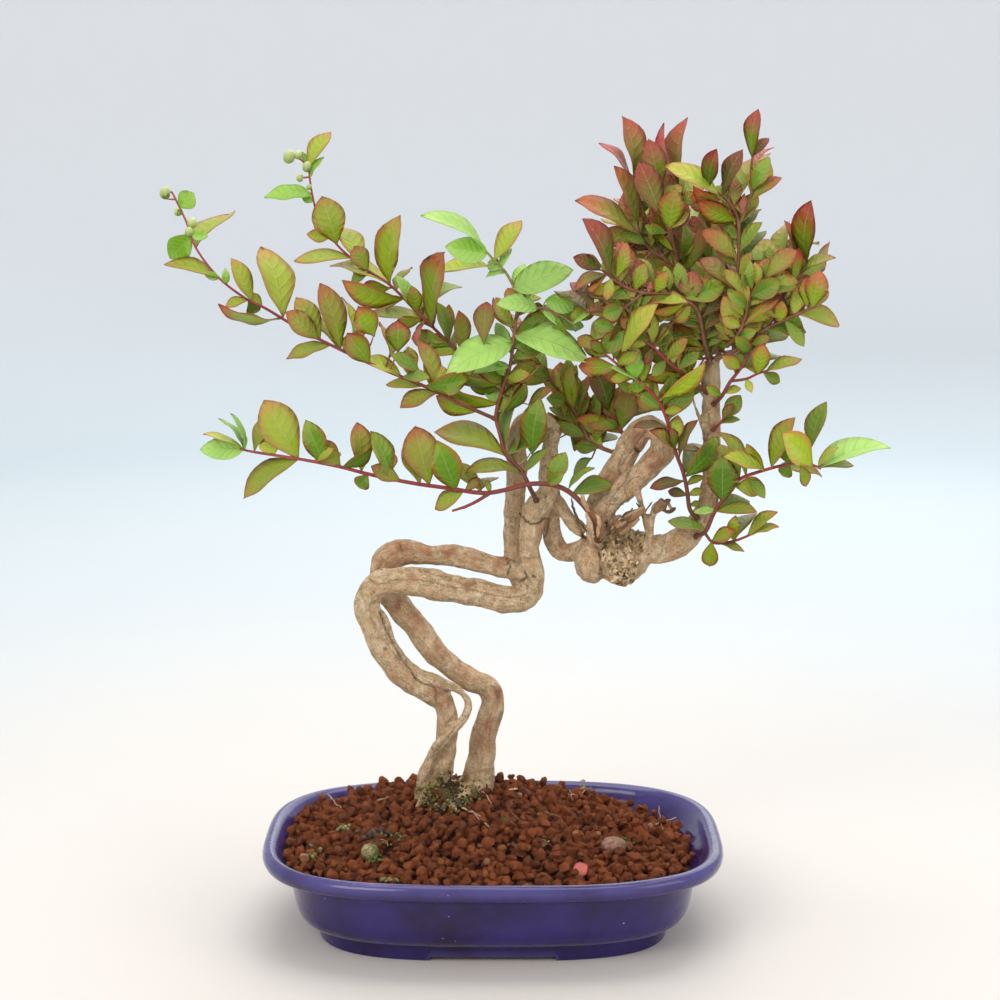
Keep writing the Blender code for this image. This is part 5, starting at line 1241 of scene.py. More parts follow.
WOOD_FINE_STEP = 0.0030
WOOD_HOSE_SIDES = 5
WOOD_VOXEL = 0.00092
WOOD_SMOOTHING = 3
WOOD_SWELL = 0.10
WOOD_SWELL_SCALE = 55
WOOD_SWELL_APART = 9.1
PLUG_TAPER = 0.68
PLUG_SIDES = 48
GRAIN_DRAWN_OUT = 0.30
GRAIN_SHIFT = 1e-7
FURROW_SCALE = 360
FURROW_RELIEF = 0.00050
LUMP_SCALE = 120
LUMP_RELIEF = 0.0009
CUT_SCALE = 260
CUT_RELIEF = 0.0020
CUT_FINE_SCALE = 900
CUT_FINE_RELIEF = 0.0007
# Painted shade in dark pits over the cut burl: their scale, the noise level they start at, and their strength
PIT_SCALE = 400
PIT_FLOOR = 0.10
PIT_SHADE_STRENGTH = 1.9
CUT_RAWNESS = 0.8
CRACK_FULLNESS = 0.7
ZONE_FULLNESS = 1.6
# Cracks and rings on the wood that shows: pixels along it, half its width in pixels, depth in mm, darkness
WOOD_CRACKS = [
    ([(520, 514), (524, 520), (531, 524), (540, 523), (545, 519), (549, 519)], 1.5, 0.7, 1.3),
    ([(549, 520), (546, 534), (542, 542)], 1.3, 0.5, 1.0),
    ([(541, 542), (539, 556)], 1.0, 0.3, 0.5),
    ([(520, 557), (528, 558), (539, 557)], 1.1, 0.4, 0.8),
    ([(507, 559), (510, 566), (508, 574)], 1.3, 0.6, 1.2),
    ([(533, 576), (535, 577)], 1.8, 0.6, 1.1),
    ([(509, 598), (511, 598)], 1.4, 0.4, 0.7),
    ([(519, 582), (527, 577), (524, 572)], 2.0, 0.9, 1.0),
    ([(527, 577), (533, 585)], 1.4, 0.6, 0.7),
    ([(470, 579), (490, 584), (515, 588)], 1.6, 0.9, 0.30),
    ([(421, 571), (445, 577), (470, 586)], 1.5, 0.9, 0.30),
    ([(384, 649), (386, 649)], 1.7, 0.4, 1.0),
    ([(386, 634), (386, 636)], 1.4, 0.4, 0.7),
    ([(380, 612), (386, 630), (394, 644), (399, 654), (407, 665), (417, 679)], 1.8, 1.4, 0.9),
    ([(417, 679), (424, 683), (436, 686), (449, 692)], 1.8, 1.2, 0.7),
    ([(382, 618), (386, 630), (392, 641)], 1.3, 0.7, 0.45),
    ([(431, 683), (436, 690), (436, 704)], 1.6, 0.7, 0.7),
    ([(411, 688), (413, 692)], 1.5, 0.4, 0.5),
    ([(455, 727), (446, 740), (434, 752)], 1.4, 0.6, 0.5),
    ([(446, 724), (452, 716)], 1.2, 0.4, 0.5),
    ([(577, 520), (582, 533), (588, 541)], 2.0, 0.9, 0.8),
    ([(606, 524), (611, 530), (617, 525)], 3.0, 1.2, 0.9),
    ([(605, 582), (608, 583)], 2.2, 1.0, 1.1),
    ([(629, 541), (634, 542)], 2.0, 1.0, 0.9),
    ([(618, 566), (624, 562), (629, 561)], 2.4, 1.4, 0.8),
    ([(634, 566), (638, 563)], 2.2, 1.2, 0.7),
    ([(673, 563), (679, 561)], 2.2, 0.9, 1.0),
    ([(650, 565), (656, 566)], 1.8, 0.8, 0.7),
    ([(596, 545), (601, 560), (602, 575)], 1.6, 0.7, 0.5),
    ([(636, 449), (641, 454), (640, 458)], 2.2, 1.4, 1.0),
    ([(630, 470), (624, 482), (612, 497)], 1.6, 0.8, 0.55),
    ([(646, 431), (634, 448), (618, 470)], 1.4, 0.7, 0.5),
    ([(622, 455), (618, 466), (620, 474)], 1.3, 0.5, 0.6),
    ([(611, 496), (616, 500)], 2.0, 0.5, 0.6),
    ([(449, 772), (452, 774)], 2.2, 1.0, 1.1),
    ([(478, 735), (490, 742)], 1.2, 0.4, 0.3),
    ([(476, 762), (486, 765)], 1.2, 0.4, 0.4),
    ([(371, 562), (376, 554), (385, 549)], 1.2, 0.4, 0.4),
    ([(400, 543), (402, 552)], 1.4, 0.4, 0.7),
]
# The cut burl: pixel, depth and reach in pixels
CUT_WOOD = [(620, 550, -2, 26), (622, 572, 0, 24), (634, 545, -2, 18), (618, 530, -1, 14), (630, 512, 0, 14)]
# Raw wood, partly painted light on the right stem under the crown; ruddy bark, partly painted shade on the
# rear trunk and the looped stem; and mossy bark: pixel and reach in pixels
RAW_WOOD_AND_PAINTED_LIGHT = [(590, 512, 8), (596, 527, 9), (600, 541, 9), (537, 545, 11), (535, 532, 10), (712, 374, 14),
            (714, 392, 14), (713, 408, 12), (372, 622, 14)]
RUDDY_BARK_AND_PAINTED_SHADE = [
    (398, 552, 20), (380, 562, 12), (425, 548, 14), (450, 551, 12), (475, 557, 13), (500, 562, 12),
    (395, 604, 12), (462, 672, 14), (436, 690, 12), (446, 705, 10), (540, 530, 11), (484, 742, 12),
    (596, 545, 9), (470, 586, 8), (412, 578, 8), (714, 430, 10), (418, 622, 14), (440, 650, 14),
    (497, 694, 12), (490, 724, 12), (640, 440, 18), (612, 480, 16), (652, 462, 16), (566, 545, 12),
]
MOSSY_BARK = [(424, 801, 12), (432, 793, 14), (440, 784, 13), (444, 776, 10), (452, 790, 14), (462, 780, 12),
              (470, 786, 12), (430, 806, 12), (447, 800, 14), (478, 780, 8), (418, 790, 8)]
# Splinters of the torn bark and bare twigs that stand clear of the wood: (pixel, depth), radius in mm, tone
SPLINTERS = [
    ([(584, 504, -8), (592, 514, -9), (597, 522, -8), (600, 538, -4)], 2.2, (146, 92, 66)),
    ([(581, 494, -12), (584, 501, -13), (589, 512, -11)], 1.3, (214, 172, 130)),
    ([(586, 513, -13), (590, 524, -12), (594, 537, -8)], 1.1, (238, 210, 176)),
    ([(596, 513, -13), (599, 522, -13), (598, 537, -8)], 1.2, (226, 190, 150)),
    ([(601, 516, -10), (602, 526, -9), (600, 541, -5)], 1.0, (168, 112, 82)),
    ([(571, 498, 4), (575, 512, 4), (580, 524, 3), (587, 532, 2)], 0.7, (74, 56, 46)),
    ([(646, 511, -1), (649, 506, -2), (652, 501, -3)], 0.5, (60, 50, 44)),
    ([(613, 526, -4), (616, 518, -5), (621, 514, -5)], 1.2, (150, 112, 78)),
    ([(655, 513, -4), (660, 504, -4), (668, 502, -4)], 2.0, (146, 116, 84)),
    ([(663, 504, -4), (671, 500, -4)], 1.6, (112, 84, 60)),
    ([(662, 508, -4), (669, 512, -4), (676, 507, -4)], 1.2, (84, 58, 46)),
    ([(608, 530, -4), (609, 523, -5)], 1.4, (84, 62, 44)),
    ([(628, 524, -5), (631, 515, -6)], 1.2, (120, 86, 62)),
    ([(452, 511, -11), (466, 507, -10), (480, 500, -8)], 0.6, (74, 52, 46)),
]
# Broken stubs as bundles of fibres: (pixel, depth) from and to, half their thickness in mm, how many fibres
TORN_STUBS = [((610, 532, -3), (644, 510, -5), 3.0, 44), ((656, 512, -4), (669, 502, -4), 1.1, 10),
              ((614, 536, -5), (634, 523, -5), 1.8, 12)]
STUB_FIBRE = (0.7, 1.9)
FIBRE_START = (0, 0.55)
FIBRE_END = 1.05
FIBRE_LENGTH = (0.25, 0.55)
FIBRE_ASIDE = (0.8, 1.2)
FIBRE_TAPER = (0.8, 1, 0.7)
FIBRE_UNEVEN = (0.8, 1.15)
STUB_TONES = [(182, 142, 104), (150, 112, 78), (124, 92, 64), (96, 70, 50), (70, 50, 38), (206, 168, 126)]
SPLINTER_STEP = 0.0016
SPLINTER_WOBBLE = 0.00045
SPLINTER_TAPER = 0.75
# Flakes of the cut burl: pixel and half size in pixels of each patch, then how many flakes it has
FLAKE_PATCHES = [(622, 553, 20, 22, 110), (612, 528, 9, 7, 26), (632, 540, 12, 10, 36), (640, 510, 5, 5, 12),
                 (663, 502, 5, 4, 12), (668, 508, 4, 2, 5), (622, 578, 15, 8, 40)]
FLAKE_SIZE = ((0.0026, 0.0066), (0.0013, 0.0028), (0.0006, 0.0013))
FLAKE_TILT = 0.7
FLAKE_SHAPES = 6
FLAKE_BRIGHTNESS = (0.85, 1.1)
FLAKE_TONES = [(252, 230, 192), (244, 216, 172), (230, 196, 150), (206, 166, 120), (166, 126, 86),
               (186, 176, 122), (90, 64, 42)]


def root_route(readings):
    """A surface root's route, each reading at the depth where its sight line meets the soil."""
    route = []
    for px, py, radius in readings:
        lift = ROOT_REST + radius * pixel_at(seen(px, py, ROOT_REAR_DEPTH))
        depth = soil_depth(px, py, lift, ROOT_REAR_DEPTH)
        route.append((px, py, (depth - TREE_BACK) / MM, radius))
    return route


def knobbly(centres, radii, number):
    """A wood hose's radii with slow swellings along it, which differ from hose to hose."""
    walked, thick = 0.0, []
    for i, radius in enumerate(radii):
        if i:
            walked += (centres[i] - centres[i - 1]).length
        swell = noise.noise(Vector((walked * WOOD_SWELL_SCALE, number * WOOD_SWELL_APART, 0)))
        thick.append(radius * (1 + WOOD_SWELL * swell))
    return centres, thick


def centre_line_net(hoses):
    """Every centre of the wood with the way it runs, two arms across it and how far along it lies."""
    stations = []
    for centres, _ in hoses:
        walked = 0.0
        arm = (centres[1] - centres[0]).orthogonal().normalized()
        for i, centre in enumerate(centres):
            ahead = (centres[min(i + 1, len(centres) - 1)] - centres[max(i - 1, 0)]).normalized()
            arm = (arm - ahead * arm.dot(ahead)).normalized()
            if i:
                walked += (centre - centres[i - 1]).length
            stations.append((centre, ahead, arm, ahead.cross(arm), walked))
    return net_of(stations), stations


def add_burl(bm):
    """The burl's lobes."""
    for px, py, depth, half_width, half_height, half_depth in BURL_LOBES:
        centre = read_point(px, py, depth)
        size = pixel_at(centre)
        lobe = bmesh.ops.create_icosphere(bm, subdivisions=4, radius=1)["verts"]
        bmesh.ops.scale(bm, vec=(half_width * size, half_depth * size, half_height * size), verts=lobe)
        bmesh.ops.translate(bm, vec=centre, verts=lobe)


def add_plug(bm):
    """The foot under both trunks, which stands in the soil."""
    front, rear = (read_point(*trunk[0][:3]) for trunk in (FRONT_TRUNK, REAR_TRUNK))
    across = (rear - front).xy
    plug = bmesh.ops.create_cone(bm, cap_ends=True, segments=PLUG_SIDES, radius1=1, radius2=PLUG_TAPER,
                                 depth=ROOT_PLUG_TOP - ROOT_PLUG_FOOT)["verts"]
    reach = across.length / 2 + ROOT_PLUG_RADIUS
    bmesh.ops.scale(bm, vec=(reach, ROOT_PLUG_RADIUS, 1), verts=plug)
    bmesh.ops.rotate(bm, matrix=Matrix.Rotation(math.atan2(across.y, across.x), 3, "Z"), verts=plug)
    middle = (front + rear) / 2
    bmesh.ops.translate(bm, vec=(middle.x, middle.y, (ROOT_PLUG_TOP + ROOT_PLUG_FOOT) / 2), verts=plug)


def rough_wood(routes):
    """The wood's hoses, the burl's lobes and the foot, melted into one skin."""
    hoses = [knobbly(*along_route(route, WOOD_FINE_STEP), k) for k, route in enumerate(routes)]
    bm = bmesh.new()
    bm.from_mesh(hose(hoses, WOOD_HOSE_SIDES, "wood_hoses"))
    add_burl(bm)
    add_plug(bm)
    holder = new_object("melted_wood", mesh_from(bm, "melted_wood"))
    melt = holder.modifiers.new("melt", "REMESH")
    melt.mode = "VOXEL"
    melt.voxel_size = WOOD_VOXEL
    evaluated(holder)
    bm = taken_back(holder)
    for _ in range(WOOD_SMOOTHING):
        bmesh.ops.smooth_vert(bm, verts=bm.verts[:], factor=0.5, use_axis_x=True, use_axis_y=True,
                              use_axis_z=True)
    return bm, hoses


def stroke_points(surface, strokes):
    """Points of drawn strokes where their sight lines meet the wood, with half width, depth and darkness."""
    found = []
    for pixels, half_width, depth, darkness in strokes:
        for one, two in zip(pixels, pixels[1:]):
            steps = max(2, int(math.dist(one, two)))
            for k in range(steps + 1):
                px, py = (a + (b - a) * k / steps for a, b in zip(one, two))
                hit, _ = sight_hit(surface, px, py)
                if hit:
                    found.append((hit, half_width * pixel_at(hit), depth * MM, darkness))
    return found


def zone_share(point, zones):
    """How far a point lies inside round zones, 0 to 1, each at a pixel and depth with its reach in pixels."""
    share = 0.0
    for centre, reach in zones:
        share = max(share, ZONE_FULLNESS * (1 - (point - centre).length / reach))
    return clamp(share)


def zones_at(readings):
    """Zones from their readings."""
    zones = []
    for px, py, depth, reach in readings:
        centre = read_point(px, py, depth)
        zones.append((centre, reach * pixel_at(centre)))
    return zones


def zones_on(surface, readings):
    """Zones where sight lines meet the wood: pixel and reach in pixels."""
    zones = []
    for px, py, reach in readings:
        hit, _ = sight_hit(surface, px, py)
        if hit:
            zones.append((hit, reach * pixel_at(hit)))
    return zones


def torn_depth(place, cut_share):
    """How deep the cut burl is torn at a place."""
    coarse = noise.cell(place * CUT_SCALE + noise.noise_vector(place * CUT_SCALE)) * CUT_RELIEF
    fine = noise.turbulence(place * CUT_FINE_SCALE, 3, True) * CUT_FINE_RELIEF
    return coarse * cut_share + fine * cut_share


def along_grain(place, number, station):
    """A place as seen along the wood's own grain."""
    centre, ahead, arm, other_arm, walked = station
    off = place - centre
    grain = Vector(((walked + off.dot(ahead)) * GRAIN_DRAWN_OUT, off.dot(arm), off.dot(other_arm)))
    grain.x += number * GRAIN_SHIFT
    return grain


def build_wood():
    """All the grown wood, with furrows along it, lumps, cracks, the cut burl, and marks for its bark, among
    them painted shade in the burl's pits, painted light on the right stem under the crown and painted shade
    on the rear trunk and the looped stem.
    """
    routes = [FRONT_TRUNK, *WOOD_ROUTES, *(root_route(root) for root in SURFACE_ROOTS)]
    bm, hoses = rough_wood(routes)
    net, stations = centre_line_net(hoses)
    surface = BVHTree.FromBMesh(bm)
    cracks = stroke_points(surface, WOOD_CRACKS)
    crack_net = net_of(cracks)
    cut = zones_at(CUT_WOOD)
    raw_and_painted_light, ruddy_and_shade, mossy = (zones_on(surface, readings) for readings in (RAW_WOOD_AND_PAINTED_LIGHT, RUDDY_BARK_AND_PAINTED_SHADE, MOSSY_BARK))
    grain_layer = bm.verts.layers.float_vector.new("grain")
    mark_layer = bm.verts.layers.float_color.new("marks")
    bm.normal_update()
    moved = []
    for vert in bm.verts:
        place = vert.co.copy()
        number = net.find(place)[1]
        grain = along_grain(place, number, stations[number])
        furrows = noise.fractal(grain * FURROW_SCALE, 0.7, 2.0, 3) * FURROW_RELIEF
        lumps = noise.noise(place * LUMP_SCALE) * LUMP_RELIEF
        cut_share = zone_share(place, cut)
        _, crack_number, away = crack_net.find(place)
        _, half_width, depth, darkness = cracks[crack_number]
        crack = max(0.0, 1 - away / half_width) ** CRACK_FULLNESS
        moved.append(vert.normal * (furrows + lumps - torn_depth(place, cut_share) - crack * depth))
        # Painted shade: dark pits over the cut burl, laid in with the cracks
        pit_shade = max(0.0, noise.noise(place * PIT_SCALE) - PIT_FLOOR) * PIT_SHADE_STRENGTH * cut_share
        vert[grain_layer] = grain
        vert[mark_layer] = (
            min(1.0, crack * darkness + pit_shade), max(zone_share(place, raw_and_painted_light), cut_share * CUT_RAWNESS),
            zone_share(place, ruddy_and_shade), 1 - zone_share(place, mossy))
    for vert, shift in zip(bm.verts, moved):
        vert.co += shift
    smooth_faces(bm, ALL_SMOOTH)
    surface = BVHTree.FromBMesh(bm)
    to_piece(bm, "plaited_wood", ("bark",), ("trunk",), "bark")
    return surface


def build_flakes(surface):
    """Torn flakes of wood that cover the cut side of the burl and the ends of the stubs."""
    draw = random.Random(41)
    places = []
    for px, py, reach_x, reach_y, count in FLAKE_PATCHES:
        for _ in range(count):
            angle, reach = draw.uniform(0, 2 * math.pi), math.sqrt(draw.random())
            at = (px + reach_x * reach * math.cos(angle), py + reach_y * reach * math.sin(angle))
            hit, normal = sight_hit(surface, *at)
            size = Vector([draw.uniform(*span) for span in FLAKE_SIZE])
            spin = Quaternion((0, 0, 1), draw.uniform(0, 2 * math.pi))
            tilt = Quaternion((draw.gauss(0, 1), draw.gauss(0, 1), 0), abs(draw.gauss(0, FLAKE_TILT)))
            tone = light_of(*draw.choice(FLAKE_TONES)) * draw.uniform(*FLAKE_BRIGHTNESS)
            if hit:
                turn = normal.to_track_quat("Z", "Y") @ tilt @ spin
                places.append((Matrix.LocRotScale(hit, turn, size), (*tone, 1)))
    scatter(grain_shapes(FLAKE_SHAPES, draw), places, "burl_flakes", "flake", "bark")


def add_splinter(bm, tone_layer, readings, radius, tone, draw):
    """A splinter along its readings, thin at both ends, with uneven tones."""
    centres, _ = along_route([(*reading, 1) for reading in readings], SPLINTER_STEP)
    centres = [centre + jolt(draw) * SPLINTER_WOBBLE for centre in centres]
    last = len(centres) - 1
    thick = []
    for i in range(last + 1):
        taper = 1 - SPLINTER_TAPER * abs(2 * i / last - 1) ** 3
        thick.append(radius * MM * taper * draw.uniform(*FIBRE_UNEVEN))
    add_hose(bm, tone_layer, centres, thick, lambda: light_of(*tone) * draw.uniform(*FIBRE_UNEVEN))


def add_fibre(bm, tone_layer, start, end, spread_out, draw):
    """A fibre of a broken stub, somewhere along the stub and a little aside."""
    first = draw.uniform(*FIBRE_START)
    last = min(FIBRE_END, first + draw.uniform(*FIBRE_LENGTH))
    aside = jolt(draw) * spread_out * MM
    centres = []
    for share in (first, (first + last) / 2, last):
        centres.append(start.lerp(end, share) + aside * (1 - 0.5 * share) * draw.uniform(*FIBRE_ASIDE))
    radius = draw.uniform(*STUB_FIBRE) * MM
    tone = light_of(*draw.choice(STUB_TONES)) * draw.uniform(*FIBRE_UNEVEN)
    add_hose(bm, tone_layer, centres, [radius * share for share in FIBRE_TAPER], lambda: tone)


def build_splinters():
    """Splinters of torn bark, bare twigs that stand clear of the wood, and broken stubs."""
    bm = bmesh.new()
    tone_layer = bm.loops.layers.float_color.new("tone")
    draw = random.Random(43)
    for readings, radius, tone in SPLINTERS:
        add_splinter(bm, tone_layer, readings, radius, tone, draw)
    for start, end, spread_out, count in TORN_STUBS:
        for _ in range(count):
            add_fibre(bm, tone_layer, read_point(*start), read_point(*end), spread_out, draw)
    to_piece(bm, "torn_splinters", ("flake",), slot="bark")


# Leaves and twigs


def look(widest, fullness, *tones):
    """A leaf's outline, and its tones at the base, the tip, the edge and underneath."""
    return (widest, fullness, *(light_of(*tone) for tone in tones))


LEAF_LOOKS = {
    "g": look(0.56, 0.85, (94, 134, 22), (132, 150, 30), (160, 84, 44), (150, 168, 84)),
    "o": look(0.56, 0.85, (142, 164, 26), (188, 116, 58), (160, 58, 44), (172, 174, 86)),
    "y": look(0.54, 0.85, (162, 184, 34), (200, 182, 64), (190, 106, 60), (190, 196, 98)),
    "v": look(0.50, 0.80, (124, 174, 36), (146, 186, 60), (130, 170, 60), (166, 200, 104)),
    "p": look(0.46, 0.74, (146, 198, 66), (190, 224, 116), (156, 198, 86), (190, 218, 140)),
    "c": look(0.60, 0.80, (132, 156, 24), (184, 70, 46), (146, 36, 36), (180, 142, 90)),
    "r": look(0.60, 0.80, (114, 136, 20), (168, 42, 36), (122, 24, 28), (176, 116, 92)),
    "d": look(0.60, 0.80, (82, 104, 20), (152, 42, 38), (106, 22, 26), (160, 100, 84)),
    "k": look(0.54, 0.85, (200, 124, 96), (206, 76, 84), (190, 52, 64), (208, 134, 122)),
}
# Where along a leaf its red starts and is full, how red its sides are, and their spans
BLUSH_START = 0.64
CROWN_BLUSH_START = 0.42
BLUSH_END = 0.97
SIDE_BLUSH = 0.30
SIDE_BLUSH_SPAN = (0.6, 0.4)
EDGE_SPAN = (0.80, 0.20)
TIP_SPAN = (0.93, 0.07)
EDGE_SHARE = 0.8
LEAF_END = 0.012
LEAF_FOOT = 0.06
LEAF_SPANS = 11
LEAF_COLUMNS = 4
LEAF_SHEET = 0.00034
UNDERSIDE_SHARE = 0.35
EDGE_WAVES = (1.0, 2.2)
EDGE_WAVE_SIZE = (0.02, 0.10)
TIP_RECURVE = (-0.02, 0.03)
LEAF_BRIGHTNESS = (0.82, 1.18)
LEAF_FLUSH = (0.75, 1.25)


def leaf_frame(joint, root, tip_pixel, shown_width, lean, turned_up, arch, fold):
    """How a leaf lies so that it shows the tip and the width that were read, leaning in depth."""
    flat = seen(*tip_pixel, root.y) - root
    tip = seen(*tip_pixel, root.y + flat.length * math.tan(math.radians(lean)))
    along = (tip - root).normalized()
    length = (tip - root).length
    side = along.cross((VIEW_EYE - root).normalized()).normalized()
    shown = shown_width * pixel_at(root)
    turn = min(LEAF_MAX_TURN, math.acos(min(1.0, shown / (LEAF_RATIO * length))))
    options = [Quaternion(along, sign * turn) @ side for sign in (1, -1)]
    options.sort(key=lambda arm: -arm.cross(along).z)
    side = options[0 if turned_up else 1]
    half = 0.5 * shown / math.cos(turn)
    return joint, root, along * length, side * half, side.cross(along), arch * length, fold * half


def leaf_point(place, t, across, height=0.0):
    """A point of a leaf, t along its rib, across from -1 to 1 for a unit outline, and above its face."""
    _, root, rib, side, up, arch, fold = place
    return root + rib * t + side * across + up * (4 * arch * t * (1 - t) + fold * abs(across) + height)


def nearest_on_twigs(px, py, twigs):
    """The twig point nearest to a pixel, with the distance in pixels."""
    best = None
    for centres, _ in twigs:
        for one, two in zip(centres, centres[1:]):
            for k in range(TWIG_SAMPLES):
                point = one.lerp(two, k / TWIG_SAMPLES)
                x, y = pixel_of(point)
                away = math.hypot(px - x, py - y)
                if best is None or away < best[0]:
                    best = (away, point)
    return best


def far_leaves(twigs, count, draw):
    """Readings for the leaves of a stem's far side, spread along its twigs in a spiral."""
    readings = []
    stops = [point for centres, _ in twigs for point in centres[2:-1] or centres[2:]]
    for k in range(count):
        point = stops[int((k + 0.5) * len(stops) / count)]
        x, y = pixel_of(point)
        angle = FAR_LEAF_TURN * k + draw.uniform(*FAR_LEAF_TURN_DRAW)
        reach = draw.uniform(*FAR_LEAF_LENGTH)
        rise = FAR_LEAF_RISE + (1 - FAR_LEAF_RISE) * math.sin(angle)
        tip = (x + reach * math.cos(angle), y - reach * rise)
        colour = FAR_LEAF_COLOURS[k % len(FAR_LEAF_COLOURS)]
        readings.append((x, y, *tip, draw.uniform(*FAR_LEAF_WIDTH), colour))
    return readings


def leaf_choices(reading, twigs, far, draw):
    """A leaf's possible places, best first."""
    px, py, tip_x, tip_y, width, _ = reading
    away, joint = nearest_on_twigs(px, py, twigs)
    own_lean = draw.uniform(*(FAR_LEAF_LEAN if far else NEAR_LEAF_LEAN))
    arch = draw.uniform(*LEAF_ARCH)
    fold = draw.uniform(*LEAF_FOLD)
    stalk_slope = draw.uniform(*STALK_SLOPE)
    for shift in LEAN_TRIES:
        lean = own_lean + shift
        if abs(lean) > LEAN_LIMIT:
            continue
        root = joint
        if away * pixel_at(joint) > STALK_REACH:
            root = seen(px, py, joint.y + stalk_slope * away * pixel_at(joint))
        for turned_up in (True, False):
            yield leaf_frame(joint, root, (tip_x, tip_y), width, lean, turned_up, arch, fold)


def corners_of(node):
    """A net of a solid's corners."""
    return net_of([(vert.co,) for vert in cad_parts[node].data.vertices])


def placed_leaves(name, seed):
    """The stem's leaves where its solid has them, each with its colour and its own draws."""
    routes, readings, far_count = LEAFY_STEMS[name]
    twigs = [along_route(route, TWIG_STEP) for route in routes]
    every = readings + far_leaves(twigs, far_count, random.Random(seed))
    corners = corners_of(name)
    placed = []
    for number, reading in enumerate(every):
        draw = random.Random(1000 * seed + number)
        first = None
        for place in leaf_choices(reading, twigs, number >= len(readings), draw):
            first = first or place
            tests = [leaf_point(place, 1, 0)]
            tests += [leaf_point(place, t, hand * share) for t, share in LEAF_EDGE for hand in (-1, 1)]
            if sum(corners.find(test)[2] < SAME_PLACE for test in tests) >= SAME_CORNERS:
                placed.append((place, reading[5], draw))
                break
        else:
            placed.append((first, reading[5], draw))
    return placed, corners


def trimmed_start(route, corners):
    """The foot of a stem's solid on its route, and the way it heads there."""
    centres, radii = along_route(route, TWIG_STEP)
    spans = [(b - a).length for a, b in zip(centres, centres[1:])]
    start = 0.0
    while start < sum(spans) / 2:
        walked, i = start, 0
        while walked > spans[i]:
            walked -= spans[i]
            i += 1
        t = walked / spans[i]
        foot = centres[i].lerp(centres[i + 1], t)
        radius = radii[i] + (radii[i + 1] - radii[i]) * t
        heading = (centres[i + 1] - foot).normalized()
        if corners.find(foot + heading.orthogonal().normalized() * radius)[2] < SAME_PLACE:
            return foot, heading, radius
        start += TWIG_TRIM_STEP
    raise ValueError("a stem's foot is not where its solid has it")


def outline(t, widest, fullness):
    """Half the width of a leaf, t along it, widest at that share of its length."""
    power = math.log(0.5) / math.log(widest)
    return max(LEAF_END, math.sin(math.pi * clamp(t) ** power) ** fullness)


def leaf_layers(bm):
    """The tone and the map of leaves, and a place to keep the map while a leaf is shaped."""
    return (bm.loops.layers.float_color.new("tone"), bm.loops.layers.uv.new("leaf_map"),
            bm.verts.layers.float_vector.new("flat_leaf"))


def leaf_tone(t, across, look_tones, blush, flush):
    """A leaf's tone at a place on it: green, red past its blush, and with a red edge."""
    base, tip, edge = look_tones
    redness = (t - blush) / (BLUSH_END - blush) + SIDE_BLUSH * past(abs(across), *SIDE_BLUSH_SPAN) * t
    redness = clamp(redness * flush)
    rim = past(abs(across), *EDGE_SPAN) ** 2 + past(t, *TIP_SPAN)
    colour = base.lerp(tip, redness * redness * (3 - 2 * redness))
    return colour.lerp(edge, min(1.0, rim) * EDGE_SHARE)


def add_leaf(bm, layers, place, letter, draw, blush):
    """One leaf: a folded, arched blade with a wavy edge and its tip turned back, red past its blush."""
    tone_layer, map_layer, flat_layer = layers
    widest, fullness, *look_tones, under = LEAF_LOOKS[letter]
    waves = draw.uniform(*EDGE_WAVES)
    wave_size = draw.uniform(*EDGE_WAVE_SIZE) * place[3].length
    phase = draw.uniform(0, 2 * math.pi)
    recurve = draw.uniform(*TIP_RECURVE) * place[2].length
    bright = draw.uniform(*LEAF_BRIGHTNESS)
    flush = draw.uniform(*LEAF_FLUSH)
    first_face, first_vert = len(bm.faces), len(bm.verts)
    bmesh.ops.create_grid(bm, x_segments=LEAF_SPANS, y_segments=LEAF_COLUMNS, size=0.5)
    bm.verts.ensure_lookup_table()
    bm.faces.ensure_lookup_table()
    for vert in bm.verts[first_vert:]:
        t = vert.co.x + 0.5
        across = 2 * vert.co.y
        vert[flat_layer] = (t, across, 0)
        wavy = wave_size * across ** 2 * math.sin(2 * math.pi * waves * t + phase + (across > 0))
        vert.co = leaf_point(place, t, across * outline(t, widest, fullness), wavy - recurve * t ** 4)
    bmesh.ops.solidify(bm, geom=bm.faces[first_face:], thickness=LEAF_SHEET)
    bm.faces.ensure_lookup_table()
    for face in bm.faces[first_face:]:
        face.smooth = True
        face.normal_update()
        below = face.normal.dot(place[4]) < 0
        for loop in face.loops:
            t, across, _ = loop.vert[flat_layer]
            loop[map_layer].uv = (t, across)
            colour = leaf_tone(t, across, look_tones, blush, flush)
            if below:
                colour = colour.lerp(under, UNDERSIDE_SHARE)
            loop[tone_layer] = (*(colour * bright), 1)


TWIG_FINE_STEP = 0.0024
TWIG_SET_IN = 0.0012
TWIG_COLLAR = 0.0016
TWIG_FLARE = 1.35
TWIG_HOSE_SIDES = 2
STALK_HOSE_SIDES = 1
STALK_RADIUS = 0.00042
STALK_TAPER = (1.2, 1, 0.7)
STALK_BEND = 0.35
STALK_LEAST = 0.0004
TWIG_TONES = {
    "red": [light_of(*tone) for tone in ((118, 70, 44), (144, 60, 50), (170, 50, 56), (176, 86, 74))],
    "pale": [light_of(*tone) for tone in ((112, 72, 50), (150, 66, 58), (164, 100, 72), (152, 168, 84))],
    "brown": [light_of(*tone) for tone in ((150, 108, 76), (140, 94, 64), (138, 82, 58), (150, 76, 56))],
}
TWIG_KINDS = {
    "stem_middle": "pale", "crown_right": "brown", "crown_left": "brown", "crown_left_lower": "brown",
    "crown_far_right": "brown", "crown_back_left": "brown", "crown_back": "brown",
    "crown_back_right": "brown", "crown_middle": "brown", "stem_back_centre": "brown",
}
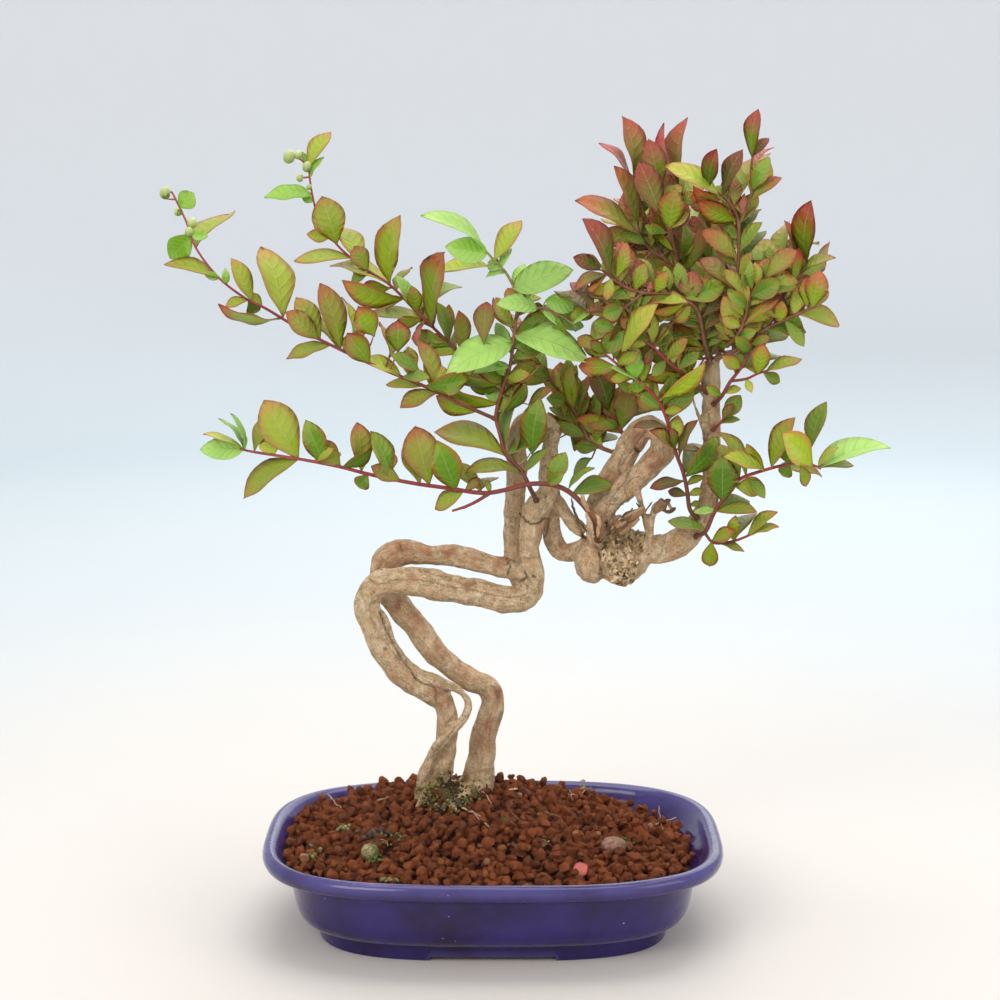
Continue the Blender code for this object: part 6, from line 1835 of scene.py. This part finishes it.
STEM_SLOTS = {
    "stem_middle": "green_leaf", "stem_back_centre": "green_leaf", "stem_right_lower": "green_leaf",
    "stem_trunk_side": "green_leaf", "crown_front": "green_leaf", "stem_left_lower": "olive_leaf",
    "stem_left_upper": "olive_leaf", "stem_low_left": "olive_leaf", "crown_right_lower": "olive_leaf",
    "crown_back_left": "olive_leaf", "crown_back": "olive_leaf", "crown_back_right": "olive_leaf",
}
# Flower buds: the stem, pixel, depth and radius in pixels
BUDS = [
    ("stem_left_lower", 165, 193, -21, 6.5), ("stem_left_lower", 178, 212, -22, 4.4),
    ("stem_left_lower", 192, 223, -23, 5.6), ("stem_left_lower", 189, 232, -24, 5.2),
    ("stem_left_upper", 289, 157, 26, 7.0), ("stem_left_upper", 298, 155, 26, 4.6),
    ("stem_left_upper", 307, 167, 26, 5.6), ("stem_left_upper", 300, 178, 26, 4.2),
    ("stem_left_upper", 309, 187, 26, 3.2), ("stem_middle", 523, 296, -3, 4),
]
BUD_RIBS = 0.16
BUD_POINT = 0.25
BUD_LEAN = 0.7
BUD_AXIS = (0.4, 0.2)
BUD_SLIMNESS = 0.92
BUD_STALK = 1.3
# Painted light on the buds: the tone low down and the paler tone high up
BUD_SHADED_BELOW = light_of(130, 158, 72)
BUD_LIT_ABOVE = light_of(204, 210, 148)


def fine_twig(route, start=None):
    """A twig's fine centre line, from its solid's foot where it has one, set a little into its carrier."""
    centres, radii = along_route(route, TWIG_FINE_STEP)
    if start:
        foot, heading, radius = start
        nearest = min(range(len(centres)), key=lambda i: (centres[i] - foot).length)
        while (centres[nearest] - foot).dot(heading) <= 0:
            nearest += 1
        centres = [foot - heading * TWIG_SET_IN, foot, foot + heading * TWIG_COLLAR, *centres[nearest:]]
        radii = [radius * TWIG_FLARE, radius * TWIG_FLARE, radius, *radii[nearest:]]
        if (centres[3] - centres[2]).dot(heading) <= 0:
            del centres[2], radii[2]
    return centres, radii


def twig_tone(share, kind):
    """A twig's tone, from woody at its foot to young at its tip."""
    tones = TWIG_TONES[kind]
    place = share * (len(tones) - 1)
    k = min(len(tones) - 2, int(place))
    return tones[k].lerp(tones[k + 1], place - k)


def add_twigs(bm, layers, twigs, stalks, kind):
    """The twigs and the leaf stalks, with their tones."""
    tone_layer = layers[0]
    before = len(bm.faces)
    bm.from_mesh(hose(twigs, TWIG_HOSE_SIDES, "twigs"))
    split = len(bm.faces)
    bm.from_mesh(hose(stalks, STALK_HOSE_SIDES, "stalks"))
    bm.faces.ensure_lookup_table()
    line = [(centre, i / (len(centres) - 1)) for centres, _ in twigs for i, centre in enumerate(centres)]
    net = net_of(line)
    for face in bm.faces[before:]:
        face.material_index = 1
        face.smooth = True
        stalk = face.index >= split
        share = 1.0 if stalk else line[net.find(face.calc_center_median())[1]][1]
        tone = (*twig_tone(share, kind), 1)
        for loop in face.loops:
            loop[tone_layer] = tone


def nearest_centre(point, twigs):
    """The fine twig point nearest to a joint."""
    best = min(((centres[i] - point).length, centres[i]) for centres, _ in twigs for i in range(len(centres)))
    return best[1]


def add_bud(bm, layers, px, centre, size):
    """One round flower bud with a seam and a short point, with painted light: paler on top, darker below."""
    tone_layer, map_layer, _ = layers
    verts = bmesh.ops.create_icosphere(bm, subdivisions=3, radius=1)["verts"]
    for vert in verts:
        ribs = 1 - BUD_RIBS * abs(math.cos(3 * math.atan2(vert.co.y, vert.co.x))) * (1 - abs(vert.co.z))
        point = 1 + BUD_POINT * max(0.0, vert.co.z) ** 6
        slim = ribs * BUD_SLIMNESS
        vert.co = Vector((vert.co.x * slim, vert.co.y * slim, vert.co.z * point)) * size
    side = 1 if int(px) % 2 else -1
    lean = Quaternion(Vector((side, *BUD_AXIS)).normalized(), BUD_LEAN)
    bmesh.ops.rotate(bm, matrix=lean.to_matrix(), verts=verts)
    bmesh.ops.translate(bm, vec=centre, verts=verts)
    for face in {face for vert in verts for face in vert.link_faces}:
        face.smooth = True
        for loop in face.loops:
            # Painted light: the higher on the bud, the paler
            high = (loop.vert.co.z - centre.z) / size * 0.5 + 0.5
            loop[tone_layer] = (*BUD_SHADED_BELOW.lerp(BUD_LIT_ABOVE, clamp(high)), 1)
            loop[map_layer].uv = (0.5, 0.5)


def add_buds(bm, layers, name, twigs):
    """The flower buds that a stem's end carries, and the stalks that they need."""
    stalks = []
    for stem, px, py, depth, radius in BUDS:
        if stem != name:
            continue
        centre = read_point(px, py, depth)
        size = radius * pixel_at(centre)
        add_bud(bm, layers, px, centre, size)
        joint = nearest_centre(centre, twigs)
        if (joint - centre).length > size:
            stalks.append(([joint, joint.lerp(centre, 0.5), centre], [STALK_RADIUS * BUD_STALK] * 3))
    return stalks


def build_stem(name, seed):
    """One leafy stem: twigs, stalks, buds and leaves."""
    routes, _, _ = LEAFY_STEMS[name]
    leaves, corners = placed_leaves(name, seed)
    start = trimmed_start(routes[0], corners)
    twigs = [fine_twig(routes[0], start), *(fine_twig(route) for route in routes[1:])]
    bm = bmesh.new()
    layers = leaf_layers(bm)
    stalks = []
    blush = CROWN_BLUSH_START if name.startswith("crown") else BLUSH_START
    for place, letter, draw in leaves:
        add_leaf(bm, layers, place, letter, draw, blush)
        joint = nearest_centre(place[0], twigs)
        inner = leaf_point(place, LEAF_FOOT, 0)
        if (inner - joint).length > STALK_LEAST:
            bend = place[1].lerp(joint, STALK_BEND)
            stalks.append(([joint, bend, inner], [STALK_RADIUS * share for share in STALK_TAPER]))
    bm.faces.ensure_lookup_table()
    stalks += add_buds(bm, layers, name, twigs)
    add_twigs(bm, layers, twigs, stalks, TWIG_KINDS.get(name, "red"))
    to_piece(bm, name + "_leaves", ("leaf", "twig"), (name,), STEM_SLOTS.get(name, "red_leaf"))


# The dense inner foliage


INNER_AHEAD = (0.3, 1.1)
INNER_BACK = 0.8
INNER_SET_BACK = 0.10
INNER_RISE = 0.25
INNER_SWAY = 0.5
INNER_FOLD = 0.1
INNER_LENGTH = (0.011, 0.020)
INNER_STALK = 0.0012
INNER_HALF_WIDTH = (0.20, 0.28)
INNER_TESTS = [(0.35, -1), (0.35, 1), (0.7, -1), (0.7, 1), (1, 0)]
# How many leaves a stem has in its dense part, and their colours in turn
INNER_LEAVES = {
    "stem_back_centre": (70, "gogcg"), "stem_back_small": (30, "gcor"), "crown_left_lower": (70, "gcodg"),
    "crown_back_left": (60, "gogcr"), "crown_back": (50, "gogr"), "crown_back_right": (50, "gogc"),
    "crown_left": (50, "gcord"), "crown_middle": (50, "gcog"), "crown_right": (40, "gocr"),
    "crown_front": (30, "goy"), "crown_right_lower": (36, "goc"), "crown_far_right": (30, "gcr"),
    "stem_middle": (36, "gop"), "stem_left_lower": (40, "gooc"), "stem_left_upper": (40, "goco"),
    "stem_right_red": (30, "goc"),
}
# Closed lines round the parts of the view that foliage fills
DENSE_FOLIAGE = [
    [(600, 215), (618, 190), (640, 180), (660, 170), (690, 176), (716, 186), (728, 168), (752, 160),
     (766, 180), (758, 215), (745, 250), (757, 258), (770, 240), (795, 250), (810, 262), (826, 275),
     (824, 300), (810, 318), (786, 330), (766, 342), (752, 350), (738, 352), (724, 350), (706, 354),
     (697, 380), (688, 428), (676, 422), (655, 415), (640, 412), (624, 420), (612, 432), (602, 448),
     (588, 462), (575, 452), (560, 440), (548, 430), (548, 400), (552, 385), (560, 375), (560, 318),
     (553, 294), (570, 283), (598, 280), (596, 240)],
    [(345, 282), (352, 264), (388, 266), (412, 292), (440, 268), (470, 300), (490, 300), (510, 260),
     (535, 262), (570, 300), (575, 340), (560, 350), (545, 362), (535, 375), (545, 395), (545, 430),
     (520, 440), (505, 430), (500, 402), (470, 395), (440, 392), (410, 385), (385, 360), (355, 320)],
]
# Leaves of the dense part that show singly: pixel of the root, of the tip, width in pixels, colour
MORE_LEAVES = {
    "stem_middle": [
        (541, 302, 579, 327, 24, "p"), (520, 334, 573, 324, 28, "g"), (512, 345, 541, 352, 14, "g"),
        (506, 372, 481, 378, 12, "o"), (512, 386, 484, 372, 14, "g"), (515, 398, 541, 366, 12, "o"),
        (511, 306, 507, 288, 13, "c"), (516, 338, 494, 304, 12, "c"),
        (506, 262, 512, 248, 8, "p"), (500, 268, 488, 262, 14, "p"),
    ],
    "stem_left_lower": [
        (389, 358, 381, 324, 16, "c"), (410, 372, 409, 346, 13, "o"), (361, 352, 366, 324, 10, "c"),
        (430, 390, 424, 358, 12, "o"), (262, 306, 250, 292, 9, "o"), (344, 352, 352, 334, 10, "o"),
    ],
    "stem_left_upper": [
        (420, 314, 431, 294, 10, "o"), (404, 298, 385, 307, 9, "o"), (448, 340, 430, 336, 10, "o"),
        (474, 366, 480, 344, 11, "c"), (396, 290, 412, 268, 9, "o"),
    ],
    "stem_low_left": [
        (420, 484, 402, 448, 18, "o"), (388, 478, 394, 454, 12, "c"), (330, 466, 340, 452, 9, "o"),
        (478, 493, 498, 478, 9, "c"),
    ],
    "stem_back_centre": [
        (566, 400, 560, 362, 22, "c"), (577, 417, 591, 376, 10, "c"), (597, 430, 603, 390, 15, "g"),
        (571, 424, 552, 396, 20, "o"), (585, 436, 556, 424, 18, "g"), (600, 446, 575, 446, 14, "g"),
        (596, 440, 616, 436, 12, "g"), (556, 440, 548, 412, 12, "o"), (592, 458, 574, 474, 12, "g"),
    ],
    "crown_left_lower": [
        (588, 312, 556, 291, 15, "d"), (594, 308, 571, 281, 15, "d"), (600, 308, 599, 283, 17, "r"),
        (606, 300, 588, 290, 12, "d"), (630, 330, 612, 300, 16, "o"), (640, 328, 628, 296, 9, "c"),
        (618, 330, 594, 322, 16, "g"), (612, 318, 590, 306, 16, "c"), (650, 340, 626, 330, 16, "g"),
    ],
    "crown_left": [
        (619, 284, 596, 244, 15, "c"), (628, 280, 624, 240, 22, "r"), (604, 268, 574, 257, 12, "d"),
    ],
    "crown_front": [
        (622, 330, 634, 331, 10, "y"), (590, 342, 634, 331, 22, "y"), (712, 347, 683, 348, 10, "o"),
        (714, 352, 722, 326, 15, "c"), (689, 303, 645, 304, 12, "o"),
    ],
}


def inside_line(px, py, line):
    """Whether a pixel lies inside a closed line of pixels."""
    inside = False
    for (one_x, one_y), (two_x, two_y) in zip(line, line[1:] + line[:1]):
        if (one_y > py) != (two_y > py) and px < one_x + (two_x - one_x) * (py - one_y) / (two_y - one_y):
            inside = not inside
    return inside


def spiral_leaves(twigs, count, letters, draw):
    """Leaves in a spiral along a stem's twigs that head away from the viewer, where the foliage is dense."""
    stops = [(centres[i], (centres[i + 1] - centres[i]).normalized())
             for centres, _ in twigs for i in range(1, len(centres) - 1)]
    for k in range(count):
        joint, ahead = stops[int((k + 0.5) * len(stops) / count)]
        out = Quaternion(ahead, FAR_LEAF_TURN * k) @ ahead.orthogonal().normalized()
        way = out + ahead * draw.uniform(*INNER_AHEAD)
        way.y = abs(way.y) * INNER_BACK + INNER_SET_BACK
        way.z += INNER_RISE
        way.normalize()
        length = draw.uniform(*INNER_LENGTH)
        root = joint + way * INNER_STALK
        sway = Vector((draw.gauss(0, INNER_SWAY), 0, draw.gauss(0, INNER_SWAY)))
        side = way.cross((VIEW_EYE - root).normalized() + sway)
        side = side.normalized() * length * draw.uniform(*INNER_HALF_WIDTH)
        up = side.cross(way).normalized()
        place = (joint, root, way * length, side, up, draw.uniform(*LEAF_ARCH) * length,
                 INNER_FOLD * side.length)
        shown = [pixel_of(leaf_point(place, t, across)) for t, across in INNER_TESTS]
        if any(all(inside_line(*pixel, line) for pixel in shown) for line in DENSE_FOLIAGE):
            yield place, letters[k % len(letters)]


def build_inner_leaves(name, seed):
    """The leaves behind those that a stem's solid has, each on a stalk from one of its twigs."""
    draw = random.Random(600 + seed)
    twigs = [along_route(route, TWIG_FINE_STEP) for route in LEAFY_STEMS[name][0]]
    leaves = list(spiral_leaves(twigs, *INNER_LEAVES.get(name, (0, "g")), draw))
    for reading in MORE_LEAVES.get(name, ()):
        leaves.append((next(leaf_choices(reading, twigs, True, draw)), reading[5]))
    if not leaves:
        return
    bm = bmesh.new()
    layers = leaf_layers(bm)
    stalks = []
    for place, letter in leaves:
        add_leaf(bm, layers, place, letter, draw, CROWN_BLUSH_START)
        ends = [place[0], place[1], leaf_point(place, LEAF_FOOT, 0)]
        stalks.append((ends, [STALK_RADIUS * STALK_TAPER[0]] * 3))
    add_twigs(bm, layers, stalks[:1], stalks[1:], "brown")
    to_piece(bm, name + "_inner_leaves", ("leaf", "twig"), slot=STEM_SLOTS.get(name, "red_leaf"))


# Pebbles, moss and small things on the soil


GRAIN_TOP = 0.0018
FALLEN_BIT = (580, 870)
FALLEN_BIT_LIFT = 0.0032
FALLEN_BIT_RIB = Vector((0.0072, 0.0020, 0.0046))
FALLEN_BIT_FACING = Vector((0, -0.8, 0.6))
FALLEN_BIT_HALF = 0.0036
FALLEN_BIT_BEND = (0.0008, 0.0006)
GRAVEL_LIFT = 0.0030
GRAVEL_SQUASH = (0.6, 0.9)
GRAVEL_SHAPES = 3
PEBBLE_PATCH_WAY = Vector((0.75, -0.2, 0.55)).normalized()
PEBBLE_LOOKS = {
    "pebble_pale": ((132, 92, 74), (176, 132, 112), (140, 104, 84), "pale_stone"),
    "pebble_mossy": ((112, 108, 62), (176, 166, 112), (76, 96, 34), "mossy_stone"),
}
# Gravel: pixel, size and tone
GRAVEL = [
    (372, 834, 0.0062, (40, 42, 46)), (381, 832, 0.0056, (34, 36, 40)), (364, 838, 0.0046, (50, 50, 48)),
    (377, 840, 0.0050, (38, 40, 42)), (389, 833, 0.0040, (46, 48, 50)), (358, 833, 0.0044, (58, 54, 48)),
    (393, 829, 0.0038, (88, 92, 66)), (312, 846, 0.0040, (120, 112, 78)),
    (320, 850, 0.0034, (140, 136, 92)), (457, 803, 0.0048, (60, 62, 56)), (444, 808, 0.0046, (52, 54, 50)),
    (520, 795, 0.0040, (150, 110, 80)), (650, 826, 0.0040, (150, 112, 84)),
    (598, 833, 0.0036, (170, 120, 84)), (304, 858, 0.0060, (170, 110, 66)),
    (332, 824, 0.0038, (150, 100, 66)), (575, 834, 0.0046, (178, 104, 58)),
    (487, 862, 0.0044, (160, 98, 58)),
]
# Moss: pixel, reach across and down in pixels, number of tufts, darkest and lightest tone
MOSS = [
    (432, 795, 5, 6, 110, (62, 50, 20), (178, 158, 76)),
    (446, 795, 8, 7, 190, (44, 34, 17), (120, 100, 48)), (452, 788, 6, 5, 100, (40, 31, 17), (98, 82, 40)),
    (446, 803, 7, 3, 70, (84, 70, 26), (196, 174, 90)), (462, 802, 5, 3, 50, (70, 66, 30), (160, 150, 94)),
    (476, 792, 4, 4, 40, (80, 76, 36), (150, 140, 72)),
    (343, 828, 4, 2, 22, (120, 128, 70), (196, 196, 140)),
    (312, 855, 3, 2, 16, (96, 110, 50), (160, 166, 100)),
    (372, 857, 4, 3, 26, (70, 84, 30), (120, 140, 50)), (503, 818, 3, 2, 14, (60, 76, 34), (104, 120, 60)),
    (625, 843, 4, 3, 26, (74, 92, 36), (122, 140, 64)), (396, 836, 3, 3, 14, (90, 96, 56), (140, 140, 90)),
    (380, 841, 5, 4, 24, (84, 90, 50), (140, 142, 92)),
    (583, 786, 2, 2, 8, (180, 170, 70), (214, 204, 100)),
    (546, 843, 3, 2, 10, (110, 112, 76), (150, 146, 100)),
    (388, 880, 4, 1, 8, (120, 120, 76), (170, 166, 110)),
]
MOSS_LIFT = 0.0016
MOSS_PILE = 0.0016
MOSS_SIZE = (0.0007, 0.0020)
MOSS_TALLNESS = (0.9, 2.2)
# Thin roots and twiglets: pixels along, radius and lift in mm, tone
FINE_ROOTS = [
    ([(478, 789), (484, 793), (488, 798), (491, 804)], 0.55, 1.0, (224, 196, 158)),
    ([(462, 808), (472, 812), (480, 816), (486, 823), (491, 831)], 0.50, 0.9, (206, 174, 138)),
    ([(471, 811), (478, 818), (487, 825)], 0.40, 0.9, (216, 184, 146)),
    ([(517, 789), (509, 790), (506, 794), (510, 802)], 0.60, 1.3, (232, 188, 140)),
    ([(568, 794), (578, 795), (586, 790), (591, 787)], 0.34, 1.8, (190, 160, 130)),
    ([(570, 790), (573, 800)], 0.30, 1.6, (176, 146, 112)),
    ([(512, 800), (508, 810), (516, 818), (530, 826)], 0.30, 1.2, (120, 84, 62)),
    ([(659, 806), (660, 818), (663, 830)], 0.34, 2.2, (186, 140, 110)),
    ([(656, 824), (668, 820), (676, 817)], 0.40, 1.8, (226, 186, 170)),
    ([(328, 795), (334, 801), (341, 808)], 0.42, 1.4, (214, 172, 140)),
    ([(378, 800), (384, 799), (390, 797)], 0.42, 1.2, (214, 174, 138)),
    ([(380, 840), (386, 841), (388, 846)], 0.36, 1.4, (214, 130, 90)),
    ([(545, 812), (560, 818), (566, 826)], 0.26, 1.0, (150, 112, 84)),
]
ROOT_BENDS = 5
ROOT_TAPER = 0.6
ROOT_WOBBLE = 0.0005


def build_pebbles():
    """The two pebbles, worn, with a patch of another tone, each where its solid lies."""
    for name, (low_tone, high_tone, patch, slot) in PEBBLE_LOOKS.items():
        low, high = (Vector(corner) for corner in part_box(name))
        centre = (low + high) / 2
        half = (high - low) / 2
        bm = bmesh.new()
        tone = bm.verts.layers.float_color.new("tone")
        verts = bmesh.ops.create_icosphere(bm, subdivisions=5, radius=1)["verts"]
        for vert in verts:
            bumps = 0.10 * noise.noise(vert.co * 1.7 + centre * 90) + 0.025 * noise.noise(vert.co * 9)
            colour = light_of(*low_tone).lerp(light_of(*high_tone), clamp(0.5 + noise.noise(vert.co * 3.1)))
            patched = clamp((vert.co.dot(PEBBLE_PATCH_WAY) - 0.45 + 0.5 * noise.noise(vert.co * 5)) * 3)
            vert[tone] = (*colour.lerp(light_of(*patch), patched), 1)
            vert.co = centre + Vector([vert.co[i] * half[i] * (0.97 + bumps) for i in range(3)])
        smooth_faces(bm, ALL_SMOOTH)
        to_piece(bm, name + "_worn", ("stone",), (name,), slot)


def build_gravel():
    """A few dark bits of gravel and a few pale ones among the grains."""
    draw = random.Random(23)
    places = []
    for px, py, size, tone in GRAVEL:
        place = on_soil(px, py, GRAVEL_LIFT)
        scale = Vector((size, size * draw.uniform(*GRAVEL_SQUASH), size * draw.uniform(*GRAVEL_SQUASH)))
        places.append((Matrix.LocRotScale(place, turned(draw), scale), shade(*tone)))
    scatter(grain_shapes(GRAVEL_SHAPES, draw), places, "dark_gravel", "stone", "clay_grains")


def build_moss(surface):
    """Moss at the foot of the wood, over the roots and between the grains: clumps of small tufts."""
    draw = random.Random(31)
    bm = bmesh.new()
    bmesh.ops.create_icosphere(bm, subdivisions=1, radius=0.5)
    smooth_faces(bm, ALL_SMOOTH)
    tuft = mesh_from(bm, "moss_tuft")
    places = []
    for px, py, reach_x, reach_y, count, dark, light in MOSS:
        for _ in range(count):
            at = (px + draw.gauss(0, reach_x), py + draw.gauss(0, reach_y))
            place = on_soil(*at, MOSS_LIFT + draw.uniform(0, MOSS_PILE))
            hit, _ = sight_hit(surface, *at)
            if hit and hit.y < place.y:
                place = hit
            size = draw.uniform(*MOSS_SIZE)
            scale = Vector((size, size, size * draw.uniform(*MOSS_TALLNESS)))
            tone = light_of(*dark).lerp(light_of(*light), draw.random())
            places.append((Matrix.LocRotScale(place, turned(draw), scale), (*tone, 1)))
    scatter([tuft], places, "moss", "moss", "clay_grains")


def build_fine_roots():
    """Thin roots and dry twiglets that lie on the grains."""
    bm = bmesh.new()
    tone_layer = bm.loops.layers.float_color.new("tone")
    draw = random.Random(37)
    for pixels, radius, lift, tone in FINE_ROOTS:
        points = [on_soil(px, py, GRAIN_TOP + lift * MM) for px, py in pixels]
        centres = []
        for one, two in zip(points, points[1:]):
            for k in range(ROOT_BENDS):
                wobble = jolt(draw) * ROOT_WOBBLE
                centres.append(one.lerp(two, k / ROOT_BENDS) + wobble * (k > 0))
        centres.append(points[-1])
        thick = [radius * MM * (1 - ROOT_TAPER * i / len(centres)) for i in range(len(centres))]
        add_hose(bm, tone_layer, centres, thick, lambda: light_of(*tone))
    to_piece(bm, "fine_roots", ("twig",), slot="bark")


def build_fallen_leaf():
    """The pink bit of a fallen leaf."""
    middle = on_soil(*FALLEN_BIT, FALLEN_BIT_LIFT)
    side = FALLEN_BIT_RIB.cross(FALLEN_BIT_FACING).normalized()
    up = side.cross(FALLEN_BIT_RIB).normalized()
    root = middle - FALLEN_BIT_RIB / 2
    place = (middle, root, FALLEN_BIT_RIB, side * FALLEN_BIT_HALF, up, *FALLEN_BIT_BEND)
    bm = bmesh.new()
    add_leaf(bm, leaf_layers(bm), place, "k", random.Random(5), 0)
    to_piece(bm, "fallen_leaf_bit", ("leaf",), slot="red_leaf")


# Stage and light


STAGE_FLOOR = 1.6
STAGE_BEND = 0.7
STAGE_BEND_STEPS = 16
STAGE_WALL = 1.6
STAGE_SIDES = 96
STAGE_REACH = 4.0
STAGE_HEIGHT_SHARE = 1.6
STAGE_STOPS = [
    (0.0, shade(220, 213, 204)), (0.09, shade(220, 216, 211)), (0.20, shade(210, 217, 219)),
    (0.40, shade(214, 226, 231)), (0.62, shade(225, 229, 233)), (0.80, shade(229, 229, 231)),
    (1.0, shade(228, 226, 228)),
]


def stage_mesh():
    """The floor and the wall that it sweeps up into."""
    bm = bmesh.new()
    profile = [Vector((0, 0, 0)), Vector((STAGE_FLOOR, 0, 0))]
    for k in range(1, STAGE_BEND_STEPS + 1):
        angle = math.pi / 2 * k / STAGE_BEND_STEPS
        bend = Vector((math.sin(angle), 0, 1 - math.cos(angle))) * STAGE_BEND
        profile.append(Vector((STAGE_FLOOR, 0, 0)) + bend)
    profile.append(profile[-1] + Vector((0, 0, STAGE_WALL)))
    verts = [bm.verts.new(point) for point in profile]
    edges = [bm.edges.new(pair) for pair in zip(verts, verts[1:])]
    bmesh.ops.spin(bm, geom=[*verts, *edges], cent=(0, 0, 0), axis=(0, 0, 1), angle=2 * math.pi,
                   steps=STAGE_SIDES, use_merge=True)
    bmesh.ops.remove_doubles(bm, verts=bm.verts[:], dist=0.0001)
    bmesh.ops.recalc_face_normals(bm, faces=bm.faces[:])
    bmesh.ops.reverse_faces(bm, faces=bm.faces[:])
    smooth_faces(bm, ALL_SMOOTH)
    return mesh_from(bm, "pale_floor")


def stage_material():
    """A matt tone that changes softly with the distance from the middle and the height."""
    made, tree, shader, place = new_material("pale_sweep", 0.8)
    axes = add(tree, "SeparateXYZ", links={"Vector": place})
    flat = add(tree, "VectorMath", {1: (1, 1, 0)}, {0: place}, operation="MULTIPLY")
    away = add(tree, "VectorMath", links={0: flat.outputs[0]}, operation="LENGTH").outputs["Value"]
    reach = calculate(tree, "ADD", away, calculate(tree, "MULTIPLY", axes.outputs["Z"], STAGE_HEIGHT_SHARE))
    share = spread(tree, reach, 0.0, STAGE_REACH)
    tree.links.new(ramp(tree, share, STAGE_STOPS), shader.inputs["Base Color"])
    return made


def build_stage():
    """A pale floor that sweeps up into a wall all round."""
    mesh = stage_mesh()
    mesh.materials.append(stage_material())
    new_object("pale_floor", mesh)


WORLD_TONE = (0.98, 0.99, 1.0, 1)
WORLD_STRENGTH = 0.66
LIGHT_AIM = Vector((0, 0, 0.20))
# Soft boxes: name, place, size, power in watts, tone
SOFT_BOXES = [
    ("soft_box_front", (-0.9, -1.3, 1.3), 1.0, 15, (1.0, 0.98, 0.95)),
    ("soft_box_right", (1.3, -0.8, 0.9), 1.0, 6, (1.0, 0.99, 0.97)),
    ("soft_box_above", (0.1, 0.3, 1.7), 1.3, 15, (1.0, 1.0, 1.0)),
    ("soft_box_behind", (0.3, 1.4, 1.0), 1.2, 6, (0.96, 0.98, 1.0)),
]


def build_light():
    """Soft light from all round, with a broad soft box in front on the left and one above."""
    world = bpy.data.worlds.new("soft_room")
    world.use_nodes = True
    sky = world.node_tree.nodes["Background"]
    sky.inputs["Color"].default_value = WORLD_TONE
    sky.inputs["Strength"].default_value = WORLD_STRENGTH
    bpy.context.scene.world = world
    for name, place, size, power, tone in SOFT_BOXES:
        lamp = bpy.data.lights.new(name, "AREA")
        lamp.size = size
        lamp.energy = power
        lamp.color = tone
        item = new_object(name, lamp)
        item.location = place
        item.rotation_euler = (LIGHT_AIM - Vector(place)).to_track_quat("-Z", "Y").to_euler()


build_stage()
build_light()
build_pot()
build_soil_bed()
build_grains()
build_pebbles()
build_gravel()
build_fine_roots()
build_fallen_leaf()
wood_surface = build_wood()
build_flakes(wood_surface)
build_moss(wood_surface)
build_splinters()
for number, stem in enumerate(LEAFY_STEMS):
    build_stem(stem, number)
    build_inner_leaves(stem, number)
bpy.context.scene.view_settings.view_transform = "Standard"
